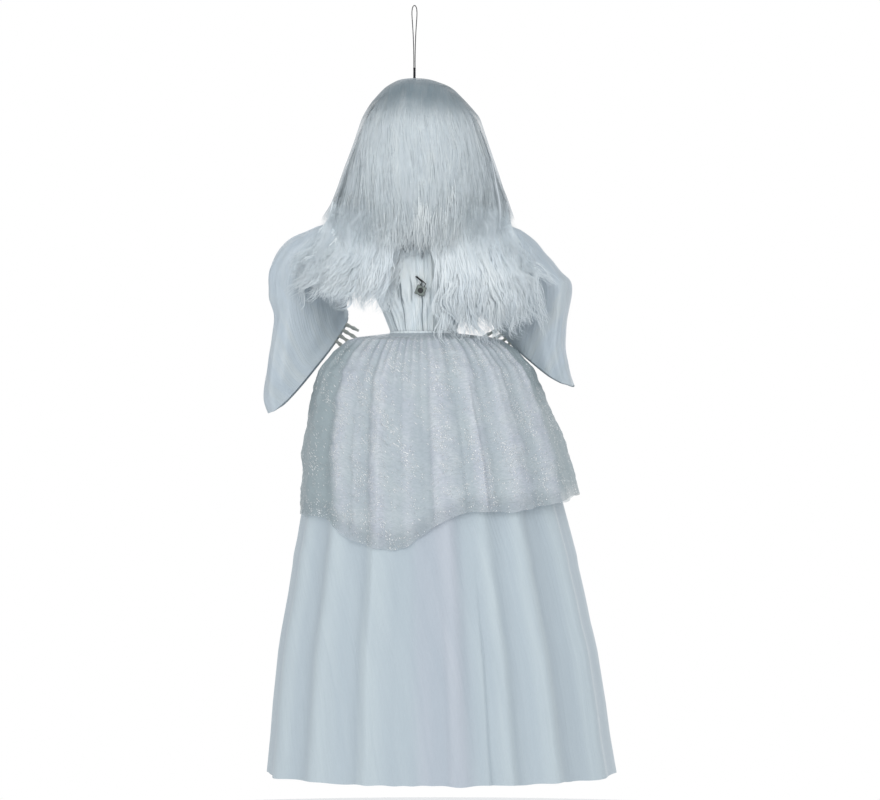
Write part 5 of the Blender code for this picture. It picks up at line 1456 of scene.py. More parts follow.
@dataclass(frozen=True)
class Cord:
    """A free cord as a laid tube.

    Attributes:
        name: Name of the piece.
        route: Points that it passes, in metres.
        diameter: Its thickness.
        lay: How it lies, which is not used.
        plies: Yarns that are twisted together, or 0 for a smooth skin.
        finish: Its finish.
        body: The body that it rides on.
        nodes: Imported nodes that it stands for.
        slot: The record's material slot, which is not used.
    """

    name: str
    route: tuple[tuple[float, float, float], ...]
    diameter: float
    lay: str
    plies: int
    finish: Finish
    body: str
    nodes: tuple[str, ...]
    slot: str

    def build(self) -> bpy.types.Object:
        """Returns:
            The cord's object.
        """
        route = np.array(self.route)
        dense = catmull(route, 400)
        length = float(np.linalg.norm(np.diff(dense, axis=0), axis=1).sum())
        pitch = self.diameter * LAY_PITCH
        count = max(int(length / pitch * POINTS_A_TURN), 40) if self.plies else SMOOTH_POINTS
        line = catmull(route, count)
        obj = piece_from(self.name, *self.tube(line, length, pitch))
        obj.data.uv_layers.new(name="UVMap")
        self.finish.dress(obj)
        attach(obj, self.body)
        if self.nodes:
            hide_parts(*self.nodes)
        log.info("%s: %.4f m of %.1f mm cord", self.name, length, self.diameter / MILLIMETRE)
        return obj

    def tube(self, line: np.ndarray, length: float, pitch: float
             ) -> tuple[np.ndarray, list[tuple[int, ...]]]:
        """Lay the cord's skin.

        Args:
            line: The cord's centreline.
            length: Its length.
            pitch: Length of one turn of the lay.

        Returns:
            The points and the faces.
        """
        sides = 12
        ahead = np.gradient(line, axis=0)
        ahead /= np.linalg.norm(ahead, axis=1, keepdims=True)
        reference = np.array([0.0, 1.0, 0.0]) if abs(ahead[0][1]) < 0.9 else np.array([1.0, 0.0, 0.0])
        points = []
        along = np.linspace(0.0, length, len(line))
        for place, way, gone in zip(line, ahead, along):
            one = np.cross(way, reference)
            one /= np.linalg.norm(one)
            reference = np.cross(one, way)
            twist = 2.0 * math.pi * gone / pitch
            for k in range(sides):
                angle = 2.0 * math.pi * k / sides
                swell = 1.0
                if self.plies:
                    swell = 0.86 + 0.14 * abs(math.cos(self.plies * (angle - twist) / 2.0))
                points.append(place + (one * math.cos(angle) + reference * math.sin(angle))
                              * self.diameter / 2.0 * swell)
        faces = []
        for i in range(len(line) - 1):
            for k in range(sides):
                n = (k + 1) % sides
                faces.append((i * sides + k, i * sides + n, (i + 1) * sides + n, (i + 1) * sides + k))
        faces.append(tuple(reversed(range(sides))))
        faces.append(tuple((len(line) - 1) * sides + k for k in range(sides)))
        return np.array(points), faces


def mirrored_loop(half: Sequence[tuple[float, float]]) -> tuple[tuple[float, float, float], ...]:
    """Make a loop's route from one half of it.

    Args:
        half: Sideways place and height of each point, from the binding up to the top.

    Returns:
        Points up one side and down the other.
    """
    up = [(x, 0.0, z) for x, z in half]
    down = [(-x, 0.0, z) for x, z in reversed(half[:-1])]
    return tuple(up + down)


# Sideways place and height of one half of the loop, from the binding up to the top.
LOOP_HALF = (
    (0.0008, -0.0776), (0.0008, -0.0660), (0.0011, -0.0500), (0.0017, -0.0350), (0.0025, -0.0220),
    (0.0031, -0.0130), (0.0031, -0.0065), (0.0022, -0.0016), (0.0000, 0.0006),
)
# From the switch through the hole in the dress to the lamp box, and back as the twin lead's other wire.
SWITCH_WIRE_ROUTE = (
    (-0.0137, 0.0460, -0.3543), (-0.0137, 0.0464, -0.3526), (-0.0041, 0.0465, -0.3447),
    (-0.0041, 0.0317, -0.3447), (-0.0005, 0.0240, -0.3595), (0.0032, 0.0163, -0.3742),
    (0.0048, 0.0163, -0.3742), (0.0011, 0.0240, -0.3595), (-0.0025, 0.0317, -0.3447),
    (-0.0025, 0.0465, -0.3447), (-0.0099, 0.0464, -0.3511), (-0.0088, 0.0460, -0.3524),
)
# From each eye lamp through the neck to the lamp box.
EYE_WIRE_ROUTES = {
    Side.LEFT: (
        (0.0184, -0.0328, -0.1710), (0.0184, -0.0208, -0.1710), (0.0047, 0.0000, -0.1795),
        (-0.0016, 0.0080, -0.1982), (-0.0016, 0.0100, -0.2241), (-0.0044, 0.0100, -0.2811),
        (-0.0021, 0.0153, -0.2934), (0.0003, 0.0153, -0.3077), (-0.0031, 0.0163, -0.3763),
    ),
    Side.RIGHT: (
        (-0.0264, -0.0328, -0.1710), (-0.0264, -0.0208, -0.1710), (-0.0127, 0.0000, -0.1795),
        (-0.0080, 0.0080, -0.1982), (-0.0080, 0.0100, -0.2241), (-0.0109, 0.0100, -0.2811),
        (-0.0132, 0.0153, -0.2934), (-0.0157, 0.0153, -0.3077), (-0.0191, 0.0163, -0.3763),
    ),
}


@dataclass(frozen=True)
class Cords:
    """The hanging loop and the leads of the switch and the eye lamps.

    Attributes:
        thread: Thickness of the hanging cord.
        wire: Thickness of a lead.
    """

    thread: float = 0.0012
    wire: float = 0.0012

    def build(self) -> None:
        """Make every cord, and dress the binding and the knot."""
        Cord("hanging_cord", mirrored_loop(LOOP_HALF), self.thread, "taut", 2, PALETTE.cord, "hanger",
             ("hanging_loop",), "cord").build()
        Cord("switch_wire", SWITCH_WIRE_ROUTE, self.wire, "hanging", 0, PALETTE.lead, "figure",
             ("switch_lead",), "lead").build()
        for side, route in EYE_WIRE_ROUTES.items():
            Cord(f"eye_wire_{side.word}", route, self.wire, "hanging", 0, PALETTE.lead, "figure",
                 (f"eye_lead_{side.word}",), "lead").build()
        for node in ("loop_binding", "loop_knot"):
            PALETTE.cord.dress(frame["nodes"][node])


# Bones and works


@dataclass(frozen=True)
class Works:
    """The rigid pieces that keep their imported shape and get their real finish.

    Attributes:
        bones: Nodes of the skeleton.
        teeth: Nodes of the teeth.
        plastics: Nodes of black plastic.
        metals: Nodes of plated steel.
    """

    bones: tuple[str, ...] = (
        "skull", "jaw", "spine", "rib_cage", "collar_yoke", "upper_arm_left", "upper_arm_right",
        "forearm_left", "forearm_right", "hand_left", "hand_right",
    )
    teeth: tuple[str, ...] = ("upper_teeth", "lower_teeth")
    plastics: tuple[str, ...] = (
        "shoulder_pin_left", "shoulder_pin_right", "elbow_pin_left", "elbow_pin_right", "battery_box",
        "battery_cover", "switch_housing", "switch_plunger",
    )
    metals: tuple[str, ...] = ("cover_screw", "battery_cell_1", "battery_cell_2", "battery_cell_3")

    def build(self) -> None:
        """Dress every rigid node."""
        for names, finish in ((self.bones, PALETTE.bone), (self.teeth, PALETTE.tooth),
                              (self.plastics, PALETTE.black), (self.metals, PALETTE.steel),
                              (("switch_plate",), PALETTE.plate),
                              (("eye_lamp_left", "eye_lamp_right"), PALETTE.lamp),
                              (("circuit_board",), PALETTE.board)):
            for name in names:
                finish.dress(frame["nodes"][name])
        log.info("dressed %d rigid pieces", len(self.bones) + len(self.teeth) + len(self.plastics))


# Skirts


BAND_BLUR = 6.0
VALLEY_DEPTH = 0.004

# How far a cloth's upper edge lies under its solid's top, and its lower edge over the foot.
TOP_IN = 0.0006
FOOT_IN = 0.0004

# How far out from the band each of a skirt's first rows lies, as a share of the next row's way.
WAIST_ROWS = (0.0, 0.3, 0.6, 0.85)


@dataclass(frozen=True)
class Crease:
    """A fold's crest: an angle in degrees from the left side round the back, and its form.

    Attributes:
        angle: Where the crest is.
        height: How far it stands out at the hem.
        width: Half width of the crest, in degrees.
        skew: How much steeper its far side is, from -1 to 1.
        top: Share of the skirt's length where it starts to show.
    """

    angle: float
    height: float
    width: float
    skew: float
    top: float


@dataclass(frozen=True)
class Skirt:
    """A skirt hung from the waist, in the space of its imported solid.

    Attributes:
        node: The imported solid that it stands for.
        rows: Rows of points from waist to hem.
        columns: Points round each row.
        inset: How far the cloth lies inside the solid's skin.
        blur: Smoothing of the solid's facets, in degrees.
        creases: Its single folds.
        pleats: How many fine pleats go round it.
        pleat_height: How high they are at the waist.
        sway: Height and sideways move of the left and the right side, from the top down.
        ragged: Height of the hem's unevenness.
        clearance: Room that is left under the cloth over it.
    """

    node: str
    rows: int
    columns: int
    inset: float
    blur: float
    creases: tuple[Crease, ...]
    pleats: int
    pleat_height: float
    sway: tuple[tuple[float, float, float], ...]
    ragged: float
    clearance: float = 0.0016

    def swayed(self, points: np.ndarray) -> np.ndarray:
        """Move both sides of the cloth as it hangs in the photograph.

        Args:
            points: Rows by columns by 3.

        Returns:
            The moved points.
        """
        table = np.array(self.sway)
        middle = np.vectorize(self.axis)(points[:, :, 2])
        aside = points[:, :, 0] - middle
        turned = aside / np.hypot(aside, points[:, :, 1])
        left = np.interp(points[:, :, 2], table[::-1, 0], table[::-1, 1])
        right = np.interp(points[:, :, 2], table[::-1, 0], table[::-1, 2])
        points[:, :, 0] += left * np.clip(turned, 0.0, 1.0) + right * np.clip(-turned, 0.0, 1.0)
        return points

    def under(self, points: np.ndarray, cover: BVHTree) -> np.ndarray:
        """Draw the cloth in wherever it would come through the cloth over it.

        Args:
            points: Rows by columns by 3.
            cover: The cloth over it.

        Returns:
            The points, all inside the cover.
        """
        for row in points:
            centre = Vector((self.axis(row[0][2]), 0.0, row[0][2]))
            room = np.full(len(row), np.inf)
            for k, point in enumerate(row):
                centre.z = point[2]
                way = Vector(point) - centre
                far = way.length
                hit = cover.ray_cast(centre, way.normalized(), far + 0.02)
                if hit[0] is not None:
                    room[k] = (hit[3] - self.clearance) / far
            covered = np.isfinite(room)
            if covered.any():
                share = np.minimum(np.where(covered, room, 1.0), 1.0)
                share = np.minimum(soften_round(share, 2.0), share)
                row[:, 0] = centre.x + (row[:, 0] - centre.x) * share
                row[:, 1] *= share
        return points

    def shape(self) -> tuple[np.ndarray, np.ndarray, np.ndarray]:
        """Measure the solid and lay the cloth on it.

        Returns:
            The points, the share down to the hem and the angle of each.
        """
        solid = Solid(self.node)
        angles = around(self.columns)
        hem = self.hem_heights(solid, angles)
        top = solid.high.z - TOP_IN
        step = 360.0 / self.columns
        points = np.zeros((self.rows, self.columns, 3))
        shares = np.linspace(0.0, 1.0, self.rows) ** 1.15
        for i, share in enumerate(shares):
            heights = top + (hem - top) * share
            reach = [solid.reach(self.middle(z), level(angle)) for angle, z in zip(angles, heights)]
            radius = soften_round(fill_round(reach), self.blur / step * (0.35 + 0.65 * share)) - self.inset
            radius = radius + self.folds(np.degrees(angles), share)
            for k, angle in enumerate(angles):
                points[i, k] = (self.axis(heights[k]) + radius[k] * math.cos(angle),
                                radius[k] * math.sin(angle), heights[k])
        points[:len(WAIST_ROWS)] = self.gathered_top(points, angles)
        share_grid = np.repeat(shares[:, None], self.columns, axis=1)
        angle_grid = np.repeat(np.degrees(angles)[None, :], self.rows, axis=0)
        return points, share_grid, angle_grid

    def gathered_top(self, points: np.ndarray, angles: np.ndarray) -> np.ndarray:
        """Draw the first rows in to the band at the waist.

        Args:
            points: Rows by columns by 3.
            angles: The angles in radians.

        Returns:
            The first rows.
        """
        band = Solid("waistband")
        centre = self.middle((band.low.z + band.high.z) / 2.0)
        ring = band.ring(centre, angles, BAND_BLUR) - TOP_IN
        seam = ring_points(centre.x, ring, angles, points[0, 0, 2] + FOOT_IN)
        below = points[len(WAIST_ROWS)]
        return np.stack([seam + (below - seam) * share for share in WAIST_ROWS])

    @staticmethod
    def axis(z: float) -> float:
        """Find the figure's middle at a height, as it leans.

        Args:
            z: The height.

        Returns:
            Its sideways place.
        """
        return LEAN * (z - CROWN)

    @staticmethod
    def middle(z: float) -> Vector:
        """Place a point in the figure's middle.

        Args:
            z: The height.

        Returns:
            The point.
        """
        return Vector((Skirt.axis(z), 0.0, z))

    def hem_heights(self, solid: Solid, angles: np.ndarray) -> np.ndarray:
        """Find the solid's lowest height at each angle.

        Args:
            solid: The measured solid.
            angles: The angles in radians.

        Returns:
            The height of the hem at each angle.
        """
        half_way = (solid.low.z + solid.high.z) / 2.0
        found = [solid.foot(self.middle, level(angle), half_way) for angle in angles]
        even = soften_round(np.array(found), self.blur / (360.0 / self.columns)) + FOOT_IN
        torn = 1.6 + np.sin(angles * 13.0 + 1.0) + 0.6 * np.sin(angles * 31.0 + 2.0 * np.sin(angles * 5.0))
        return even + self.ragged * torn

    def folds(self, degrees: np.ndarray, share: float) -> np.ndarray:
        """Raise the folds over the solid's own skin.

        Args:
            degrees: Angles round the skirt.
            share: Share of the way to the hem.

        Returns:
            The height at each angle.
        """
        height = np.zeros_like(degrees)
        for crease in self.creases:
            away = (degrees - crease.angle + 180.0) % 360.0 - 180.0
            width = 0.72 * crease.width * np.where(away > 0.0, 1.0 - crease.skew, 1.0 + crease.skew)
            grown = float(smoothstep(crease.top, min(crease.top + 0.45, 1.0), np.array(share)))
            crest = np.exp(-(away / width) ** 2)
            height += crease.height * grown * (crest - crest.mean())
        fine = np.cos(np.radians(degrees) * self.pleats + 2.0 * np.sin(np.radians(degrees) * 5.0))
        fade = math.exp(-share * 6.0) * min(share * 30.0, 1.0) + 0.10
        return height + self.pleat_height * fade * fine


OVERSKIRT_CREASES = (
    Crease(24.0, 0.0030, 8.0, 0.3, 0.05),
    Crease(47.0, 0.0036, 6.0, -0.5, 0.10),
    Crease(62.0, 0.0052, 5.0, 0.6, 0.05),
    Crease(78.0, 0.0030, 5.0, 0.3, 0.10),
    Crease(93.0, 0.0044, 4.5, -0.4, 0.08),
    Crease(106.0, 0.0032, 5.0, 0.4, 0.15),
    Crease(116.0, 0.0050, 4.0, 0.5, 0.05),
    Crease(130.0, 0.0030, 6.0, 0.0, 0.20),
    Crease(150.0, 0.0040, 7.0, -0.4, 0.10),
    Crease(204.0, 0.0036, 7.0, 0.3, 0.10),
    Crease(236.0, 0.0040, 6.0, -0.3, 0.08),
    Crease(262.0, 0.0034, 6.0, 0.4, 0.12),
    Crease(290.0, 0.0042, 7.0, -0.4, 0.06),
    Crease(322.0, 0.0036, 7.0, 0.3, 0.10),
)
UNDERSKIRT_CREASES = (
    Crease(18.0, 0.0030, 9.0, 0.2, 0.30),
    Crease(42.0, 0.0036, 8.0, -0.4, 0.35),
    Crease(58.0, 0.0046, 6.0, 0.5, 0.30),
    Crease(84.0, 0.0040, 8.0, 0.3, 0.45),
    Crease(96.0, 0.0030, 5.0, -0.5, 0.40),
    Crease(112.0, 0.0056, 5.0, 0.6, 0.35),
    Crease(121.0, 0.0040, 4.0, -0.3, 0.40),
    Crease(140.0, 0.0030, 9.0, 0.2, 0.40),
    Crease(160.0, 0.0034, 8.0, -0.3, 0.30),
    Crease(200.0, 0.0040, 9.0, 0.2, 0.35),
    Crease(230.0, 0.0046, 8.0, -0.4, 0.30),
    Crease(258.0, 0.0040, 7.0, 0.4, 0.40),
    Crease(286.0, 0.0046, 8.0, -0.3, 0.35),
    Crease(318.0, 0.0040, 9.0, 0.3, 0.30),
)

# Height, and how far the left and the right side of the cloth are moved there.
OVERSKIRT_SWAY = (
    (-0.410, 0.000, 0.000), (-0.500, 0.000, -0.003), (-0.567, -0.005, -0.009), (-0.602, -0.009, -0.011),
    (-0.640, -0.012, -0.011), (-0.700, -0.012, -0.011),
)
UNDERSKIRT_SWAY = (
    (-0.410, 0.000, 0.000), (-0.600, -0.010, 0.004), (-0.673, -0.014, 0.006), (-0.708, -0.014, 0.007),
    (-0.744, -0.012, 0.005), (-0.779, -0.009, 0.004), (-0.815, -0.006, 0.001), (-0.921, -0.003, 0.000),
    (-0.980, 0.000, -0.003),
)


def ring_points(x: float, radius: np.ndarray, angles: np.ndarray, z: float) -> np.ndarray:
    """Place one level row of points.

    Args:
        x: Sideways place of its middle.
        radius: Distance of each point from there.
        angles: The points' angles in radians.
        z: The row's height.

    Returns:
        The points, one a row.
    """
    return np.stack([x + radius * np.cos(angles), radius * np.sin(angles), np.full(len(angles), z)], axis=1)


def valleys(points: np.ndarray, width: float) -> np.ndarray:
    """Find which points lie in a fold's valley.

    Args:
        points: Rows by columns by 3, closed round.
        width: Half width of the smoothing, in columns.

    Returns:
        Values from 0 on a crest to 1 in a valley.
    """
    middle = np.vectorize(Skirt.axis)(points[:, :, 2])
    radius = np.hypot(points[:, :, 0] - middle, points[:, :, 1])
    mask = np.zeros_like(radius)
    for i, row in enumerate(radius):
        low = (soften_round(row, width) - row) / VALLEY_DEPTH
        mask[i] = np.clip(0.5 + low, 0.0, 1.0)
    return mask


@dataclass(frozen=True)
class Skirts:
    """The band, the glittering overskirt and the long underskirt.

    Attributes:
        overskirt: The upper one.
        underskirt: The lower one.
        band_rows: Rows of points in the band.
        band_columns: Points round each of its rows.
        band_edge: How far its edges lie within the solid.
        organza_wrinkle: Height of the overskirt's wrinkles.
        voile_wrinkle: Height of the underskirt's wrinkles.
    """

    overskirt: Skirt = Skirt("overskirt", 130, 600, 0.0026, 3.6, OVERSKIRT_CREASES, 52, 0.0022,
                             OVERSKIRT_SWAY, 0.0011)
    underskirt: Skirt = Skirt("underskirt", 130, 480, 0.0008, 2.4, UNDERSKIRT_CREASES, 44, 0.0012,
                              UNDERSKIRT_SWAY, 0.0006)
    band_rows: int = 12
    band_columns: int = 360
    band_edge: float = 0.0002
    organza_wrinkle: float = 0.0021
    voile_wrinkle: float = 0.0016

    def build(self) -> None:
        """Make both skirts and the band."""
        cover = self.build_overskirt()
        self.build_underskirt(cover)
        self.build_band()

    def build_overskirt(self) -> BVHTree:
        """Make the overskirt, darker at both sides.

        Returns:
            Its faces, for the cloth under it.
        """
        points, shares, angles = self.overskirt.shape()
        wrinkles = ripple(points * np.array([26.0, 26.0, 50.0]), 3.1)
        wrinkles += 0.55 * ripple(points * np.array([70.0, 70.0, 150.0]), 7.3)
        outward = points.copy()
        outward[:, :, 0] -= np.vectorize(Skirt.axis)(points[:, :, 2])
        outward[:, :, 2] = 0.0
        outward /= np.linalg.norm(outward, axis=2, keepdims=True)
        height = wrinkles * self.organza_wrinkle * np.minimum(shares * 6.0, 1.0)
        points = points + outward * height[:, :, None]
        points = self.overskirt.swayed(points)
        turned = (angles + 180.0) % 360.0 - 180.0
        # Darker at both sides, fading in below the waist; the left side, then the right.
        left = smoothstep(42.0, 34.0, turned + 10.0 * (1.0 - shares)) * smoothstep(-46.0, -6.0, turned)
        right = smoothstep(151.0, 157.0, angles - 6.0 * (1.0 - shares)) * smoothstep(232.0, 194.0, angles)
        panel = np.clip(left + right, 0.0, 1.0) * smoothstep(0.02, 0.10, shares)
        strip = smoothstep(80.0, 84.0, angles) * smoothstep(95.0, 91.0, angles)
        strip = strip * smoothstep(0.30, 0.50, shares)
        sheer = smoothstep(0.88, 1.0, shares)
        grid = Grid("overskirt_cloth", points, True,
                    {"panel": panel, "smooth": strip, "sheer": sheer, "valley": valleys(points, 9.0)})
        obj = grid.hang(PALETTE.organza, "overskirt")
        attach(obj, "figure")
        return BVHTree.FromPolygons([v.co for v in obj.data.vertices],
                                    [tuple(f.vertices) for f in obj.data.polygons])

    def build_underskirt(self, cover: BVHTree) -> None:
        """Make the long underskirt.

        Args:
            cover: The overskirt's faces.
        """
        points, shares, angles = self.underskirt.shape()
        wrinkles = ripple(points * np.array([20.0, 20.0, 9.0]), 2.2)
        wrinkles += 0.4 * ripple(points * np.array([60.0, 60.0, 34.0]), 8.8)
        away = np.sign(points[:, :, 1])
        points[:, :, 1] += away * wrinkles * self.voile_wrinkle * smoothstep(0.3, 0.6, shares)
        points = self.underskirt.swayed(points)
        points = self.underskirt.under(points, cover)
        tint = smoothstep(74.0, 84.0, angles) * smoothstep(110.0, 100.0, angles)
        grid = Grid("underskirt_cloth", points, True, {"tint": tint, "valley": valleys(points, 10.0)})
        obj = grid.hang(PALETTE.voile, "underskirt")
        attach(obj, "figure")

    def build_band(self) -> None:
        """Make the gathered band at the waist."""
        solid = Solid("waistband")
        angles = around(self.band_columns)
        points = np.zeros((self.band_rows, self.band_columns, 3))
        for i in range(self.band_rows):
            share = i / (self.band_rows - 1)
            z = solid.high.z - self.band_edge + (solid.low.z + self.band_edge - solid.high.z) * share
            centre = Skirt.middle(z)
            centre.z = min(max(z, solid.low.z + FOOT_IN), solid.high.z - FOOT_IN)
            radius = solid.ring(centre, angles, BAND_BLUR)
            radius = radius - 0.0005 + 0.0004 * np.cos(angles * 46.0 + 3.0 * np.sin(angles * 3.0))
            radius += 0.0005 * math.sin(math.pi * share)
            points[i] = ring_points(centre.x, radius, angles, z)
        grid = Grid("waistband_cloth", points, True, {"valley": valleys(points, 5.0)})
        obj = grid.hang(PALETTE.satin, "waistband", layers=2)
        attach(obj, "figure")


# Bodice


@dataclass(frozen=True)
class Gather:
    """One sharp gather or the closed opening in the top of the dress.

    Attributes:
        degree: Angle round the dress at its upper end.
        drift: How far it has turned at its lower end.
        first: Share of the way down where it starts.
        last: Share of the way down where it ends.
        width: Half width in degrees.
        depth: How deep it is.
    """

    degree: float
    drift: float
    first: float
    last: float
    width: float
    depth: float

    def share(self, degrees: np.ndarray, share: float) -> np.ndarray:
        """Find how much of the gather there is at each angle.

        Args:
            degrees: Angles round the dress.
            share: Share of the way to the waist.

        Returns:
            Shares from 0 to 1.
        """
        there = float(smoothstep(self.first, self.first + 0.08, share)
                      * smoothstep(self.last, self.last - 0.06, share))
        line = self.degree + self.drift * share + 0.7 * math.sin(share * 23.0 + self.degree)
        return there * np.exp(-((degrees - line) / self.width) ** 2)


GATHERS = (
    Gather(92.0, -4.0, 0.46, 1.30, 1.0, 0.0020),
    Gather(58.0, -4.0, 0.38, 1.30, 0.9, 0.0016),
    Gather(70.0, 3.0, 0.42, 0.72, 1.1, 0.0012),
    Gather(47.0, 14.0, 0.46, 0.74, 1.6, 0.0014),
    Gather(50.0, 2.0, 0.50, 0.70, 1.3, 0.0012),
    Gather(92.0, 2.0, -0.20, 0.30, 2.0, 0.0016),
    Gather(113.0, 2.0, -0.20, 0.28, 1.8, 0.0016),
    Gather(102.0, -3.0, -0.20, 0.18, 2.4, 0.0010),
    Gather(122.0, 6.0, 0.30, 1.30, 1.1, 0.0012),
    Gather(28.0, 4.0, 0.30, 1.30, 1.2, 0.0012),
    Gather(140.0, 4.0, 0.40, 1.30, 1.2, 0.0012),
)


@dataclass(frozen=True)
class Bodice:
    """The gathered top of the dress with its closed back opening.

    Attributes:
        rows: Rows of points from the neck to the waist.
        columns: Points round each row.
        inset: How far the cloth lies inside the solid's skin.
        tucked: How far it goes on into the band.
        blur: Smoothing of the solid's facets, in columns.
        draw_in: How much it narrows for each length that it goes on into the band.
        full_line: Depth of a gather whose shadow line shows fully.
    """

    rows: int = 100
    columns: int = 720
    inset: float = 0.0004
    tucked: float = 0.0030
    blur: float = 12.0
    draw_in: float = 0.6
    full_line: float = 0.0016

    def build(self) -> None:
        """Make the top of the dress."""
        solid = Solid("bodice")
        angles = around(self.columns)
        degrees = np.degrees(angles)
        top = solid.high.z - TOP_IN
        foot = solid.low.z + FOOT_IN
        low = foot - self.tucked
        points = np.zeros((self.rows, self.columns, 3))
        lines = np.zeros((self.rows, self.columns))
        for i in range(self.rows):
            share = i / (self.rows - 1)
            z = top + (low - top) * share
            centre = Skirt.middle(z)
            centre.z = max(z, foot)
            radius = solid.ring(centre, angles, self.blur) - self.inset - self.draw_in * max(foot - z, 0.0)
            radius = radius + self.ruches(degrees, share)
            for gather in GATHERS:
                there = gather.share(degrees, share)
                radius = radius - gather.depth * there
                # Painted shadow line along the gather, fuller for a deeper one.
                lines[i] = np.maximum(lines[i], there * min(gather.depth / self.full_line, 1.0))
            points[i] = ring_points(centre.x, radius, angles, z)
        grid = Grid("bodice_cloth", points, True,
                    {"valley": valleys(points, 8.0), "line": np.clip(lines, 0.0, 1.0)})
        obj = grid.hang(PALETTE.satin, "bodice")
        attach(obj, "figure")

    def ruches(self, degrees: np.ndarray, share: float) -> np.ndarray:
        """Raise the soft gathers.

        Args:
            degrees: Angles round the dress.
            share: Share of the way to the waist.

        Returns:
            The height at each angle.
        """
        radians = np.radians(degrees)
        wander = 1.4 * math.sin(share * 7.0) + 0.8 * math.sin(share * 17.0)
        broad = 0.0011 * np.cos(radians * 19.0 + wander + 1.5 * np.sin(radians * 4.0))
        fine = 0.0005 * np.cos(radians * 47.0 - wander + 2.5 * np.sin(radians * 7.0 + share * 3.0))
        waist = 0.0006 * math.exp(-(1.0 - share) * 8.0) * np.cos(radians * 60.0)
        edge = 0.35 + 0.65 * math.sin(math.pi * min(max(share, 0.0), 1.0)) ** 0.5
        return (broad + fine) * edge + waist


# Sleeves


@dataclass(frozen=True)
class Section:
    """One section of a sleeve, in shares of its length from the shoulder.

    Attributes:
        outer: Outward, forward and upward place of its outer end.
        inner: The same for its inner end.
        depth: Half depth.
        sag: How far its lower side sags.
    """

    outer: tuple[float, float, float]
    inner: tuple[float, float, float]
    depth: float
    sag: float


SLEEVE_SECTIONS = {
    Side.LEFT: (
        Section((0.04, 0.00, 0.25), (-0.08, 0.00, -0.60), 0.31, 0.0),
        Section((0.38, 0.00, 0.24), (0.01, -0.06, -0.74), 0.31, 0.0),
        Section((0.80, 0.02, 0.02), (0.02, -0.20, -0.80), 0.33, 0.0),
        Section((1.00, 0.02, -0.30), (0.02, -0.38, -0.81), 0.36, 0.0),
        Section((1.02, 0.01, -0.66), (0.02, -0.50, -0.82), 0.38, 0.0),
        Section((0.96, 0.00, -0.98), (0.02, -0.56, -0.83), 0.38, 0.02),
        Section((1.02, -0.02, -1.42), (0.02, -0.58, -0.84), 0.37, 0.05),
        Section((1.09, -0.04, -1.90), (0.03, -0.59, -0.85), 0.36, 0.09),
        Section((1.04, -0.06, -2.15), (0.03, -0.60, -0.86), 0.35, 0.12),
    ),
    Side.RIGHT: (
        Section((0.04, 0.00, 0.25), (-0.08, 0.00, -0.60), 0.31, 0.0),
        Section((0.36, 0.00, 0.18), (0.01, -0.06, -0.74), 0.31, 0.0),
        Section((0.66, 0.02, -0.10), (0.02, -0.20, -0.80), 0.33, 0.0),
        Section((0.88, 0.02, -0.36), (0.02, -0.38, -0.83), 0.36, 0.0),
        Section((1.00, 0.01, -0.54), (0.02, -0.50, -0.84), 0.38, 0.0),
        Section((0.96, 0.00, -0.90), (0.02, -0.56, -0.86), 0.39, 0.02),
        Section((0.93, -0.02, -1.25), (0.03, -0.58, -0.88), 0.38, 0.05),
        Section((0.99, -0.04, -1.60), (0.04, -0.59, -0.91), 0.36, 0.09),
        Section((1.05, -0.06, -1.80), (0.05, -0.60, -0.93), 0.35, 0.13),
    ),
}


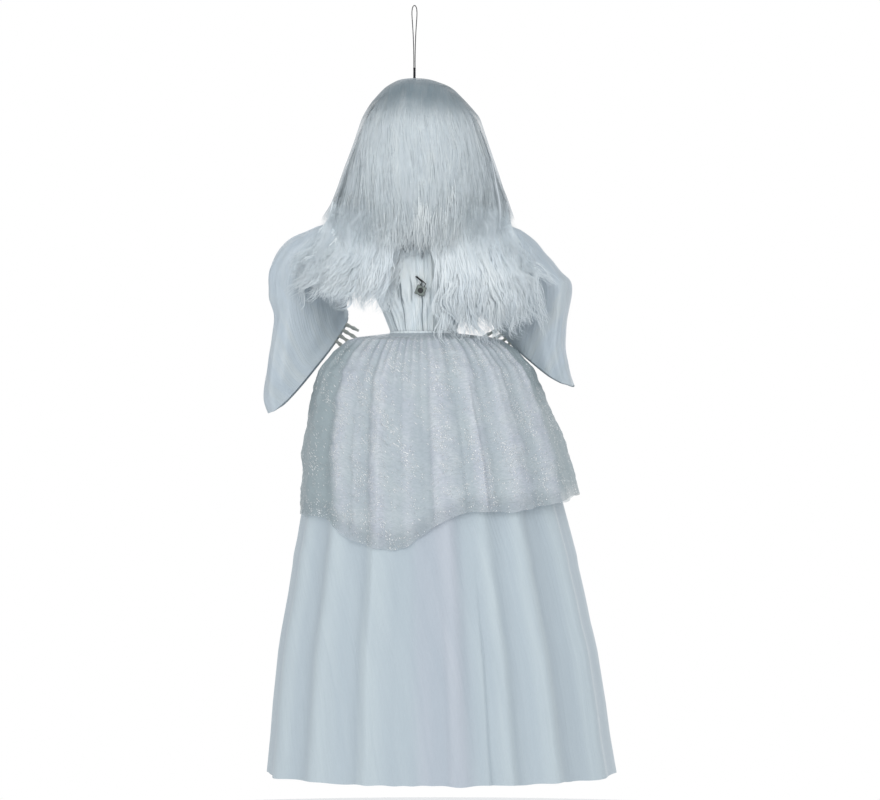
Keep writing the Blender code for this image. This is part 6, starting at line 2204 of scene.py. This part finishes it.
@dataclass(frozen=True)
class Sleeve:
    """A bell sleeve with a long hanging point.

    Attributes:
        side: Which arm it is on.
        length: The length that its sections are given in.
        rows: Rows of points from the shoulder to the point.
        columns: Points round each row.
        squareness: How square its sections are; 2 is an ellipse.
        inset: How far the cloth lies inside its sections.
        crumple: Height of its crumples.
        valley: Depth of a fold that is shaded fully.
        upper_tuck: How far the hem's upper end lies inwards of the seam.
        lower_tuck: How far its lower end does.
        head_drop: How far its upper end lies under the seam.
        seam_out: How far the seam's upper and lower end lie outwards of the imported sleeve's start.
        seam_rise: Heights of those ends over the shoulder, in lengths.
        head_depths: Half depth at the hem and at the seam, in lengths.
    """

    side: Side
    length: float = 0.100
    rows: int = 110
    columns: int = 200
    squareness: float = 3.0
    inset: float = 0.0006
    crumple: float = 0.0030
    valley: float = 0.006
    upper_tuck: float = 0.0165
    lower_tuck: float = 0.0060
    head_drop: float = 0.0120
    seam_out: tuple[float, float] = (0.0108, 0.0006)
    seam_rise: tuple[float, float] = (0.24, -0.44)
    head_depths: tuple[float, float] = (0.25, 0.29)

    def shoulder(self) -> Vector:
        """Find the middle of the shoulder pin, which carries the arm.

        Returns:
            The place.
        """
        low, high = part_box(f"shoulder_pin_{self.side.word}")
        joint = next(j for j in frame["joints"] if j["name"] == f"shoulder_{self.side.word}")
        return Vector((joint["pos_m"][0], (low.y + high.y) / 2.0, (low.z + high.z) / 2.0))

    def seam(self) -> tuple[Vector, ...]:
        """Find the armhole seam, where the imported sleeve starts.

        Returns:
            Its upper and its lower end.
        """
        low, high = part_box(f"sleeve_{self.side.word}")
        start = low.x if self.side is Side.LEFT else high.x
        shoulder = self.shoulder()
        return tuple(Vector((start + self.side.value * out, 0.0, shoulder.z + rise * self.length))
                     for out, rise in zip(self.seam_out, self.seam_rise))

    def hems(self) -> tuple[np.ndarray, np.ndarray]:
        """Find the head's hem, which is sewn just inside the top of the dress.

        Returns:
            Its upper and its lower end.
        """
        upper, lower = self.seam()
        drawn = self.side.value * np.array([1.0, 0.0, 0.0])
        return (np.array(upper) - drawn * self.upper_tuck + np.array([0.0, 0.0, -self.head_drop]),
                np.array(lower) - drawn * self.lower_tuck)

    def rails(self) -> tuple[np.ndarray, np.ndarray, np.ndarray, np.ndarray]:
        """Lay smooth lines through the outer ends, inner ends, depths and sags of the sections.

        Returns:
            The four lines, each with one entry a row.
        """
        shoulder = self.shoulder()
        upper, lower = self.seam()
        hem_upper, hem_lower = self.hems()
        outer = [hem_upper, np.array(upper)]
        inner = [hem_lower, np.array(lower)]
        sizes = [np.array([depth * self.length, 0.0]) for depth in self.head_depths]
        for section in SLEEVE_SECTIONS[self.side]:
            for ends, share in ((outer, section.outer), (inner, section.inner)):
                offset = Vector((self.side.value * share[0], share[1], share[2])) * self.length
                ends.append(np.array(shoulder + offset))
            sizes.append(np.array([section.depth, section.sag]) * self.length)
        table = np.concatenate([np.array(outer), np.array(inner), np.array(sizes)], axis=1)
        smooth = catmull(table, self.rows)
        return smooth[:, :3], smooth[:, 3:6], smooth[:, 6], smooth[:, 7]

    def build(self) -> None:
        """Make the sleeve."""
        outer, inner, depth, sag = self.rails()
        points = np.zeros((self.rows, self.columns, 3))
        angles = around(self.columns)
        power = 2.0 / self.squareness
        cosine, sine = (np.sign(wave) * np.abs(wave) ** power for wave in (np.cos(angles), np.sin(angles)))
        masks = np.zeros((self.rows, self.columns))
        for i in range(self.rows):
            share = i / (self.rows - 1)
            middle = (outer[i] + inner[i]) / 2.0
            half = (outer[i] - inner[i]) / 2.0
            reach = max(np.linalg.norm(half) - self.inset, 0.001) / np.linalg.norm(half)
            across = np.array([half[0], 0.0, half[2]])
            across /= np.linalg.norm(across)
            below = np.array([-across[2], 0.0, across[0]])
            if below[2] > 0.0:
                below = -below
            ring = middle + np.outer(cosine, half * reach)
            ring[:, 1] += (depth[i] - self.inset) * sine
            ring += np.outer(np.abs(np.sin(angles)), below * sag[i])
            fold = self.folds(angles, share)
            normal = np.stack([cosine * across[0], sine, cosine * across[2]], axis=1)
            normal /= np.linalg.norm(normal, axis=1, keepdims=True)
            crumple = ripple(ring * np.array([22.0, 22.0, 14.0]), 4.0 + self.side.value)
            crumple += 0.5 * ripple(ring * np.array([60.0, 60.0, 42.0]), 9.0)
            fold = fold + self.crumple * crumple * min(share * 5.0, 1.0)
            points[i] = ring + normal * fold[:, None]
            masks[i] = np.clip(0.5 - fold / self.valley, 0.0, 1.0)
        if self.side is Side.RIGHT:
            points = points[:, ::-1]
            masks = masks[:, ::-1]
        grid = Grid(f"sleeve_{self.side.word}_cloth", points, True, {"valley": masks})
        obj = grid.hang(PALETTE.sleeve, f"sleeve_{self.side.word}")
        seam_upper, _ = self.seam()
        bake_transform(obj)

    def folds(self, angles: np.ndarray, share: float) -> np.ndarray:
        """Raise the folds that fall from the shoulder to the point.

        Args:
            angles: Angles round the section, from its outer end round the back.
            share: Share of the way from the seam to the mouth.

        Returns:
            The height at each angle.
        """
        sway = 1.2 * math.sin(share * 4.2 + self.side.value)
        broad = 0.0016 * np.cos(angles * 5.0 + sway) * min(share * 3.0, 1.0)
        fine = 0.0008 * np.cos(angles * 13.0 - sway * 2.0 + share * 3.0) * (0.35 + 0.65 * share)
        gather = 0.0010 * math.exp(-share * 9.0) * np.cos(angles * 24.0) * min(share * 40.0, 1.0)
        return broad + fine + gather - 0.0012


# Wig


@dataclass(frozen=True)
class Lock:
    """One lock of hair.

    Attributes:
        strands: How many strands it has.
        width: Its half width at the root.
        spread: How much wider it is at its end, in root widths.
        curl: Half width of its curls at the end.
        wave: Length of one curl.
        stray: How far single strands leave it.
        light: Mean tone, from 0 to 1.
        thick: Its thickness, in widths.
    """

    strands: int
    width: float
    spread: float
    curl: float
    wave: float
    stray: float
    light: float
    thick: float = 0.34


class Tress:
    """A piece of the wig, made of locks of single strands."""

    # Points along a strand, a full turn for random starts, and the UV length of one step.
    steps = 24
    turn = 6.28
    strand_step = 0.008

    def __init__(self, name: str, nodes: tuple[str, ...], seed: int,
                 finish: HairFinish = PALETTE.hair) -> None:
        """Start an empty piece.

        Args:
            name: Name of the piece.
            nodes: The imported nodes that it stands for.
            seed: Start of its random numbers.
            finish: Its finish.
        """
        self.name = name
        self.finish = finish
        self.nodes = nodes
        self.random = np.random.default_rng(seed)
        self.points: list[np.ndarray] = []
        self.faces: list[tuple[int, ...]] = []
        self.tones: list[np.ndarray] = []
        self.places: list[tuple[float, float]] = []
        self.total = 0

    def add(self, route: np.ndarray, outward: np.ndarray, lock: Lock) -> None:
        """Lay one lock's strands along a route.

        Args:
            route: Points of the lock's middle, root first.
            outward: Direction away from the body at each point.
            lock: What the lock is like.
        """
        steps = self.steps
        both = catmull(np.concatenate([route, outward], axis=1), steps)
        line, out = both[:, :3], both[:, 3:]
        out = out / np.linalg.norm(out, axis=1, keepdims=True)
        shares = np.linspace(0.0, 1.0, steps)
        length = float(np.linalg.norm(np.diff(line, axis=0), axis=1).sum())
        ahead = np.gradient(line, axis=0)
        ahead /= np.linalg.norm(ahead, axis=1, keepdims=True)
        aside = np.cross(ahead, out)
        aside /= np.linalg.norm(aside, axis=1, keepdims=True)
        random = self.random
        turn = 2.0 * math.pi * length * shares / lock.wave + random.uniform(0.0, self.turn)
        grown = shares ** 1.4
        sway = lock.curl * grown * np.sin(turn)
        lift = lock.curl * 0.5 * grown * np.cos(turn)
        width = lock.width * (1.0 + (lock.spread - 1.0) * shares)
        for _ in range(lock.strands):
            spot = math.sqrt(random.random())
            angle = random.uniform(0.0, self.turn) + 2.2 * shares + 0.5 * np.sin(turn)
            strays = random.normal(0.0, lock.stray, 2)
            waves = random.uniform(0.5, 2.2, 2) * self.turn
            starts = random.uniform(0.0, self.turn, 2)
            side = (sway + width * spot * np.cos(angle)
                    + strays[0] * shares * np.sin(waves[0] * shares + starts[0]))
            away = (lift + width * lock.thick * spot * np.sin(angle)
                    + strays[1] * 0.6 * shares * np.sin(waves[1] * shares + starts[1]))
            path = line + aside * side[:, None] + out * away[:, None]
            end = 1.0 - 0.34 * random.random() ** 1.4
            path = np.stack([np.interp(shares * end, shares, path[:, k]) for k in range(3)], axis=1)
            # Where a strand lies on the lock's outer face its tone is lighter, and under it darker, as
            # painted shade; the rest differs at random.
            tone = lock.light + 0.10 * spot * np.sin(angle) + random.normal(0.0, 0.08)
            self.ribbon(path, aside, np.clip(tone, 0.0, 1.0), random.uniform(0.00040, 0.00085))

    def ribbon(self, path: np.ndarray, aside: np.ndarray, tone: np.ndarray, half: float) -> None:
        """Add one strand as a narrow ribbon.

        Args:
            path: The strand's middle line.
            aside: Direction of its width at each point.
            tone: Its tone at each point.
            half: Half of its width.
        """
        steps = len(path)
        taper = half * np.minimum(1.0, 2.2 * (1.0 - np.linspace(0.0, 1.0, steps)) + 0.15)
        both = np.empty((steps * 2, 3))
        both[0::2] = path - aside * taper[:, None]
        both[1::2] = path + aside * taper[:, None]
        start = self.total
        self.points.append(both)
        self.total += steps * 2
        shift = self.random.random()
        for i in range(steps - 1):
            a = start + 2 * i
            self.faces.append((a, a + 1, a + 3, a + 2))
            v = shift + i * self.strand_step
            end = v + self.strand_step
            self.places += [(shift, v), (shift + half * 2.0, v), (shift + half * 2.0, end), (shift, end)]
        self.tones.append(np.repeat(tone, 2))

    def build(self) -> bpy.types.Object:
        """Make the strands' object.

        Returns:
            The new object.
        """
        obj = piece_from(self.name, np.concatenate(self.points), self.faces)
        lay_uv(obj.data, self.places)
        hold(obj.data, "tone", np.concatenate(self.tones))
        self.finish.dress(obj)
        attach(obj, "figure")
        if self.nodes:
            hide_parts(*self.nodes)
        log.info("%s: %d faces", self.name, len(self.faces))
        return obj


HEAD_MIDDLE = (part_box("skull")[0].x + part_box("skull")[1].x) / 2.0
FRINGE_LOCKS = 20
FRINGE_SEEDS = {Side.LEFT: 21, Side.RIGHT: 22}


@dataclass(frozen=True)
class Fall:
    """Locks that fall from the head over a shoulder or down the back.

    Attributes:
        name: Name of the piece.
        nodes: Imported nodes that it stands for.
        count: How many locks it has.
        roots: Sideways places of the outermost roots.
        ends: Sideways places of the outermost ends.
        drop: Heights of the ends at those two places.
        rough: How much single locks differ in length.
        seed: Start of its random numbers.
        tucked: How much deeper than the others its roots lie.
    """

    name: str
    nodes: tuple[str, ...]
    count: int
    roots: tuple[float, float]
    ends: tuple[float, float]
    drop: tuple[float, float]
    rough: float
    seed: int
    tucked: float = 0.0


FALLS = (
    Fall("hair_fall_left", ("wig_lock_left",), 68, (0.016, 0.098), (0.024, 0.162), (-0.392, -0.364),
         0.036, 31),
    Fall("hair_fall_right", ("wig_lock_right",), 72, (-0.030, -0.110), (-0.046, -0.172), (-0.430, -0.402),
         0.050, 32),
    Fall("hair_fall_middle", (), 26, (0.030, -0.042), (0.036, -0.050), (-0.316, -0.326),
         0.018, 33, 0.006),
)


@dataclass(frozen=True)
class Wig:
    """The cap and the hair on it.

    Attributes:
        root_height: Height of the head's roots.
        sides: Degrees between which the left side's hair lies.
        dome: Depth of the dome's middle under the cap's top.
        dome_back: How far back it lies.
        cap_inset: How far the knit lies inside the cap's skin.
        layer_depth: How far the under-layer lies inside the hair's skin.
        hug: How far a falling lock comes in where it lies on nothing, and at its root.
        net_room: Room between the veil and the locks under it.
        root_sink: How much deeper a falling lock's root lies.
    """

    root_height: float = -0.1330
    sides: tuple[float, float] = (-62.0, 30.0)
    dome: float = 0.040
    dome_back: float = 0.004
    cap_inset: float = 0.0004
    layer_depth: float = 0.0052
    hug: float = 0.004
    net_room: float = 0.0050
    root_sink: float = 0.011

    def build(self) -> None:
        """Make the cap, the under-layer and every lock."""
        self.cap()
        self.fringe()
        head = Solid("wig_hair_back", "wig_hair_left", "wig_hair_right")
        body = Solid("wig_hair_back", "wig_lock_left", "wig_lock_right", "sleeve_left", "sleeve_right",
                     "bodice", "overskirt")
        veil = Solid("veil")
        self.under_layer(head)
        self.head_hair(head)
        for fall in FALLS:
            self.falling(fall, body, veil)

    def dome_middle(self) -> Vector:
        """Find the middle that the cap's dome is measured from.

        Returns:
            The place.
        """
        return Vector((HEAD_MIDDLE, self.dome_back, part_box("wig_cap")[1].z - self.dome))

    def cap(self) -> None:
        """Make the knitted cap that the hair is sewn to."""
        solid = Solid("wig_cap")
        rows, columns = 60, 160
        middle = self.dome_middle()
        degrees = np.arange(columns) * 360.0 / columns
        points = np.zeros((rows, columns, 3))
        for k, degree in enumerate(degrees):
            reach = 0.03
            low = self.rim_rise(solid, middle, float(degree))
            for i in range(rows):
                rise = math.radians(89.0 + (low - 89.0) * i / (rows - 1))
                way = upward(math.radians(degree), rise)
                reach = solid.reach(middle, way, reach)
                points[i, k] = np.array(middle + way * (reach - self.cap_inset))
        # The knit's ribs get painted shade in their grooves.
        ribs = 0.5 + 0.5 * np.cos(np.radians(degrees) * 60.0)
        grid = Grid("wig_cap_knit", points, True, {"valley": np.tile(ribs, (rows, 1))})
        obj = grid.hang(PALETTE.cap, "wig_cap")
        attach(obj, "figure")

    def rim_rise(self, solid: Solid, middle: Vector, degree: float) -> float:
        """Find the rise of the cap's rim at an angle.

        Args:
            solid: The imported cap.
            middle: Middle of its dome.
            degree: The angle.

        Returns:
            The rise in degrees.
        """
        high, low = 60.0, -70.0
        for _ in range(12):
            rise = (high + low) / 2.0
            if solid.reach(middle, upward(math.radians(degree), math.radians(rise))) is None:
                low = rise
            else:
                high = rise
        return high + 0.5

    def fringe(self) -> None:
        """Make the strands combed from the parting down both sides of the forehead."""
        under = Solid("wig_cap", "skull")
        middle = self.dome_middle()
        for side in Side:
            tress = Tress(f"hair_front_{side.word}", (), FRINGE_SEEDS[side])
            random = tress.random
            for k in range(FRINGE_LOCKS):
                start = 90.0 - 26.0 * (k + random.random()) / FRINGE_LOCKS
                turn = -90.0 + side.value * random.uniform(1.0, 7.0)
                end_turn = -90.0 + side.value * (34.0 + 26.0 * (k + random.random()) / FRINGE_LOCKS)
                places = []
                ways = []
                reach = 0.04
                for t in np.linspace(0.0, 1.0, 9):
                    rise = start + (random.uniform(-1.0, 1.0) * 2.0 - 22.0 - start) * t
                    way = upward(math.radians(turn + (end_turn - turn) * t ** 0.8), math.radians(rise))
                    reach = under.reach(middle, way, reach)
                    places.append(np.array(middle + way * (reach + 0.0012)))
                    ways.append(np.array(way))
                tress.add(np.array(places), np.array(ways),
                          Lock(34, random.uniform(0.0035, 0.0055), 1.2, random.uniform(0.0005, 0.0020),
                               random.uniform(0.05, 0.09), 0.0008, random.uniform(0.45, 0.75), 0.18))
            tress.build()

    @staticmethod
    def on_head(head: Solid, degrees: float, z: float, depth: float, last: float
                ) -> tuple[np.ndarray, np.ndarray, float]:
        """Find a place on the head's hair, or straight under its rim.

        Args:
            head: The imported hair.
            degrees: Angle round the head.
            z: Height.
            depth: How far inside the skin.
            last: Reach to use where there is no hair.

        Returns:
            The place, the direction outward and the reach.
        """
        way = level(math.radians(degrees))
        centre = Vector((HEAD_MIDDLE, 0.0, z))
        reach = head.reach(centre, way, last)
        return np.array(centre + way * (reach - depth)), np.array(way), reach

    @staticmethod
    def edges(head: Solid, z: float) -> tuple[float, ...]:
        """Find the hair's two front edges at a height.

        Args:
            head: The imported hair.
            z: The height.

        Returns:
            The left and the right edge in degrees.
        """
        centre = Vector((HEAD_MIDDLE, 0.0, z))
        return front_edges(lambda degree: head.reach(centre, level(math.radians(degree))) is not None)

    def under_layer(self, head: Solid) -> None:
        """Make the combed layer that closes the wig under its strands.

        Args:
            head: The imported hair.
        """
        rows, columns = 70, 170
        top = head.high.z - 0.0008
        low = head.low.z + 0.001
        heights = top + (low - top) * np.linspace(0.0, 1.0, rows) ** 1.6
        edges = np.array([self.edges(head, z) for z in heights])
        points = np.zeros((rows, columns, 3))
        for k, share in enumerate(np.linspace(0.0, 1.0, columns)):
            last = 0.03
            ragged = 0.010 * noise.noise(Vector((share * 31.0, 0.0, 0.0))) + 0.008
            for i in range(rows):
                angle = edges[i, 0] + 1.5 + (edges[i, 1] - edges[i, 0] - 3.0) * share
                z = heights[i] + ragged * (i / (rows - 1)) ** 3
                points[i, k], _, last = self.on_head(head, angle, z, self.layer_depth, last)
        share = np.linspace(0.0, 1.0, rows)[:, None]
        tone = 0.55 + 0.20 * ripple(points * np.array([150.0, 150.0, 12.0]), 5.0)
        tone = tone + 0.25 * smoothstep(0.3, 0.7, share)
        obj = Grid("hair_under_layer", points, False, {"tone": np.clip(tone, 0.0, 1.0)}).build()
        PALETTE.hair.dress(obj)
        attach(obj, "figure")

    def head_hair(self, head: Solid) -> None:
        """Make the strands that lie round the head.

        Args:
            head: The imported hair.
        """
        parts = (("hair_back", ("wig_hair_back",), 30.0, 150.0, 84, 11),
                 ("hair_left", ("wig_hair_left",), self.sides[0], self.sides[1] + 4.0, 46, 12),
                 ("hair_right", ("wig_hair_right",), 176.0 - self.sides[1], 180.0 - self.sides[0], 46, 13))
        for name, nodes, first, last, count, seed in parts:
            tress = Tress(name, nodes, seed)
            random = tress.random
            for k in range(count):
                angle = first + (last - first) * (k + random.uniform(0.0, 1.0)) / count
                root = self.root_height - random.uniform(0.0, 0.012)
                root += 0.020 if random.random() < 0.15 else 0.0
                end = -0.286 - random.uniform(0.0, 0.034)
                drift = random.uniform(-6.0, 6.0)
                depth = random.uniform(0.0030, 0.0054)
                places = []
                ways = []
                reach = 0.075
                for t in np.linspace(0.0, 1.0, 9):
                    sunk = depth + 0.002 * (1.0 - min(t * 5.0, 1.0))
                    z = root + (end - root) * t
                    left, right = self.edges(head, max(z, head.low.z + 0.004))
                    turned = min(max(angle + drift * t, left + 5.0), right - 5.0)
                    spot, way, reach = self.on_head(head, turned, z, sunk, reach)
                    places.append(spot)
                    ways.append(way)
                tress.add(np.array(places), np.array(ways),
                          Lock(38, random.uniform(0.0050, 0.0085), 1.3, random.uniform(0.001, 0.007),
                               random.uniform(0.055, 0.100), 0.0016, random.uniform(0.50, 0.78)))
            tress.build()

    def falling(self, fall: Fall, body: Solid, veil: Solid) -> None:
        """Make locks that fall over the back and the sleeves.

        Args:
            fall: Where the locks start and end.
            body: All that they lie on.
            veil: The net that covers their roots.
        """
        tress = Tress(fall.name, fall.nodes, fall.seed, PALETTE.ends)
        random = tress.random
        steps = np.linspace(0.0, 1.0, 10)
        for k in range(fall.count):
            share = min(max((k + random.uniform(-0.8, 0.8)) / (fall.count - 1), 0.0), 1.0)
            root, tip, end = (first + (last - first) * share
                              for first, last in (fall.roots, fall.ends, fall.drop))
            tip += random.normal(0.0, 0.006)
            end += fall.rough * random.uniform(-0.3, 1.0)
            start = -0.244 - 0.014 * random.random()
            layer = random.uniform(0.0005, 0.0080)
            back = 0.040
            places = []
            covers = []
            for t in steps:
                x = root + (tip - root) * t ** 1.7
                z = start + (end - start) * t
                y = body.back(x, z, back)
                back = y - self.hug
                net = veil.back(x, z)
                covers.append(1.0 if net is None else net - self.net_room)
                places.append((x, y, z))
            route = np.array(places)
            for _ in range(3):
                route[1:-1, 1] = (route[:-2, 1] + route[1:-1, 1] + route[2:, 1]) / 3.0
            route[:, 1] += layer * steps ** 0.5 - self.hug * (1.0 - steps)
            sunk = (self.root_sink + fall.tucked) * (1.0 - steps) ** 2
            route[:, 1] = np.minimum(route[:, 1], np.array(covers)) - sunk
            outward = np.tile(np.array([0.0, 1.0, 0.0]), (len(steps), 1))
            outward[:, 0] = np.clip(route[:, 0] * 4.0, -0.6, 0.6)
            tress.add(route, outward,
                      Lock(42, random.uniform(0.0055, 0.0090), 1.0, random.uniform(0.004, 0.012),
                           random.uniform(0.050, 0.085), 0.0036, random.uniform(0.50, 0.80), 0.20))
        tress.build()


# Veil


@dataclass(frozen=True)
class Veil:
    """The sheer net over the hair, open in front.

    Attributes:
        rows: Rows of points from the crown to the hem.
        columns: Points in each row, from the left front edge round the back to the right one.
        pole: Depth of the crown's middle under its top.
        loose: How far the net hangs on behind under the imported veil's hem.
        front: Degrees of its left and its right edge.
    """

    rows: int = 110
    columns: int = 260
    pole: float = 0.030
    loose: float = 0.022
    front: tuple[float, float] = (-44.0, 224.0)

    @property
    def domes(self) -> int:
        """How many of the rows belong to the crown's dome."""
        return self.rows // 4

    def build(self) -> None:
        """Make the veil."""
        solid = Solid("veil")
        shares = np.linspace(0.0, 1.0, self.columns)
        middle = Vector((HEAD_MIDDLE * 0.6, 0.0, solid.high.z - self.pole))
        degrees = np.linspace(*self.front, self.columns)
        low = self.hem_heights(solid, degrees)
        low = low - self.loose * smoothstep(-10.0, 40.0, degrees) * smoothstep(190.0, 140.0, degrees)
        points = np.zeros((self.rows, self.columns, 3))
        reach = np.full(self.columns, 0.02)
        sides = []
        for i in range(self.rows):
            edges = front_edges(lambda degree: solid.reach(*self.ray(middle, i, degree, low[0])) is not None)
            sides.append(edges if not sides else tuple(0.75 * np.array(sides[-1]) + 0.25 * np.array(edges)))
            for k, share in enumerate(shares):
                degree = sides[-1][0] + (sides[-1][1] - sides[-1][0]) * share
                centre, way = self.ray(middle, i, degree, low[k])
                reach[k] = solid.reach(centre, way, reach[k])
                points[i, k] = np.array(centre + way * reach[k])
        points = self.soften(points)
        points = self.flute(points, degrees)
        rows = np.linspace(0.0, 1.0, self.rows)[:, None]
        # Denser over the crown, at the hem, at both sides and along one fold behind; the crown takes painted
        # shade, and the hem is worn away, behind from farther up.
        dense = np.zeros((self.rows, self.columns))
        apex = 1.0 - 0.6 * smoothstep(0.16, 0.06, rows)
        crown = smoothstep(0.40, 0.24, rows) * apex * np.ones(self.columns)
        dense += smoothstep(0.40, 0.20, rows) * 0.66
        dense += smoothstep(0.985, 0.995, rows) * 0.5
        sideways = np.minimum(np.abs(degrees), np.abs(degrees - 180.0))
        dense += 0.28 * smoothstep(34.0, 6.0, sideways)[None, :] * smoothstep(0.10, 0.35, rows)
        behind = smoothstep(18.0, 40.0, degrees)[None, :] * smoothstep(162.0, 140.0, degrees)[None, :]
        worn = np.maximum(smoothstep(0.78, 1.0, rows) * behind, smoothstep(0.93, 1.0, rows))
        dense += 0.8 * smoothstep(2.0, 0.6, np.abs(degrees - 158.0))[None, :] * smoothstep(0.45, 0.70, rows)
        grid = Grid("veil_net", points, False,
                    {"dense": np.clip(dense, 0.0, 1.0), "worn": worn, "crown": crown})
        obj = grid.hang(PALETTE.net, "veil")
        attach(obj, "figure")

    def ray(self, middle: Vector, row: int, degree: float, low: float) -> tuple[Vector, Vector]:
        """Find the line from inside the head that a point of the veil lies on.

        Args:
            middle: Middle of the crown's dome.
            row: The point's row.
            degree: Its angle.
            low: Height of the hem under it.

        Returns:
            Start and direction of the line.
        """
        flat = level(math.radians(degree))
        if row < self.domes:
            rise = math.pi / 2.0 * (1.0 - (row + 0.15) / self.domes)
            return middle, flat * math.cos(rise) + Vector((0.0, 0.0, math.sin(rise)))
        share = (row - self.domes) / (self.rows - 1 - self.domes)
        aside = HEAD_MIDDLE * (0.6 + 0.4 * min(share * 3.0, 1.0))
        return Vector((aside, 0.0, middle.z + (low - middle.z) * share)), flat

    def hem_heights(self, solid: Solid, degrees: np.ndarray) -> np.ndarray:
        """Find the veil's lowest height at each angle.

        Args:
            solid: The measured veil.
            degrees: The angles.

        Returns:
            The height of the hem at each angle.
        """
        found = []
        for degree in degrees:
            way = level(math.radians(min(max(degree, -42.0), 222.0)))
            found.append(solid.foot(lambda z: Vector((HEAD_MIDDLE, 0.0, z)), way, -0.20) + 0.0006)
        return np.convolve(np.pad(found, 8, mode="edge"), np.ones(17) / 17.0, mode="valid")

    @staticmethod
    def soften(points: np.ndarray) -> np.ndarray:
        """Smooth the facets of the measured skin.

        Args:
            points: Rows by columns by 3.

        Returns:
            The smoothed points.
        """
        for _ in range(6):
            inner = points.copy()
            inner[:, 1:-1] = (points[:, :-2] + points[:, 1:-1] * 2.0 + points[:, 2:]) / 4.0
            points = inner
            inner = points.copy()
            inner[1:-1] = (points[:-2] + points[1:-1] * 2.0 + points[2:]) / 4.0
            points = inner
        return points

    @staticmethod
    def flute(points: np.ndarray, degrees: np.ndarray) -> np.ndarray:
        """Add the soft flutes that widen towards the hem.

        Args:
            points: Rows by columns by 3.
            degrees: Angle of each column.

        Returns:
            The fluted points.
        """
        count = points.shape[0]
        out = points.copy()
        out[:, :, 0] -= HEAD_MIDDLE
        out[:, :, 2] = 0.0
        length = np.linalg.norm(out, axis=2, keepdims=True)
        out = out / np.maximum(length, 1e-6)
        radians = np.radians(degrees)[None, :]
        share = np.linspace(0.0, 1.0, count)[:, None]
        broad = np.cos(radians * 11.0 + 2.0 * np.sin(radians * 3.0)) * 0.0016
        fine = np.cos(radians * 34.0 + share * 3.0) * 0.0006
        return points + out * ((broad + fine) * share ** 1.4 - 0.0008 * share)[:, :, None]


@dataclass(frozen=True)
class VeilFall:
    """The loose end of the veil that lies over one shoulder, the hair and the sleeve's top.

    Attributes:
        side: Which shoulder.
        inner: Distance of its inner edge from the middle.
        outer: Distance of its outer edge from the middle.
        top: Height of its upper edge near the head.
        slope: How far the upper edge has dropped at the outer edge.
        low: Height of its lower edge near the head.
        rows: Rows of points down it.
        columns: Points in each row.
        lift: How far it lies off what it rests on.
        blend_from: Distance from the middle where it starts to follow the arm, which is not used.
        blend_to: Distance where it follows the arm fully, which is not used.
    """

    side: Side
    inner: float
    outer: float
    top: float
    slope: float
    low: float
    rows: int = 40
    columns: int = 90
    lift: float = 0.0150
    blend_from: float = 0.060
    blend_to: float = 0.095

    def build(self) -> None:
        """Lay the loose end over the shoulder."""
        word = self.side.word
        body = Solid(f"sleeve_{word}", f"wig_lock_{word}", "wig_hair_back", "bodice")
        points = np.zeros((self.rows, self.columns, 3))
        across = np.linspace(0.0, 1.0, self.columns)
        down = np.linspace(0.0, 1.0, self.rows)
        middle = Skirt.axis(self.top)
        x = middle + self.side.value * (self.inner + (self.outer - self.inner) * across)
        upper = self.top - self.slope * smoothstep(0.45, 1.0, across)
        lower = self.low - 0.35 * self.slope * smoothstep(0.45, 1.0, across)
        lower = lower + 0.006 * np.sin(across * 17.0)
        for i in range(self.rows):
            z = upper + (lower - upper) * down[i]
            back = 0.030
            for k in range(self.columns):
                back = body.back(x[k], z[k], back)
                points[i, k] = (x[k], back, z[k])
        depth = points[:, :, 1]
        for _ in range(14):
            depth[1:-1, 1:-1] = (depth[:-2, 1:-1] + depth[2:, 1:-1]
                                 + depth[1:-1, :-2] + depth[1:-1, 2:]) / 4.0
            depth[0], depth[-1], depth[:, 0], depth[:, -1] = depth[1], depth[-2], depth[:, 1], depth[:, -2]
        folds = 0.0022 * np.cos(across * 26.0 + 5.0 * down[:, None]) * smoothstep(0.0, 0.4, down)[:, None]
        points[:, :, 1] = depth + self.lift + folds
        if self.side is Side.LEFT:
            points = points[:, ::-1]
            across = across[::-1]
        shown = (smoothstep(0.0, 0.22, across) * smoothstep(1.0, 0.90, across))[None, :]
        shown = shown * (smoothstep(0.0, 0.20, down) * smoothstep(1.0, 0.45, down))[:, None]
        grid = Grid(f"veil_fall_{word}", points, False,
                    {"dense": np.full(shown.shape, 0.12), "worn": 1.0 - shown})
        obj = grid.hang(PALETTE.net, None)
        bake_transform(obj)


VEIL_FALLS = (
    VeilFall(Side.LEFT, 0.040, 0.168, -0.252, 0.064, -0.345),
    VeilFall(Side.RIGHT, 0.050, 0.150, -0.252, 0.054, -0.338),
)


def main() -> None:
    """Build the scene, sub-assembly by sub-assembly."""
    builders = (Studio(), Cords(), Works(), Skirts(), Bodice(), Sleeve(Side.LEFT), Sleeve(Side.RIGHT),
                Wig(), Veil(), *VEIL_FALLS)
    for builder in builders:
        builder.build()
        log.info("built %s", type(builder).__name__)


if __name__ == "__main__":
    main()
